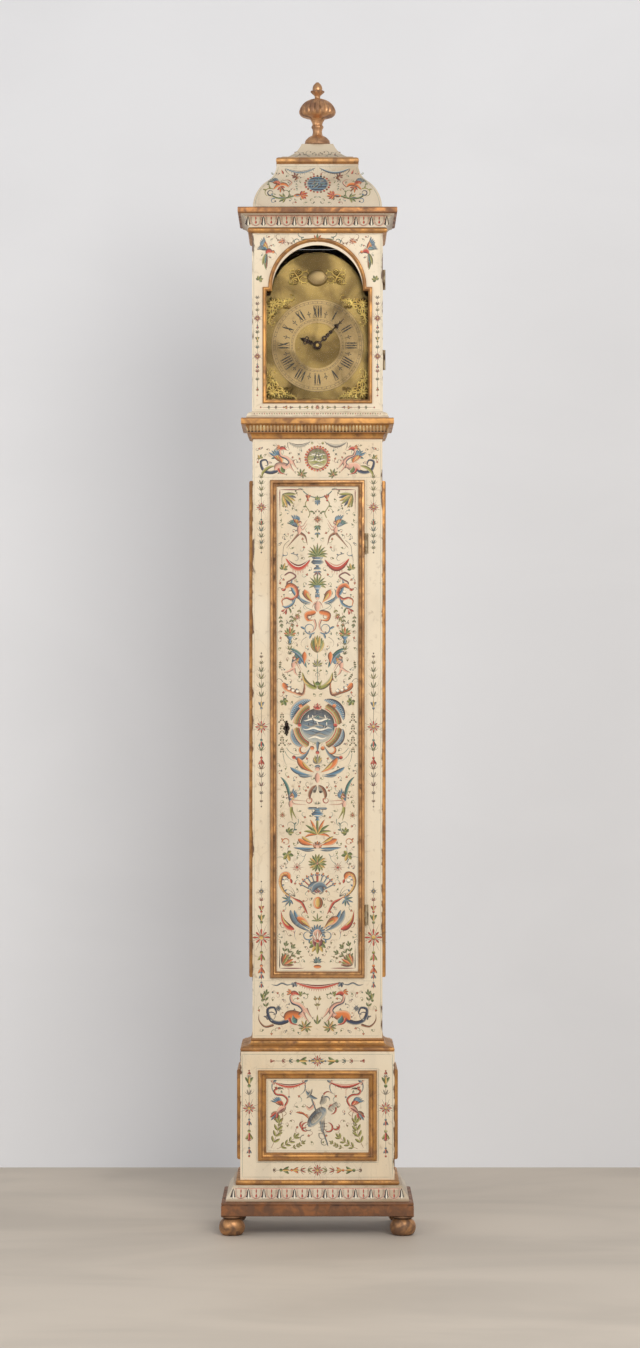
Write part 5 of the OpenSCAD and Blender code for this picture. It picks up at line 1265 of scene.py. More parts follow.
def dragon(b, at, size, drape="teal", body="orange", wing=True):
    """A seated beast that faces the middle: S neck, crest, claws and a curling tail; at is its haunch."""
    def go(*points):
        return spline(*[at + size * p for p in points], steps=22)
    if wing:
        b.wing(at + size * (0.2 + 0.2j), 135, size * 0.75, -1)
    b.form(go(0.05 - 0.1j, -0.3 - 0.22j, -0.62 - 0.1j, -0.72 + 0.25j, -0.5 + 0.32j, -0.42 + 0.12j, -0.55 + 0.08j),
           size * 0.15,
           "navy", taper, 2)
    b.form(go(-0.12 - 0.12j, 0.02 + 0.04j, 0.3 + 0.05j, 0.52 + 0.1j), size * 0.34, body, swell, 3)
    b.form(go(0.42 + 0.02j, 0.56 + 0.22j, 0.4 + 0.42j, 0.16 + 0.5j, 0.1 + 0.72j, 0.24 + 0.8j), size * 0.15, "flesh",
           lambda s: 1.15 - 0.75 * s, 5)
    b.lay(go(0.36 + 0.06j, 0.49 + 0.22j, 0.36 + 0.38j, 0.12 + 0.5j, 0.05 + 0.72j), size * 0.05, "navy", swell, 7)
    b.form(go(0.1 + 0.8j, 0.24 + 0.84j, 0.4 + 0.76j), size * 0.15, "red", bud, 7)
    for heading in (120, 150, 185):
        b.leaf(at + size * (0.13 + 0.84j), heading, size * 0.2, size * 0.05, 30, "orange", 6, vein=False)
    b.tendril(at + size * (0.38 + 0.74j), 0, size * 0.16, 60)
    b.form(go(0.16 + 0.08j, 0.2 - 0.1j, 0.3 - 0.22j), size * 0.2, drape, drop, 5)
    for knee, foot in ((0.12 - 0.22j, 0.36 - 0.3j), (0.6 - 0.02j, 0.74 - 0.2j), (0.72 + 0.12j, 0.84 - 0.04j)):
        b.form(go(knee + (-0.1 + 0.18j), knee, foot), size * 0.1, "flesh" if knee.real > 0.5 else "red", taper, 6)
        for claw in (-50, -10, 30):
            b.tendril(at + size * foot, claw, size * 0.09, -30)


def crane(b, at, size):
    """A wading bird on one leg, facing the middle; at is the middle of its body."""
    def go(*points):
        return spline(*[at + size * p for p in points], steps=18)
    b.fan(at + size * (-0.16 - 0.1j), 235, 60, 5, size * 0.5, size * 0.11, ("brown", "red", "slate"))
    b.form(go(0.22 + 0.16j, 0.05 + 0.02j, -0.2 - 0.2j), size * 0.27, "flesh", swell, 4)
    b.lay(go(0.16 + 0.05j, 0.0 - 0.06j, -0.2 - 0.2j), size * 0.09, "plum", swell, 6)
    b.form(go(0.16 + 0.1j, 0.3 + 0.4j, 0.1 + 0.62j, -0.2 + 0.66j, -0.3 + 0.82j, -0.14 + 0.92j),
           size * 0.065, "red", even, 5)
    b.form(go(-0.14 + 0.92j, -0.02 + 0.94j, 0.14 + 0.88j), size * 0.08, "ink", taper, 6)
    b.fan(at + size * (-0.16 + 0.92j), 150, 70, 3, size * 0.16, size * 0.04, ("red",))
    b.wing(at + size * (0.1 + 0.14j), 150, size * 0.62, -1, ("orange", "red", "blue"))
    b.line(go(0.02 - 0.1j, 0.08 - 0.35j, 0.02 - 0.62j), 1.1, "brown", 5)
    for toe in (-150, -90, -30):
        b.tendril(at + size * (0.02 - 0.62j), toe, size * 0.14, 0)
    b.line(go(0.1 - 0.05j, 0.24 - 0.2j, 0.12 - 0.32j), 0.9, "brown", 5)


def bird(b, at, size):
    """A flying bird that faces inwards and down, its long tail trailing."""
    for k, (heading, pigment) in enumerate(((-112, "green"), (-98, "brown"), (-128, "olive"), (-105, "teal"))):
        b.leaf(at + size * (-0.1 - 0.1j), heading, size * (1.0 - 0.12 * k), size * 0.12,
               40 - 25 * (k % 2), pigment, 2)
    b.wing(at + size * (-0.02 + 0.1j), 118, size * 0.75, 1, ("orange", "yellow", "blue"))
    b.wing(at + size * (-0.08 + 0.05j), 168, size * 0.6, -1, ("teal", "blue", "slate"))
    b.form(spline(at - size * (0.16 + 0.16j), at, at + size * (0.24 - 0.08j), steps=12),
           size * 0.24, "red", swell, 6)
    b.dot(at + size * (0.26 - 0.06j), size * 0.08, "orange", 8)
    b.lay(curl(at + size * (0.32 - 0.08j), -20, size * 0.2, -60), 1.1, "ink", taper, 9)


def roundel(b, at, r, water="slate", land="navy"):
    """A small landscape in a round: a wash, hills, waves and a few strokes of foliage."""
    b.dot(at, r, water, 3, 0.9)
    b.both = False
    for k in range(9):
        u = 0.82 - 0.2 * k
        half = r * math.sqrt(max(0.05, 1 - u * u)) * 0.92
        x = np.linspace(-half, half, 16)
        wave = at + x + 1j * (u * r * 0.9 + r * 0.06 * np.sin(x / r * 7 + 1.9 * k))
        b.lay(wave, r * (0.05 + 0.05 * (k % 3)), (land, "grey", "cream")[k % 3], swell, 4, 0.45)
    for k in range(14):
        foot = at + r * 0.7 * complex(b.random.uniform(-0.9, 0.9), b.random.uniform(-0.5, 0.6))
        b.lay(curl(foot, b.random.uniform(50, 130), r * 0.3, b.random.uniform(-60, 60)), r * 0.07,
              (land, "cream", "teal")[k % 3],
              drop, 5, 0.5)
    b.both = True


def border(b, x, z_low, z_high, shade, up, across):
    """Thin lines round a panel: its left upright and both its levels, which the brush mirrors."""
    b.line(np.linspace(complex(-x, z_low), complex(-x, z_high), up), 0.6, "teal", 1, shade)
    for z in (z_low, z_high):
        b.line(np.linspace(complex(-x, z), complex(0, z), across), 0.6, "teal", 1, shade)


def berries(b, middle, wide, high, count, r, pigments):
    """A ring of berries round a medallion."""
    for k in range(count):
        turn = 2 * math.pi * (k + 0.5) / count
        b.dot(middle + complex(wide * math.cos(turn), high * math.sin(turn)), r, pigments[k % 2], 4, 0.3)


MOST_FACES = 90000


def paint_object(b, name, body, finish="paint"):
    """Turns the brush's strokes into a piece with its colours in the UV map, or two where they are many."""
    if len(b.faces) > MOST_FACES:
        middle = len(b.faces) // 2
        for part, faces in (("lower_coats", b.faces[:middle]), ("upper_coats", b.faces[middle:])):
            first, last = min(map(min, faces)), max(map(max, faces)) + 1
            half = Brush(None)
            half.points, half.marks = b.points[first:last], b.marks[first:last]
            half.faces = [tuple(i - first for i in face) for face in faces]
            paint_object(half, name + "_" + part, body, finish)
        return
    mesh = mesh_of(name, b.points, b.faces)
    layer = mesh.uv_layers.new(name="OFBake")
    corners = np.empty(len(mesh.loops), np.int32)
    mesh.loops.foreach_get("vertex_index", corners)
    layer.data.foreach_set("uv", np.array(b.marks, np.float32)[corners].ravel())
    made, slot = MATERIALS[finish]
    mesh.materials.append(made)
    obj = add_object(name, mesh)
    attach(obj, body)
    print(name, len(mesh.polygons), "faces")


# %% [markdown]
# ## The door
# The long panel is painted as one tree of ornament about its middle line. We paint the left half and the
# brush repeats it on the right. Figures, beasts, swags and pots hang from one another, from the garland at
# the top, past the cartouche in the middle, to the winged shell and the corner bushes at the foot.

# %% Door painting
b = Brush(on_front(DOOR_FACE), 3)
low_z, top_z, side_x = DOOR[1] + LIP + 2, DOOR[3] - LIP - 2, DOOR[2] - LIP - 2
border(b, side_x, low_z, top_z, 0.7, 30, 12)
for z, way in ((top_z - 5, -1), (low_z + 5, 1)):
    b.lay(np.linspace(-30 + 1j * z, 5 - side_x + 1j * z, 9), 2.6, "plum", swell, 1)
    b.lay(np.linspace(5 - side_x + 1j * z, 5 - side_x + 1j * (z + way * 52), 9), 2.6,
          "plum" if way < 0 else "ink", taper, 1)
b.fan(-79 + 1664j, -42, 84, 7, 34, 6, ("olive", "yellow", "navy"), fall=0.1)
b.fan(-79 + 601j, 45, 86, 7, 29, 6, ("brown", "olive", "orange"), fall=0.1)
for heading in (35, 62, 88):
    spray(b, -76 + 612j, heading, 36, -12, "green", 3)
# Garland, flower stems and the hanging line of the top
b.form(curl(-33 + 1672j, -52, 38, 52), 1.8, "teal", even, 2, outline=0.3)
b.scroll(-33 + 1673j, 140, 16, 160, "teal", 1.4, 1, tip=None)
b.fan(1651j, -90, 100, 5, 13, 3.6, ("blue", "slate"))
b.fan(1650j, 90, 120, 5, 11, 3, ("green", "olive"))
spray(b, 1630j, -60, 12, 20, "green", 2)
b.form(spline(-21 + 1610j, -17 + 1622j, -27 + 1640j, -22 + 1652j), 1.3, "olive", even, 2, outline=0.35)
b.bell(-22 + 1650j, 84, 14, "red", "orange")
b.leaf(-18 + 1624j, 20, 11, 2.6, -60, "green")
b.leaf(-24 + 1636j, 165, 9, 2.4, 50, "green")
b.star(1607j, 10, "red", "green", "orange")
b.fan(1593j, -90, 130, 5, 14, 3, ("green", "teal"))
b.fan(1577j, -90, 110, 3, 12, 3.2, ("blue", "green"))
for x, z, heading in ((-58, 1655, 200), (-52, 1643, 240), (-66, 1633, 150), (-45, 1660, 100)):
    spray(b, complex(x, z), heading, 12, 20, "green", 2)
# Satyr-legged figures that hold the stems
winged_figure(b, -41 + 1584j, 37, "brown", ((0.35, -0.42, 0.5, -0.95), (-0.25, -0.5, -0.8, -1.15)),
              (112, 150), (0.5, 0.62))
b.line(spline(-78 + 1528j, -75 + 1548j, -63 + 1560j), 0.8, "ink")
# Agave in a blue urn between two red cloths
agave(b, 1523j, 30)
b.vase(1494j, 28, (0.28, 0.3, 0.1, 0.12, 0.36, 0.5, 0.46, 0.34, 0.3, 0.42), "slate",
       ("navy", "cream", "navy", "cream"))
b.tendril(-9 + 1518j, 150, 15, -210, 1.6, 1.2, "blue")
b.fan(1490j, -90, 150, 5, 15, 2.4, ("blue", "plum"))
b.swag(-72 + 1519j, -16 + 1516j, 27, "red", 10, 0.5)
b.scroll(-79 + 1528j, -40, 22, 230, "blue", 1.5, 1, 1.6, None)
b.tendril(-79 + 1526j, -100, 26, 40, 1.1)
b.scroll(-60 + 1530j, -10, 34, -240, "slate", 1.4, 2, 2.4, None)
b.fan(-77 + 1494j, 75, 150, 5, 15, 4, ("green", "olive", "yellow"))
# Long-tailed beasts round a pearl
b.form(spline(-75 + 1480j, -62 + 1487j, -49 + 1479j, -60 + 1470j, -69 + 1464j, -66 + 1452j), 2.2, "plum", even, 2)
serpent(b, (-72 + 1452j, -62 + 1459j, -49 + 1452j, -46 + 1436j, -58 + 1427j, -70 + 1430j, -80 + 1424j, -78 + 1412j),
        9,
        ("orange", "red"), -61 + 1443j)
b.form(spline(-49 + 1432j, -56 + 1417j, -70 + 1409j, -80 + 1412j), 4.5, "blue", swell, 6)
b.bell(-68 + 1408j, -125, 17, "red", "flesh")
b.leaf(-66 + 1408j, -40, 15, 3, -50, "green")
# Plant, plumes and the winged term
agave(b, 1457j, 27, ("olive", "green"), 11, 170)
b.vase(1440j, 18, (0.3, 0.16, 0.26, 0.4, 0.5), "blue", ("navy", "cream"))
b.form(curl(-14 + 1418j, 165, 82, -105, 1.6), 5, "blue", swell, 2)
b.form(curl(-16 + 1416j, 178, 52, -130, 1.3), 3.4, "slate", swell, 2)
b.form(curl(-10 + 1419j, 138, 36, -30), 14, "orange", drop, 4)
b.form(curl(-12 + 1422j, 136, 24, -24), 6, "yellow", drop, 6)
b.tendril(-24 + 1416j, 190, 24, 250, 1.4, 1.4, "teal")
b.limb([1398j, 1410j, 1424j], 13, shape=swell)
b.dot(1430j, 4, "flesh", 7)
b.fan(1432j, 90, 150, 5, 9, 3, ("slate", "blue"), level=8)
b.limb([-3 + 1421j, -9 + 1415j, -12 + 1407j], 3.4)
b.form(spline(-3 + 1398j, -14 + 1396j, -25 + 1392j, -22 + 1380j, -8 + 1380j), 11, "orange", bud, 5)
b.line(curl(-26 + 1388j, -60, 22, 200, 1.4), 1.0, "brown", 8)
b.form(spline(-8 + 1382j, -4 + 1368j, -9 + 1356j, -20 + 1350j), 4.2, "flesh", taper, 5)
b.scroll(-6 + 1352j, 215, 74, -400, "blue", 2.6, 2, 1.25, "slate")
# Vines, small stars and flower pots at the sides
b.tendril(-8 + 1402j, 170, 40, -90, 1.2, 1.5, "teal")
b.star(-45 + 1387j, 8.5, "red", "brown", "orange", 6)
spray(b, -38 + 1410j, -100, 30, -30, "olive", 3)
spray(b, -55 + 1396j, -120, 28, 50, "green", 3, "orange")
spray(b, -83 + 1394j, -95, 26, 18, "green", 3)
b.scroll(-70 + 1380j, -70, 36, 320, "grey", 1.2, 1, 1.6, None)
b.fan(-62 + 1346j, 90, 190, 9, 19, 4, ("olive", "orange", "green"))
b.star(-62 + 1350j, 6, "orange", "green", "red", 5)
b.vase(-62 + 1328j, 15, (0.24, 0.12, 0.2, 0.36, 0.52), "blue", ("navy",))
chain(b, -62 + 1324j, -90, "0 v 12 green, 12 v 12 olive, 22 v 9 green")
b.tendril(-24 + 1342j, -150, 30, 120)
# Palm, and a figure with great wings on either side
b.fan(1306j, 90, 96, 9, 40, 6.5, ("yellow", "olive", "green"), fall=0.3, bend=-30)
b.fan(1308j, 90, 40, 3, 22, 4, ("orange", "yellow"), level=5)
b.fan(1276j, 90, 170, 7, 17, 3, ("grey", "olive"))
b.line(np.linspace(1306j, 1232j, 14), 1.0, "teal", 2)
b.tendril(1262j, -150, 15, 200, 1.2)
b.dot(1236j, 5, "green")
b.form(curl(-24 + 1272j, 110, 66, 70, 1.8), 7, "teal", swell, 2)
b.form(curl(-27 + 1274j, 112, 52, 60, 1.8), 4, "blue", swell, 5)
winged_figure(b, -54 + 1279j, 36, "flesh", ((0.1, -0.5, 0.3, -0.7), (-0.3, -0.4, -0.6, -0.5)),
              (20, 60), (0.5, -0.3))
b.form(curl(-30 + 1279j, 84, 30, 10), 10, "orange", drop, 6)
b.form(spline(-34 + 1262j, -30 + 1246j, -18 + 1232j, -4 + 1228j, -10 + 1244j), 9, "olive", swell, 4)
b.form(spline(-33 + 1256j, -29 + 1242j, -18 + 1233j), 4, "yellow", swell, 6)
for x, z, heading in ((-82, 1290, 250), (-80, 1262, 290), (-38, 1268, 250)):
    spray(b, complex(x, z), heading, 16, 20, "green", 3)
# Tails with pearls, and vine leaves
serpent(b, (-78 + 1238j, -70 + 1226j, -52 + 1218j, -34 + 1212j, -29 + 1228j, -31 + 1246j), 11,
        ("orange", "brown"), None, 3, False)
for x, z in ((-64, 1226), (-55, 1222), (-45, 1220)):
    b.dot(complex(x, z), 3.6, "cream", 7)
b.tendril(-34 + 1211j, -140, 24, -90, 1.6, 1.4, "teal")
b.tendril(-78 + 1240j, 120, 26, 260, 1.2)
b.fan(-77 + 1198j, -60, 200, 5, 13, 6, ("green", "olive"))
# Cartouche
middle = 1141j
for r, width, pigment, level in ((48, 14, "orange", 5), (48.5, 8.4, "olive", 7), (48.5, 1.6, "red", 8),
                                 (42.4, 1.4, "red", 8)):
    for start, end in ((112, 176), (184, 246)):
        turn = np.radians(np.linspace(start, end, 18))
        b.form(middle + r * np.exp(1j * turn), width, pigment, even, level, outline=0.5 if level < 8 else 0.1)
for start, end, r, width in ((104, 168, 60, 14), (186, 236, 57, 10)):
    turn = np.radians(np.linspace(start, end, 18))
    path = middle + (r + 4 * np.sin(np.linspace(0, 3.1, 18))) * np.exp(1j * turn)
    b.form(path, width + 2.4, "red", swell, 2)
    b.form(path, width, "blue", swell, 4)
    for k in range(1, 17):
        b.lay(curl(path[k] * 0.94 + middle * 0.06, math.degrees(turn[k]), width * 0.55, 40), 1.0, "cream", drop, 5)
    b.lay(path[1:-1], 1.2, "navy", swell, 6)
b.form(spline(-14 + 1098j, -24 + 1080j, -38 + 1068j, -54 + 1070j), 9, "slate", drop, 3)
b.form(curl(-32 + 1096j, 190, 34, 230, 1.1), 4, "orange", swell, 4)
b.dot(-53 + 1070j, 4, "red", 6)
b.dot(-40.5 + 1143j, 4.4, "red", 9)
b.dot(-38 + 1186j, 4.4, "orange", 9)
b.dot(-12 + 1091j, 4.4, "orange", 9)
b.both = False
b.fan(1178j, 90, 150, 7, 15, 4.4, ("flesh", "red"), level=9)
b.dot(1181j, 4, "red", 12)
b.form(np.linspace(1106j, 1082j, 9), 9, "slate", taper, 6)
b.dot(1081j, 4, "red", 9)
b.dot(middle, 39, "teal", 2)
roundel(b, middle, 37)
for x in (-80, 80):
    for k in range(7):
        spray(b, x + (1172 - 13 * k) * 1j, 245 + 50 * (k % 2), 11, 20, "green", 2)
b.both = True
for k in range(3):
    b.tendril(-70 - 4 * k + (1092 - 6 * k) * 1j, -60 - 12 * k, 46 - 6 * k, 110 - 40 * k, 1.2, 1.3, "teal")
# Winged term on a scrolled shell over a blue dish
b.fan(1056j, 90, 150, 7, 21, 3.6, ("grey", "yellow", "olive"), bend=-50)
b.form(curl(-7 + 1036j, 158, 52, -48, 1.4), 13, "orange", drop, 4)
b.form(curl(-9 + 1038j, 152, 34, -34, 1.4), 5, "yellow", drop, 6)
b.form(curl(-10 + 1030j, 178, 56, -42, 1.4), 8, "blue", drop, 2)
b.form(curl(-10 + 1028j, 188, 34, -30, 1.4), 5, "slate", drop, 3)
b.dot(1044j, 5, "flesh", 7)
b.lay(curl(5 + 1048j, 120, 14, 120), 4, "slate", swell, 9)
b.limb([1012j, 1024j, 1036j], 12, shape=swell)
b.form(spline(-2 + 1008j, -12 + 1000j, -18 + 986j, -16 + 976j), 7, "brown", swell, 4)
b.form(spline(-2 + 1006j, -8 + 996j, -8 + 990j), 10, "grey", swell, 3)
b.dot(-7 + 993j, 3, "ink", 8)
b.scroll(-14 + 978j, -60, 34, -330, "red", 2.2, 0, 1.2, "orange")
b.form(np.linspace(-22 + 955j, 955j, 9), 4.4, "slate", even, 5)
b.vase(928j, 27, (0.2, 0.1, 0.14, 0.44, 0.5, 0.3, 0.2, 0.5), "blue", ("navy", "cream", "navy", "slate"))
b.tendril(-8 + 945j, 150, 22, -200, 1.6, 1.2, "slate")
winged_figure(b, -60 + 966j, 37, "olive", ((0.1, -0.5, 0.35, -0.95), (0.0, -0.55, 0.1, -1.05)),
              (62, 84), (0.95, 0.15))
b.form(curl(-62 + 974j, 96, 58, 46, 1.8), 6, "teal", swell, 3)
b.star(-79 + 940j, 8, "orange", "green", "red", 6)
b.tendril(-44 + 932j, -70, 30, -160, 1.4, 1.3, "teal")
b.fan(-66 + 900j, 40, 150, 5, 15, 4.6, ("green", "olive"))
b.scroll(-55 + 902j, 60, 44, 250, "teal", 1.5, 2, 1.7, None)
# Agave over a winged shell
agave(b, 896j, 40, ("orange", "olive", "green"), 9, 165, None)
agave(b, 896j, 28, ("green", "yellow"), 5, 90, None)
b.form(curl(-7 + 872j, 172, 40, -26), 12, "orange", drop, 4)
b.form(curl(-8 + 876j, 160, 32, -20), 6, "yellow", drop, 6)
b.form(curl(-6 + 865j, 185, 48, -14), 5, "blue", swell, 3)
b.form(curl(-6 + 861j, 192, 34, -30), 3, "slate", swell, 3)
b.fan(868j, 90, 200, 9, 14, 4, ("brown", "orange", "flesh"), level=7)
b.dot(870j, 4.5, "flesh", 10)
b.scroll(-80 + 878j, 80, 40, -330, "orange", 2.2, 1, 1.3, "red")
b.fan(-68 + 852j, -70, 220, 5, 17, 7, ("green", "olive", "yellow"))
b.tendril(-26 + 853j, -100, 22, -230, 1.3, 1.3, "slate")
b.line(spline(-28 + 850j, -32 + 838j, -44 + 826j), 0.8, "teal")
b.fan(831j, 90, 330, 16, 22, 4.6, ("green", "olive", "yellow"), fall=0.1)
b.star(831j, 9, "orange", "brown", "red", 6)
b.star(-46 + 822j, 12, "flesh", "brown", "red", 6)
# Dolphins, and a trophy of arms
b.tendril(-66 + 832j, 110, 40, 130, 1.8, 1.2, "teal")
serpent(b, (-62 + 796j, -68 + 807j, -80 + 804j, -84 + 786j, -76 + 768j, -64 + 758j, -52 + 752j), 10,
        ("orange", "yellow"),
        -70 + 792j, 5)
b.form(spline(-56 + 753j, -46 + 748j, -36 + 742j, -28 + 728j, -22 + 716j), 5, "red", swell, 5)
b.fan(-62 + 750j, 200, 200, 7, 20, 3, ("blue", "slate", "teal"))
for heading in (100, 122, 145, 160):
    b.tendril(-50 + 756j, heading, 28, 60, 1.2)
for k in range(5):
    heading = 152 - 15 * k
    b.form(curl(764j, heading, 42), 2.0, ("slate", "red", "blue")[k % 3], even, 4, outline=0.4)
    b.fan(764j + 40 * toward(heading), heading, 120, 3, 8, 2.6, ("blue", "orange"), level=5)
b.form(spline(-22 + 776j, -8 + 784j, 6 + 778j, 12 + 766j), 13, "slate", swell, 6)
b.scroll(-4 + 762j, 170, 46, -300, "grey", 3.2, 0, 1.3, "brown")
b.both = False
b.form(np.linspace(1 + 756j, 1 + 728j, 14), 21, "orange", disc, 9)
b.form(np.linspace(1 + 753j, 1 + 732j, 12), 12, "yellow", disc, 11)
b.star(1 + 743j, 6, "red", "brown", "orange", 5)
b.both = True
# Winged shell with leaves between horns, and the foot
agave(b, 700j, 19, ("green", "olive"), 5, 130, None)
b.form(curl(-12 + 676j, 160, 74, -62, 1.4), 12, "slate", drop, 2)
b.form(curl(-13 + 681j, 152, 62, -50, 1.4), 7, "blue", drop, 4)
for k in range(6):
    b.tendril(-22 - 5 * k + (682 + 5.4 * k) * 1j, 60 + 4 * k, 13, 50, 1.4)
b.form(curl(-14 + 684j, 132, 42, 20), 15, "orange", drop, 6)
b.form(curl(-16 + 686j, 132, 28, 20), 6, "yellow", drop, 8)
b.form(spline(-83 + 726j, -78 + 704j, -66 + 688j, -52 + 682j), 12, "red", drop, 4)
b.form(spline(-81 + 718j, -75 + 702j, -64 + 690j), 4, "yellow", drop, 6)
for k in range(5):
    b.lay(curl(-76 + 5.4 * k + (696 - 4 * k) * 1j, -80, 8, 20), 1.2, "red", drop, 2)
b.tendril(-50 + 680j, -110, 24, 60, 1.5, 1.2, "slate")
b.fan(673j, 90, 210, 11, 21, 5, ("blue", "slate"), fall=0.15, level=7)
b.fan(656j, -90, 150, 7, 30, 8, ("olive", "green", "yellow"), level=5)
b.both = False
b.form(np.linspace(683j, 652j, 12), 21, "flesh", disc, 10)
b.fan(654j, 90, 90, 7, 26, 3.4, ("flesh", "cream"), level=12)
b.dot(656j, 4, "red", 14)
b.fan(607j, 90, 150, 6, 15, 3.6, ("slate", "teal"))
b.form(np.linspace(-9 + 598j, 9 + 598j, 9), 7, "orange", disc, 5)
b.both = True
b.tendril(-3 + 606j, 150, 16, 80, 1.2)
b.scroll(-12 + 662j, 215, 52, -330, "blue", 2.6, 1, 1.3, "slate")
b.form(curl(-6 + 664j, -110, 22, 50), 8, "plum", swell, 8)
for x, z, heading in ((-50, 640, 120), (-30, 622, 190), (-44, 618, 150)):
    spray(b, complex(x, z), heading, 14, 20, "olive", 2, "brown")
b.fill(-side_x + 5, low_z + 10, -4, top_z - 10, 6.5, 1500)
paint_object(b, "door_painting", "trunk_door")

# %% [markdown]
# ## The trunk's front
# Above the door two winged beasts face a green roundel, below it two seated ones face a red cloth, and
# down the stiles hang chains of bellflowers that thin out and start again.

# %% Trunk painting
b = Brush(on_front(TRUNK_FRONT), 5)
stile_x = (TRUNK_HALF + DOOR[2]) / 2
edge_x = TRUNK_HALF - 4
b.line(np.linspace(-edge_x + 442j, -edge_x + 1784j, 60), 0.6, "teal", 1, 0.72)
b.line(np.linspace(-DOOR[2] - 5 + 566j, -DOOR[2] - 5 + 1702j, 50), 0.6, "teal", 1, 0.72)
for z in (442, 566, 1702, 1784):
    b.line(np.linspace(complex(-edge_x, z), complex(0, z), 20), 0.6, "teal", 1, 0.72)
chain(b, -stile_x + 1700j, -90, "0 v 9 olive, 14 v 11 green, 28 v 11 olive, 42 v 10 green, 66 star 13 red, "
      "94 bell 11 teal, 106 v 11 green, 120 v 12 teal, 134 v 11 green, 148 v 10 teal, 160 v 8 olive, "
      "168 dot 1.2 ink")
chain(b, -stile_x + 1305j, -90, "0 dot 1.2 ink, 10 v 6 brown, 24 v 8 olive, 42 v 12 green, 58 v 13 olive, "
      "78 v 14 green, 98 v 13 green, 124 cup 16 slate, 166 star 17 red, 196 bell 16 teal, 220 v 12 green, "
      "236 bell 17 red, 262 v 12 brown, 280 v 13 grey, 300 v 11 plum, 318 v 8 grey, 336 v 6 brown, "
      "346 dot 1.2 ink")
chain(b, -stile_x + 790j, -90, "0 dot 1.2 ink, 22 star 7 slate, 44 v 9 red, 68 cup 15 red, 92 cup 19 green, "
      "126 star 24 red, 160 bell 20 olive, 190 bell 19 orange, 206 bell 14 slate, 228 bell 12 slate")
# Frieze: roundel, dark cloths and winged beasts
crown = 1744j
berries(b, crown, 27, 27, 26, 2.6, ("orange", "red"))
b.form(crown + 23.6 * np.exp(1j * np.linspace(math.pi / 2, 3 * math.pi / 2, 24)), 1.6, "red", even, 4)
b.both = False
roundel(b, crown, 22.5, "olive", "green")
for u, v in ((0.1, 0.15), (-0.2, -0.1), (0.25, -0.25)):
    b.lay(curl(crown + 22 * complex(u, v), 60, 9, 60), 2.6, "ink", drop, 7)
b.both = True
b.swag(-66 + 1781j, -16 + 1782j, 12, "grey", 12, 0.5)
b.dot(-12 + 1779j, 2.4, "olive")
b.tendril(-67 + 1781j, -95, 18, 40, 1.6, 1.2)
dragon(b, -90 + 1724j, 52, "green", "flesh")
b.scroll(-88 + 1742j, 150, 66, -330, "teal", 1.8, 1, 1.35, "slate")
b.form(spline(-96 + 1728j, -110 + 1724j, -122 + 1714j, -126 + 1703j), 6, "olive", swell, 4)
b.fan(-36 + 1708j, 60, 250, 7, 15, 3, ("green", "olive"))
b.star(-36 + 1708j, 7, "red", "brown", "orange", 6)
b.fan(-129 + 1744j, 100, 140, 4, 11, 3.4, ("olive", "green", "yellow"))
b.star(-42 + 1754j, 3.2, "teal", "ink", "teal", 4)
# Apron: red cloth, knots and seated beasts
b.swag(-50 + 562j, 50 + 562j, 15, "red", 19, 0.6)
b.fan(-53 + 562j, -80, 130, 4, 12, 4.6, ("slate", "navy"))
b.form(spline(-55 + 560j, -68 + 557j, -80 + 561j, -92 + 556j, -104 + 558j), 2.2, "slate", swell, 2)
dragon(b, -66 + 485j, 64, "teal", "orange", False)
b.scroll(-112 + 478j, 120, 50, -300, "navy", 3.0, 1, 1.2, "slate")
b.form(spline(-98 + 467j, -118 + 463j, -131 + 476j, -132 + 492j), 4.6, "brown", taper, 3)
spray(b, -112 + 498j, 110, 40, -30, "green", 3)
b.bell(-124 + 522j, 80, 17, "green", "olive")
b.star(-88 + 504j, 8, "slate", "navy", "navy", 8)
b.fan(-28 + 460j, 80, 280, 9, 19, 3.4, ("green", "olive", "yellow"))
b.star(-28 + 461j, 9, "red", "brown", "orange", 7)
b.scroll(-34 + 536j, 20, 28, -260, "green", 1.6, 2, 1.5, "slate")
b.fan(-36 + 536j, 160, 150, 4, 10, 3, ("green", "olive"))
spray(b, 500j, 80, 26, 0, "olive", 2, "orange")
b.fan(468j, 90, 70, 3, 22, 3, ("green", "olive"))
b.fill(-edge_x + 6, 448, -6, 546, 6.5, 160)
b.fill(-edge_x + 6, 1708, -34, 1776, 5.5, 120)
paint_object(b, "trunk_painting", "case")

# %% [markdown]
# ## The base
# Inside the base's frame are two cranes under red cloths with a trophy between them; a border of
# bellflowers runs round the outside.

# %% Base painting
b = Brush(on_front(BASE_FRONT), 7)
x0, z0, x1, z1 = BASE_PANEL
for out, z_low, z_high in ((x1 + 4, z0 - 4, z1 + 4), (x1 - 22, z0 + 22, z1 - 22),
                           (BASE_HALF - 5, base_low[2] + 6, base_high[2] - 6)):
    border(b, out, z_low, z_high, 0.68, 24, 24)
rail = "18 cup 13 slate, 44 cup 22 green, 64 v 10 teal, 80 v 9 red, 98 bell 9 red"
for z in ((z1 + base_high[2]) / 2, (z0 + base_low[2]) / 2):
    b.star(z * 1j, 15, "red", "brown", "yellow")
    chain(b, z * 1j, 180, rail if z > 300 else "22 v 12 olive, 38 v 13 red, 58 cup 17 orange, 82 cup 20 green, "
          "100 v 8 brown")
stile = -(BASE_HALF + x1) / 2
chain(b, stile + 366j, -90, "0 bell 9 red, 16 v 8 slate, 34 cup 22 green, 54 v 13 grey, 84 star 17 red, "
      "110 bell 14 slate, 136 bell 20 olive, 158 v 12 red, 174 bell 13 slate, 192 dot 2 red")
b.swag(-98 + 340j, -28 + 340j, 13, "red", 11, 0.6)
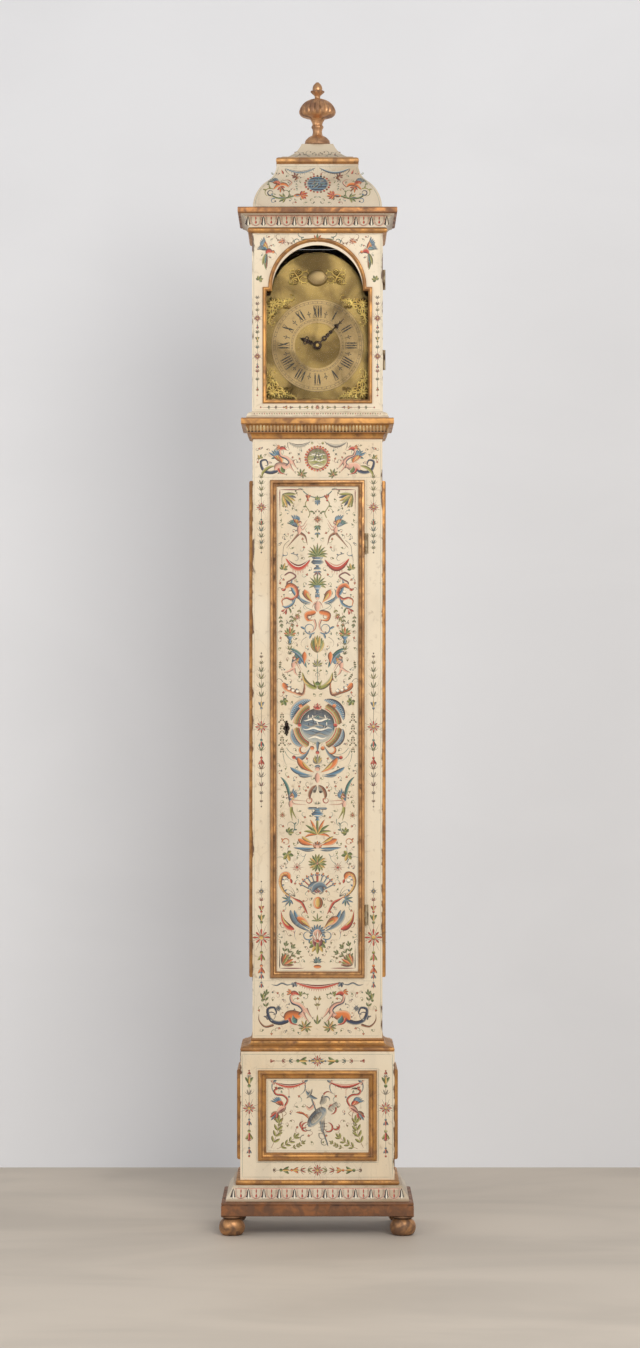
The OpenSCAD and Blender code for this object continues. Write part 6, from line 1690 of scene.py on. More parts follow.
for at, turn in ((-30 + 340j, 50), (-100 + 340j, -50)):
    b.scroll(at, -90 + turn / 2, 34, -turn * 2, "slate", 2.4, 0, 1.2, None)
    b.fan(at, 30, 200, 3, 10, 4, ("flesh", "slate"))
b.line(np.linspace(-64 + 328j, -64 + 308j, 6), 0.7, "red", 2)
b.dot(-64 + 307j, 1.8, "slate")
crane(b, -82 + 280j, 50)
for at, heading, length in ((-104 + 192j, 62, 62), (-92 + 190j, 20, 50), (-60 + 192j, 12, 30),
                            (-84 + 218j, 80, 26)):
    spray(b, at, heading, length, 24, "olive", 4)
b.both = False
# The trophy: a pole with a crescent axe, arrows, a shield and a plumed helmet, knotted with red ribbons
b.form(spline(-20 + 322j, 0 + 266j, 24 + 196j), 1.6, "slate", even, 5)
b.form(curl(-26 + 322j, -70, 34, 70), 6.5, "slate", swell, 6)
b.form(curl(-12 + 326j, -100, 26, -40), 4, "grey", swell, 6)
for k in range(5):
    b.form(curl(-16 + (266 - 3 * k) * 1j, 168 - 9 * k, 34 - 2 * k), 1.9, ("orange", "red")[k % 2], drop, 4)
b.form(spline(-26 + 288j, -18 + 280j, -8 + 290j, -14 + 302j), 6, "flesh", swell, 4)
b.form(spline(26 + 276j, 36 + 286j, 46 + 292j), 9, "grey", even, 5, 0.62)
for k in range(4):
    b.line(np.linspace(28 + 280j + 4.6 * k + 3j * k, 34 + 274j + 4.6 * k + 3j * k, 3), 0.7, "ink", 7)
b.form(spline(-20 + 240j, -8 + 256j, 8 + 272j, 18 + 282j, steps=20), 24, "slate", disc, 7, 0.6)
b.form(spline(-14 + 248j, -3 + 260j, 10 + 273j, steps=16), 12, "grey", disc, 9, 0.6)
for k in range(8):
    b.lay(curl(-15 + 4 * k + (240 + 5 * k) * 1j, 128, 15, -40), 0.9, "ink", drop, 10)
b.form(spline(6 + 290j, 14 + 300j, 12 + 312j), 12, "grey", swell, 8, 0.58)
b.form(curl(16 + 306j, 40, 18, -150), 2.6, "slate", taper, 9)
b.form(curl(14 + 312j, 70, 22, -120), 2.6, "red", taper, 8)
b.dot(10 + 306j, 1.4, "ink", 10)
for k in range(4):
    b.form(curl(6 + 3.5 * k + 262j, -84 - 4 * k, 34), 2.6, ("slate", "grey")[k % 2], drop, 6)
    b.line(np.linspace(2 + (246 - 7 * k) * 1j, 22 + (248 - 7 * k) * 1j, 4), 0.7, "ink", 9)
for at, heading, length, turn in ((30 + 268j, 10, 44, 250), (24 + 250j, -20, 40, -230), (32 + 240j, -60, 30, 200),
                                  (-22 + 250j, 180, 40, 230), (-24 + 240j, 215, 30, -220)):
    b.form(curl(at, heading, length, turn, 1.3), 3.2, "red", swell, 4)
for at, heading, turn in ((-14 + 234j, 215, -280), (-30 + 222j, 190, 260), (4 + 226j, -110, 250),
                          (10 + 212j, 240, 280)):
    b.scroll(at, heading, 34, turn, "grey", 1.8, 0, 1.3, None)
b.both = True
b.fill(x0 + 26, z0 + 26, -8, z1 - 40, 7.0, 120)
paint_object(b, "base_painting", "case")

# %% [markdown]
# ## The hood
# Birds fill the corners over the arch, and short chains run down the narrow stiles. The bell carries
# trumpets, red flowers on green stems and a blue medallion. Its strokes lie on the bell's own curve.

# %% Hood painting
b = Brush(on_front(HOOD_FRONT), 11)
border(b, HOOD_HALF - 4, door_low[2] + 3, door_high[2] - 3, 0.68, 40, 20)
bird(b, -110 + 2212j, 40)
b.star(-78 + 2234j, 9, "red", "brown", "orange", 6)
b.fan(-78 + 2234j, 200, 120, 3, 11, 4, ("flesh", "orange"))
b.scroll(-70 + 2232j, -30, 30, 230, "brown", 1.2, 2, 1.6, None)
b.scroll(-84 + 2236j, 170, 26, -230, "brown", 1.2, 1, 1.6, None)
b.scroll(-52 + 2230j, 100, 26, -280, "teal", 2, 1, 1.3, "slate")
b.scroll(-30 + 2243j, 190, 30, -220, "teal", 1.8, 1, 1.5, "red")
b.fan(2234j, 90, 175, 7, 17, 3.6, ("green", "olive", "orange"))
b.form(curl(-4 + 2236j, 168, 34, 20), 2.2, "green", swell, 3)
b.fan(-132 + 2146j, 60, 170, 5, 12, 4.4, ("green", "olive"))
stile = -(HOOD_HALF + SIGHT + MEMBER) / 2
chain(b, stile + 2104j, -90, "0 v 8 grey, 14 v 8 plum, 28 v 7 olive, 44 star 9 red, 60 bell 8 slate, "
      "78 v 8 green, 96 cup 11 green, 112 v 8 teal, 130 star 9 red, 148 bell 9 slate, 166 v 8 red, "
      "184 v 7 green, 200 bell 8 olive, 218 dot 1.4 red")
rail = (door_low[2] + SILL - MEMBER) / 2
b.star(rail * 1j, 6.5, "red", "brown", "orange", 6)
chain(b, rail * 1j, 180, "14 v 6 olive, 28 cup 8 green, 42 v 6 olive, 56 bell 7 teal, 76 cup 9 red, "
      "96 v 6 brown, 112 v 6 green, 128 dot 1.4 red")
b.fill(-128, 2196, -96, 2244, 4.6, 60)
paint_object(b, "hood_door_painting", "hood_door")


def along_profile(profile, front):
    """Turns x, z on a moulding's face into a point on its own curve, and lifts square to it."""
    out, level = np.array([p[0] for p in profile], float), np.array([p[1] for p in profile], float)

    def place(x, z, lift):
        i = int(np.clip(np.searchsorted(level, z) - 1, 0, len(level) - 2))
        share = (z - level[i]) / max(level[i + 1] - level[i], 1e-6)
        slope = np.array((level[i + 1] - level[i], out[i] - out[i + 1]))
        slope /= max(np.hypot(*slope), 1e-6)
        reach = out[i] + (out[i + 1] - out[i]) * share
        return x, front - reach - lift * slope[0], z + lift * slope[1]
    return place


b = Brush(along_profile([(-x, BELL_Z + z) for x, z in BELL], BELL_FRONT), 13)
edge = BELL_HALF - 5
b.line(np.linspace(-edge + (BELL_Z + 5) * 1j, (BELL_Z + 5) * 1j, 30), 0.7, "teal", 1, 0.65)
b.line(np.linspace(-edge + 56 + (BELL_Z + 104) * 1j, (BELL_Z + 104) * 1j, 20), 0.7, "teal", 1, 0.65)
b.line(spline(*[complex(-edge + np.interp(z, [p[1] for p in BELL], [p[0] for p in BELL]), BELL_Z + z) for z in
                (5, 20, 38, 54, 68, 84, 104)], steps=36), 0.7, "teal", 1, 0.65)
b.swag(-74 + 2407j, -4 + 2408j, 13, "slate", 14, 0.42)
b.tendril(-74 + 2406j, -70, 22, 50, 1.8, 1.2)
b.form(curl(-82 + 2404j, -66, 12), 3.6, "red", drop, 3)
berries(b, 2367j, 28, 21, 22, 2.4, ("red", "brown"))
b.both = False
for k in range(-7, 8):
    half_w = 25 * math.sqrt(1 - (k / 7.6) ** 2)
    b.lay(np.linspace(-half_w, half_w, 9) + (2367 + 2.5 * k) * 1j, 3.2,
          ("navy", "blue", "slate")[k % 3], even, 5, 0.34)
for k in range(16):
    foot = 2367j + complex(b.random.uniform(-19, 15), b.random.uniform(-12, 11))
    b.lay(curl(foot, b.random.uniform(-30, 60), 12, 60), 2.2, ("ink", "blue", "teal", "grey")[k % 4], swell, 7)
b.both = True
b.form(spline(-52 + 2376j, -46 + 2384j, -54 + 2390j), 5, "brown", swell, 4)
b.fan(-50 + 2386j, 100, 200, 5, 12, 3, ("plum", "brown"))
# A winged beast, with a trumpet flower below it and blue scrolls in the corner
b.form(spline(-100 + 2352j, -88 + 2364j, -74 + 2366j, -64 + 2358j), 8, "orange", swell, 4)
b.form(spline(-66 + 2360j, -58 + 2370j, -66 + 2378j, -78 + 2376j), 3, "flesh", taper, 5)
b.wing(-84 + 2364j, 150, 30, -1, ("orange", "red", "slate"))
b.fan(-84 + 2360j, -70, 110, 4, 17, 3.4, ("red", "orange", "brown"))
b.scroll(-100 + 2354j, 160, 46, 270, "olive", 2, 2, 1.4, None)
b.scroll(-108 + 2362j, 120, 34, -250, "green", 1.6, 1, 1.4, "red")
b.form(spline(-104 + 2338j, -92 + 2332j, -74 + 2331j, -52 + 2337j), 2.6, "green", even, 3)
b.scroll(-66 + 2334j, 60, 34, 240, "green", 1.8, 2, 1.5, None)
b.fan(-72 + 2332j, 180, 120, 5, 20, 3.4, ("green", "olive", "slate"))
b.form(curl(-54 + 2337j, 6, 18), 7.5, "orange", swell, 4)
b.form(curl(-50 + 2337j, 6, 10), 3, "slate", swell, 6)
b.fan(-38 + 2338j, 8, 130, 6, 18, 4.4, ("orange", "red"), level=5)
b.scroll(-104 + 2338j, 190, 34, -330, "navy", 2.8, 0, 1.1, "blue")
b.scroll(-96 + 2330j, 150, 24, 280, "blue", 2.2, 0, 1.1, "navy")
b.fill(-104, 2322, -6, 2398, 5.0, 260)
paint_object(b, "bell_painting", "hood")

low, high = box("caddy_cap")
b = Brush(along_profile([(-x, low[2] + z) for x, z in CAP], low[1]), 15)
for x, z, heading, length, turn in ((-52, 5, 10, 30, 230), (-16, 6, 165, 30, -230), (-30, 10, 100, 18, 200),
                                    (-12, 12, 60, 16, -200)):
    b.scroll(complex(x, low[2] + z), heading, length, turn, "grey", 1.4, 2, 1.6, "red")
paint_object(b, "cap_painting", "hood")
low, high = box("hood_base_moulding")
out = high[0] - HOOD_HALF - 1.3
round_face = [(out * math.cos(t), low[2] + 4.4 + (high[2] - low[2] - 6) * math.sin(t)) for t in np.linspace(0, 1.5,
        7)]
b = Brush(along_profile(round_face, HOOD_FRONT), 16)
for k in range(26):
    at = complex(-(k + 0.5) * 5.6, low[2] + 6.5)
    b.lay(curl(at, 62, 7, 40), 2.2, ("red", "plum", "green")[k % 3], drop, 2, 0.56)
    b.lay(curl(at + 2.4, 90, 5), 0.8, "ink", taper, 1, 0.6)
paint_object(b, "hood_base_leaves", "hood")


# %% [markdown]
# ## Tongue borders
# The two painted mouldings carry a row of tongues with a red drop in each and dark hollows between. It is
# a pattern with a pitch, so a loop counts how many fit, as the painter did.

# %% Tongues
def tongues(b, half, low, high, pitch, drop_h):
    b.both = False
    count = int(half * 2 / pitch)
    b.lay(np.linspace(complex(-half, high - 1.5), complex(half, high - 1.5), 60), 3, "flesh", even, 1, 0.4)
    for k in range(count):
        x = (k - (count - 1) / 2) * pitch
        mid, r = (low + high) / 2, pitch * 0.36
        loop = [complex(x - r, high)] + [complex(x + r * math.cos(t), low + r + r * math.sin(t))
                                         for t in np.linspace(math.pi, 2 * math.pi, 9)] + [complex(x + r, high)]
        b.form(np.array(loop), 1.5, "flesh", even, 3, outline=0.35)
        b.lay(np.array([complex(x + (p.real - x) * 0.78, p.imag + (1.6 if p.imag < mid else 0)) for p in loop]),
              0.6, "plum",
              even, 2, 0.6)
        b.form(curl(complex(x, high - 2), -90, drop_h * 0.45), 2.6, "red", swell, 4, outline=0.25)
        b.form(curl(complex(x, high - 2 - drop_h * 0.42), -90, drop_h * 0.5), 4.4, "red", drop, 4, outline=0.3)
        for side in (-0.5, 0.5):
            foot = complex(x + side * pitch, low + 1)
            b.lay(np.linspace(foot, foot + 1j * (high - low - 2), 7), pitch * 0.44, "ink", taper, 1, 0.45)
            b.lay(np.linspace(foot, foot + 1j * (high - low - 4), 7), pitch * 0.13, "cream", taper, 3, 0.5)


b = Brush(along_profile(FRIEZE, HOOD_FRONT), 17)
tongues(b, HOOD_HALF + 12, FRIEZE[0][1] + 3, FRIEZE[-1][1] - 1, 34.7, 17)
paint_object(b, "hood_frieze_tongues", "hood")
b = Brush(along_profile(OGEE, BASE_FRONT), 19)
tongues(b, BASE_HALF + 16, OGEE[0][1] + 1, OGEE[-1][1] - 2, 34.3, 20)
paint_object(b, "plinth_tongues", "case")

# %% [markdown]
# ## Figures on the chapter ring
# The hours are engraved in the brass and filled with black wax. They are Roman, stand with their feet to
# the centre, and four is written with four strokes, as clockmakers do. The brush works in the ring's own
# directions here: x runs round the ring and z runs outward.

# %% Hour figures
low, high = box("chapter_ring")
RING_FRONT, AXIS_Z, RING_R = low[1], (low[2] + high[2]) / 2, high[0]
g, shader = material("black_wax", "iron")
feed(g, shader, Base_Color=g.mix(g.step(g.noise(g.where(), 300, 4), 0.45, 0.7), srgb(34, 29, 25), srgb(92, 76, 52)),
     Roughness=0.6)


def on_ring(turn):
    """Sends x along the ring and z outward, at an hour's own turn."""
    c, s = math.cos(math.radians(turn)), math.sin(math.radians(turn))
    return lambda x, z, lift: (x * c + z * s, RING_FRONT - 0.04 - 0.25 * max(lift, 0), AXIS_Z - x * s + z * c)


def hour_figure(b, text, low, high):
    widths = {"I": 5.4, "V": 10.5, "X": 10.5}
    x = -sum(widths[c] for c in text) / 2
    middle = (low + high) / 2 * 1j
    for letter in text:
        w = widths[letter]
        x += w / 2
        foot, head = x + 1j * low, x + 1j * high
        if letter == "I":
            b.lay(np.linspace(foot, head, 6), 3.0, "ink", even)
        elif letter == "V":
            b.lay(np.linspace(head - w * 0.34, foot, 6), 3.2, "ink", even)
            b.lay(np.linspace(head + w * 0.34, foot, 6), 1.2, "ink", even)
        else:
            b.lay(np.linspace(head - w * 0.34, foot + w * 0.34, 6), 3.2, "ink", even)
            b.lay(np.linspace(head + w * 0.34, foot - w * 0.34, 6), 1.2, "ink", even)
        for end in ([head] if letter == "V" else [head, foot]):
            b.lay(np.linspace(end - w * 0.5, end + w * 0.5, 5), 0.75, "ink", even, 2)
        x += w / 2


b = Brush(on_ring(0))
b.both = False
for hour, text in enumerate(("XII", "I", "II", "III", "IIII", "V", "VI", "VII", "VIII", "IX", "X", "XI")):
    b.place = on_ring(30 * hour)
    b.laid.clear()
    hour_figure(b, text, RING_R - 40, RING_R - 14.5)
    b.place = on_ring(30 * hour + 15)
    b.laid.clear()
    for heading, reach in ((90, 9), (45, 6), (135, 6), (-90, 7)):
        b.lay(curl((RING_R - 33) * 1j, heading, reach), 1.6, "ink", drop)
    b.lay(np.linspace(-2.4, 2.4, 5) + (RING_R - 33) * 1j, 0.7, "ink", even)
paint_object(b, "hour_figures", "case", "black_wax")

# %% [markdown]
# The rings of minutes and quarters are one small bar, repeated along circles, between turned lines.

# %% Minute and quarter rings
def circle_run(r, y, count=360):
    """A circle round the dial's middle, r wide and y deep."""
    return [(r * math.sin(2 * math.pi * i / count), y,
             AXIS_Z + r * math.cos(2 * math.pi * i / count)) for i in range(count)]


def flat_ring(r, width, y, steps=180):
    points = [(rr * math.sin(2 * math.pi * i / steps), yy, AXIS_Z + rr * math.cos(2 * math.pi * i / steps))
              for rr, yy in ((r, y + 0.2), (r, y), (r + width, y), (r + width, y + 0.2)) for i in range(steps)]
    return points, grid_faces(4, steps, wrap_rows=True, wrap_columns=True)


def ticks(name, count, r_low, r_high, width):
    """Bars across a circle; the bar lies along the path's own side axis."""
    half = (r_high - r_low) / 2
    points = [(x * width / 2, y * 0.2, z * half) for x in (-1, 1) for y in (-1, 0) for z in (-1, 1)]
    faces = [(0, 1, 3, 2), (4, 6, 7, 5), (0, 4, 5, 1), (2, 3, 7, 6), (0, 2, 6, 4), (1, 5, 7, 3)]
    r = (r_low + r_high) / 2
    repeat(name, (points, faces), [circle_run(r, RING_FRONT - 0.02)], 2 * math.pi * r / count, "black_wax", "case",
                  closed=True, pivot="Y")


ticks("minute_marks", 60, RING_R - 8.6, RING_R - 4.4, 0.9)
ticks("quarter_marks", 48, RING_R - 47.6, RING_R - 44.8, 0.8)
piece("minute_lines", *join([flat_ring(RING_R - out, 0.45, RING_FRONT - 0.08) for out in (-0.2, 4.2,
        8.8, 44.6, 47.8)]),
      "black_wax", "case")

# %% [markdown]
# ## Cast mounts
# The four corner mounts and the pair in the arch are cast brass: a shell with scrolls in relief. The same
# brush makes relief when its strokes are rounded ridges instead of ribbons, so a chisel is a brush with
# another section.

# %% Chisel
class Chisel(Brush):
    """A brush whose strokes stand up as rounded ridges: rise is their height for a width, depth their foot."""

    rise, depth = 0.6, 1.9

    def lay(self, path, width, pigment="ink", shape=swell, level=1, shade=0.5):
        if pigment == "ink" or level < 1:
            return
        s = np.linspace(0, 1, len(path))
        half = np.maximum(width / 2 * shape(s), 0.1)
        for copy in ([path, -path.conj()] if self.both else [path]):
            if not self.is_new(copy, width, level):
                continue
            along = np.gradient(copy)
            normal = 1j * along / np.maximum(np.abs(along), 1e-6)
            start = len(self.points)
            self.coats += 1
            for row, (p, n, h) in enumerate(zip(copy, normal, half)):
                for out, up in ((1, None), (0.8, 0.45), (0.35, 0.85), (0, 1), (-0.35, 0.85),
                                (-0.8, 0.45), (-1, None)):
                    side = p + n * out * h
                    lift = -self.depth if up is None else self.rise * up * min(h,
                            2.2) + 0.15 * level + 0.004 * (self.coats % 17)
                    self.points.append(self.place(side.real, side.imag, lift))
                    self.marks.append((0.5, 0.5))
                if row:
                    here = start + 7 * row
                    self.faces += [(here + c, here + c + 1, here + c - 6, here + c - 7) for c in range(6)]
            self.faces += [tuple(range(start, start + 7)), tuple(range(here, here + 7))[::-1]]


def relief_object(b, name, finish, body):
    piece(name, b.points, b.faces, finish, body, 60)


# The cast solid under the relief keeps a dark finish, as painted shade between the scrolls
low, high = box("corner_spandrels")
mount_front = low[1]
CURLS = ((18, 1, 9), (31, 5, 6.5), (41, 8.5, 4.5))
c = Chisel(on_front(mount_front))
for end, size, z in ((1, 0.92, high[2] - 14.5), (-1, 1.0, low[2] + 15.8)):
    corner = 15.8 - high[0] + 1j * z
    outward = 90 + 45 * (2 - end)
    c.fan(corner, outward, 200, 7, 15 * size, 4.4, ("gold",), fall=0.12, level=1)
    c.fan(corner, outward + 180, 150, 5, 12 * size, 3, ("gold",), level=2)
    c.dot(corner + 4.6 * toward(outward), 4.4, "gold", 4)
    for along, out in ((1, -1j * end), (-1j * end, 1)):
        stem = [corner] + [corner + size * (d * along - off * out) for d, off, r in CURLS]
        c.form(spline(*stem, steps=20), 3, "gold", taper, 1)
        for at, (d, off, r) in zip(stem[1:], CURLS):
            turn = np.radians(np.linspace(30, 350, 14))
            c.form(at + 0.68 * r * size * np.exp(1j * turn), r * 0.44, "gold", taper, 1)
            for heading in range(20, 360, 52):
                c.leaf(at + 0.6 * r * size * toward(heading), heading, r * 0.85, r * 0.34, 60, "gold", 1)
        tip = corner + size * (52 * along - 6 * out)
        c.scroll(stem[-1], np.angle(along, deg=True), 26 * size, 200 * end, "gold", 3, 3, 1.6, "gold")
        c.form(spline(stem[2], (stem[2] + tip) / 2 - 3 * out, tip), 4, "gold", taper, 1)
    for reach, heading, turn in ((24, 0, 150), (24, 0, -150), (30, 30, 120), (30, -30, -120), (18, 60, 200),
                                 (18, -60, -200)):
        foot = corner + 9 * size * toward(outward + 180 + heading)
        c.form(curl(foot, outward + 180 + heading, reach * size, turn, 1.4), 4.2, "gold", drop, 1)
relief_object(c, "corner_mounts_relief", "bright_brass", "case")

# The arch: two pierced mounts and a domed boss between them
low, high = box("arch_mounts")
BOSS_W, BOSS_H, MOUNT_R, ARCH_UP, BOSS_SHARE = 24.5, 18.5, 19.0, 104.4, 0.454
arch_z = AXIS_Z + ARCH_UP
boss_z, mount_x = arch_z + BOSS_SHARE * (box("dial_plate")[1][2] - arch_z), BOSS_W + MOUNT_R + 1
c = Chisel(on_front(mount_front))
middle = -mount_x + 1j * (boss_z + 2)
for at, heading, length, turn in ((20 + 6j, 60, 34, -250), (18 - 8j, -50, 34, 250), (6 + 14j, 150, 26, 240),
                                  (4 - 15j, 200, 26, -240)):
    c.scroll((boss_z + 2) * 1j - mount_x - 12 + at, heading, length, turn, "gold", 2.8, 2, 1.4, "gold")
for turn in (10, 100, 200, 300):
    at = middle - (0.64 * MOUNT_R * toward(turn)).conjugate()
    c.form(at + 0.25 * MOUNT_R * toward(np.linspace(20, 360, 14)), 2.4, "gold", taper, 1)
    c.leaf(middle, 180 - turn - 45, MOUNT_R * 0.7, 3, 0, "gold", 2)
c.dot(middle, 3, "gold", 3)
relief_object(c, "arch_mounts_relief", "bright_brass", "case")
points, rows, columns = [], 12, 56
# The edge is two arcs that meet in points at the left and right
round_r = (BOSS_W ** 2 + BOSS_H ** 2) / (2 * BOSS_H)
for row in range(rows):
    share = 1 - row / (rows - 1)
    for k in range(columns):
        turn = 2 * math.pi * k / columns
        lobes = 1 + 0.03 * math.cos(14 * turn) * min(1, 4 * (1 - share)) * share
        x = BOSS_W * math.cos(turn)
        z = math.copysign(math.sqrt(round_r ** 2 - x * x) - (round_r - BOSS_H), math.sin(turn))
        points.append((share * x * lobes, mount_front + 1.4 - 7 * math.sqrt(1 - share ** 2) ** 0.8,
                       boss_z + share * z * lobes))
faces = grid_faces(rows, columns, wrap_columns=True) + [tuple(range(columns))[::-1]]
piece("boss_dome", points, faces, "ring_brass", "case", 60)

# Small scrolls along both hands
HOUR_FRONT = box("hour_hand")[0][1]
for hand, turn, places in (("minute_hand", 45, (17, 29, 40, 62)), ("hour_hand", 293, (13, 22, 33))):
    front = HOUR_FRONT if hand == "hour_hand" else min(HOUR_FRONT - 2.4, box(hand)[0][1] + 3)
    around = on_ring(turn)
    c = Chisel(lambda x, z, lift: (around(x, z, 0)[0], front - lift, around(x, z, 0)[2]))
    c.rise, c.depth = 0.22, 0.9
    for k, z in enumerate(places):
        c.scroll(1.2 + z * 1j, 40, 20 - 3 * k, 300, "gold", 2.8, 1, 1.3, "gold")
        c.scroll(1.2 + (z + 4) * 1j, -30, 12, -260, "gold", 2.0, 0, 1.3, None)
    relief_object(c, hand + "_scrolls", "blued_steel", hand)

# %% [markdown]
# ## The rope
# One endless hemp rope runs over both sprockets, down to the weight's pulley and down to the ring weight.
# It is laid from three strands, so we wind three thin tubes round one closed path. The path is cut into
# three pieces where the solids are cut: one stays on the sprockets, and the two loops are built as they
# hang at rest and do not move with their weights.

# %% Laid rope
over_low, over_high = box("rope_over_sprockets")
drive_low, drive_high = box("rope_drive_loop")
return_low = box("rope_return_loop")[0]
ROPE_R = (drive_high[0] - drive_low[0]) / 2
RUN_X, NEAR_Y, FAR_Y, TOP_Z = over_high[0] - ROPE_R, over_low[1] + ROPE_R, over_high[1] - ROPE_R, over_low[2]
BIGHT = (FAR_Y - NEAR_Y) / 2
STEP, LAY, STRANDS, SIDES = 1.4, 17.0, 3, 6


def straight(a, b):
    a, b = np.array(a, float), np.array(b, float)
    count = int(np.linalg.norm(b - a) / STEP)
    return [a + (b - a) * i / count for i in range(count)]


def half_turn(middle, first, last, r):
    """Half a circle from middle + first towards last, both unit vectors."""
    count = int(math.pi * r / STEP)
    turns = [math.pi * i / count for i in range(count)]
    return [np.array(middle) + r * (math.cos(t) * np.array(first) + math.sin(t) * np.array(last)) for t in turns]


def hanging(x, y_from, y_to, low):
    side = (y_to - y_from) / abs(y_to - y_from)
    level = low + ROPE_R + BIGHT
    return (straight((x, y_from, TOP_Z), (x, y_from, level))
            + half_turn((x, (y_from + y_to) / 2, level), (0, -side, 0), (0, 0, -1), BIGHT)
            + straight((x, y_to, level), (x, y_to, TOP_Z)))


RUNS = [half_turn((0, NEAR_Y, TOP_Z), (-1, 0, 0), (0, 0, 1), RUN_X), hanging(RUN_X, NEAR_Y, FAR_Y, return_low[2]),
        half_turn((0, FAR_Y, TOP_Z), (1, 0, 0), (0, 0, 1), RUN_X), hanging(-RUN_X, FAR_Y, NEAR_Y, drive_low[2])]
route = np.array([p for run in RUNS for p in run])
ahead = np.roll(route, -1, 0) - np.roll(route, 1, 0)
ahead /= np.linalg.norm(ahead, axis=1)[:, None]
side = np.empty_like(route)
side[0] = (0, 1, 0)
for i in range(1, len(route)):
    side[i] = side[i - 1] - ahead[i] * side[i - 1].dot(ahead[i])
    side[i] /= np.linalg.norm(side[i])
up = np.cross(ahead, side)
turns = round(len(route) * STEP / LAY)
drift = math.atan2(side[0].dot(up[-1]), side[0].dot(side[-1]))
phase = np.arange(len(route)) / len(route) * (2 * math.pi * turns - drift)
# Three circles that touch fit in a circle of 2.155 times their radius; PRESSED makes up for their flat sides
strand_r, PRESSED = ROPE_R / 2.155, 1.06


def laid_rope(name, spans, body=None):
    """Three strands over each span of the route, given as first and last index."""
    parts = []
    for start, end in spans:
        index = np.arange(start, end + 1) % len(route)
        for strand in range(STRANDS):
            angle = phase[index] + 2 * math.pi * strand / STRANDS
            out = np.cos(angle)[:, None] * side[index] + np.sin(angle)[:, None] * up[index]
            across = np.cross(ahead[index], out)
            middle = route[index] + out * (ROPE_R - strand_r)
            points = [middle + strand_r * PRESSED * (math.cos(turn) * out + math.sin(turn) * across)
                      for turn in [2 * math.pi * k / SIDES for k in range(SIDES)]]
            points = np.stack(points, 1).reshape(-1, 3)
            parts.append(([tuple(p) for p in points], tube_faces(len(index), SIDES)))
    return piece(name, *join(parts), "hemp", body, 70)


cuts = np.cumsum([0] + [len(run) for run in RUNS])
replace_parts(laid_rope("rope_on_sprockets", [(cuts[0], cuts[1]), (cuts[2], cuts[3])], "case"), "rope_over_sprockets")
for name, node, first, x, body in (("rope_return", "rope_return_loop", 1, RUN_X, "ring_weight"),
                                   ("rope_drive", "rope_drive_loop", 3, -RUN_X, "weight")):
    rope = laid_rope(name, [(cuts[first], cuts[first + 1])])
    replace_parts(rope, node)
    low_z = min(p[2] for p in RUNS[first]) + BIGHT
    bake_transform(rope)
print("rope route", round(len(route) * STEP / 1000, 2), "m,", turns, "turns of lay")

# %% [markdown]
# ## The sides
# The photograph does not show the sides. They are painted in the manner of the front, but plainer, as
# such cases were: a chain down the middle, scrolls at its ends and a cloth under the top.

# %% Side paintings
SIDE_SEED = 31
for body, name, half, front, z_low, z_high in (("case", "trunk_side", TRUNK_HALF, TRUNK_FRONT, 600, 1676),
                                               ("case", "base_side", BASE_HALF, BASE_FRONT, 200, 336),
                                               ("hood", "hood_side", hood_high[0], hood_low[1], 1880, 2240)):
    middle, height, reach = (front + BACK) / 2, z_high - z_low, min(60, (BACK - front) / 2 - 34)
    count = max(1, int(height / 260))
    for x in (-1, 1):
        b = Brush(lambda u, z, lift: (x * (half + lift), middle + x * u, z), SIDE_SEED)
        b.swag(complex(-reach, z_high - 8), complex(reach, z_high - 8), 16, "red", 15, 0.5)
        b.fan(complex(-reach, z_high - 8), -80, 130, 4, 13, 4.6, ("slate", "navy"))
        for k in range(count):
            z = z_high - height * (k + 0.5) / count
            b.star(z * 1j, 15, "red", "brown", "yellow")
            for end in (-1, 1):
                b.scroll(end * 16j + z * 1j, 180 - 40 * end, 62, 250 * end, "teal", 2.4, 3, 1.5, "red")
                b.scroll(end * 30j + z * 1j, 90 * end + 30, 40, 250 * end, "olive", 1.8, 2, 1.6, "slate")
                b.bell(end * 22j + z * 1j, 90 * end, 20, "green", "red")
                spray(b, end * 46j + z * 1j, 90 * end, 26, 0, "olive", 3, "orange")
            if k:
                chain(b, 1j * (z + height / count - 62), -90, "0 v 10 green, 14 v 11 olive, 32 bell 15 slate, "
                      "60 v 10 green, 76 v 8 olive")
        b.fan(z_low * 1j, 90, 150, 7, 22, 4.4, ("green", "olive", "orange"))
        b.fill(-reach, z_low, -2, z_high - 26, 8.5, int(height * 0.5))
        paint_object(b, name + ("_left" if x < 0 else "_right"), body)

# %% [markdown]
# ## Finishes on the solids that keep their own shape
# The movement, the doors, the hinges and the hands are right as they were built. Each takes the finish of
# its real material, and a narrow bevel so that its edges catch the light. The dial's brass is also darkened
# as painted shade of the hood, and the mounts' ground is dark as painted shade between their scrolls.

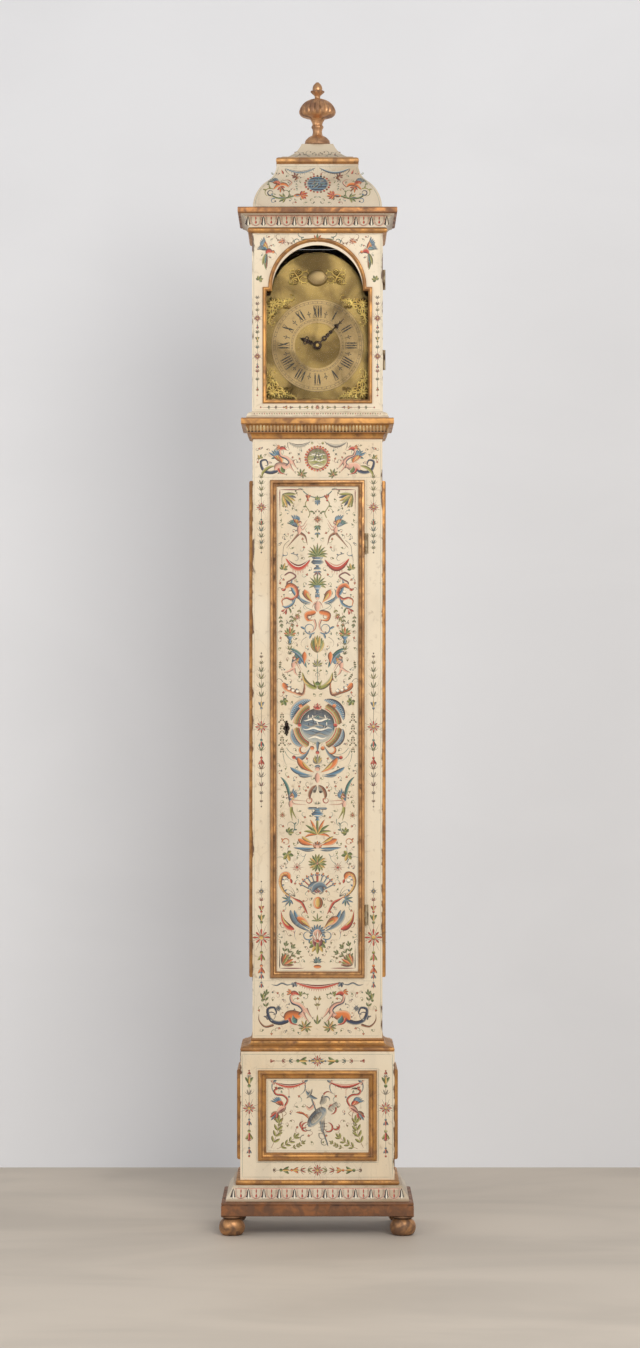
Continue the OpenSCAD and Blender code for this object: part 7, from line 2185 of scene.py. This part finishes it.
# %% Finishes on solids
FINISHES = {
    "cream_trunk_door": ["trunk_door"],
    "cream_base": ["base_box"],
    "cream_trunk": ["trunk_carcase"],
    "cream_hood": ["hood_carcase"],
    "cream_hood_door": ["hood_door"],
    "oak": ["backboard", "seatboard"],
    "iron": ["trunk_lock", "escutcheon"],
    "painted_iron": ["trunk_hinge_leaves", "trunk_door_knuckles", "hood_hinge_leaves", "hood_door_knuckles"],
    "glass": ["hood_glass"],
    # The dial's brass carries painted shade of the hood
    "dial_brass": ["dial_plate"],
    "ring_brass": ["chapter_ring"],
    # The mounts' ground is dark as painted shade between the relief
    "mount_painted_shade": ["corner_spandrels", "arch_mounts"],
    "movement_brass": ["front_plate", "back_plate", "plate_pillars", "dial_feet", "great_wheel", "winding_sprocket",
                       "second_wheel", "cannon_wheel", "minute_wheel", "hour_wheel", "drive_wheel", "pendulum_bob",
                       "weight_pulley", "ring_weight", "driving_weight"],
    "plain_steel": ["escape_wheel", "anchor", "back_cock", "pendulum_rod", "rating_nut"],
    "blued_steel": ["hour_hand", "minute_hand"],
}
EDGE_W, SHARPER_THAN = 0.3, 40
for finish, nodes in FINISHES.items():
    for node in nodes:
        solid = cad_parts[node]
        solid.data.materials.clear()
        solid.data.materials.append(MATERIALS[finish][0])
        if finish != "glass":
            bevel = solid.modifiers.new("edges", "BEVEL")
            bevel.width = EDGE_W * MM
            bevel.segments = 1
            bevel.limit_method = "ANGLE"
            bevel.angle_limit = math.radians(SHARPER_THAN)
print("solids finished:", sum(len(n) for n in FINISHES.values()))

# %% [markdown]
# ## Light, floor and wall
# One large soft source stands at the front right and a weaker one at the left, so the shadow falls softly to
# the left of the clock. The floor and the wall are plain and pale.

# %% Stage
def stage_plane(name, corners, colour, rough, shade):
    mesh = bpy.data.meshes.new(name)
    mesh.from_pydata(corners, [], [(0, 1, 2, 3)])
    obj = add_object(name, mesh)
    made = bpy.data.materials.new(name)
    made.use_nodes = True
    g = Graph(made.node_tree)
    shader = made.node_tree.nodes["Principled BSDF"]
    place = g.where()
    cloud = g.step(g.noise(g.where((0.5, 1, 1)), 2.2, 8, 0.6), 0.35, 0.65)
    colour = g.mix(cloud, colour, shaded(colour, shade))
    feed(g, shader, Base_Color=colour, Roughness=rough)
    # From behind, the wall is clear, so that the clock's back can be looked at
    clear = g.make("ShaderNodeMixShader", {0: g.make("ShaderNodeNewGeometry").outputs["Backfacing"],
                                           1: shader.outputs[0],
                                           2: g.make("ShaderNodeBsdfTransparent").outputs[0]})
    g.tree.links.new(clear.outputs[0], made.node_tree.nodes["Material Output"].inputs["Surface"])
    mesh.materials.append(made)


HALF_STAGE, NEAR, WALL_Y, STAGE_H = 5, -9, 1.05, 5
stage_plane("floor", [(-HALF_STAGE, NEAR, 0), (HALF_STAGE, NEAR, 0), (HALF_STAGE, WALL_Y, 0),
                      (-HALF_STAGE, WALL_Y, 0)],
            srgb(206, 194, 178), 0.6, 0.84)
stage_plane("wall", [(-HALF_STAGE, WALL_Y, 0), (HALF_STAGE, WALL_Y, 0), (HALF_STAGE, WALL_Y, STAGE_H),
            (-HALF_STAGE, WALL_Y, STAGE_H)], srgb(233, 233, 234), 0.9, 0.975)


def lamp(name, place, aim, size, watts, colour):
    data = bpy.data.lights.new(name, "AREA")
    data.shape = "RECTANGLE"
    data.size, data.size_y = size
    data.energy = watts
    data.color = colour
    obj = add_object(name, data)
    obj.location = place
    obj.rotation_euler = (Vector(aim) - Vector(place)).to_track_quat("-Z", "Y").to_euler()


lamp("key", (1.3, -4.4, 3.1), (0, 0, 1.3), (2.2, 2.2), 128, (1.0, 0.98, 0.95))
lamp("fill", (-3.0, -3.6, 1.8), (0, 0, 1.2), (2.0, 2.6), 42, (0.97, 0.98, 1.0))
world = bpy.data.worlds.new("world")
world.use_nodes = True
sky = world.node_tree.nodes["Background"].inputs
sky[0].default_value, sky[1].default_value = (0.93, 0.95, 1.0, 1), 0.55
bpy.context.scene.world = world
print("lamps: key, fill and a plain world")
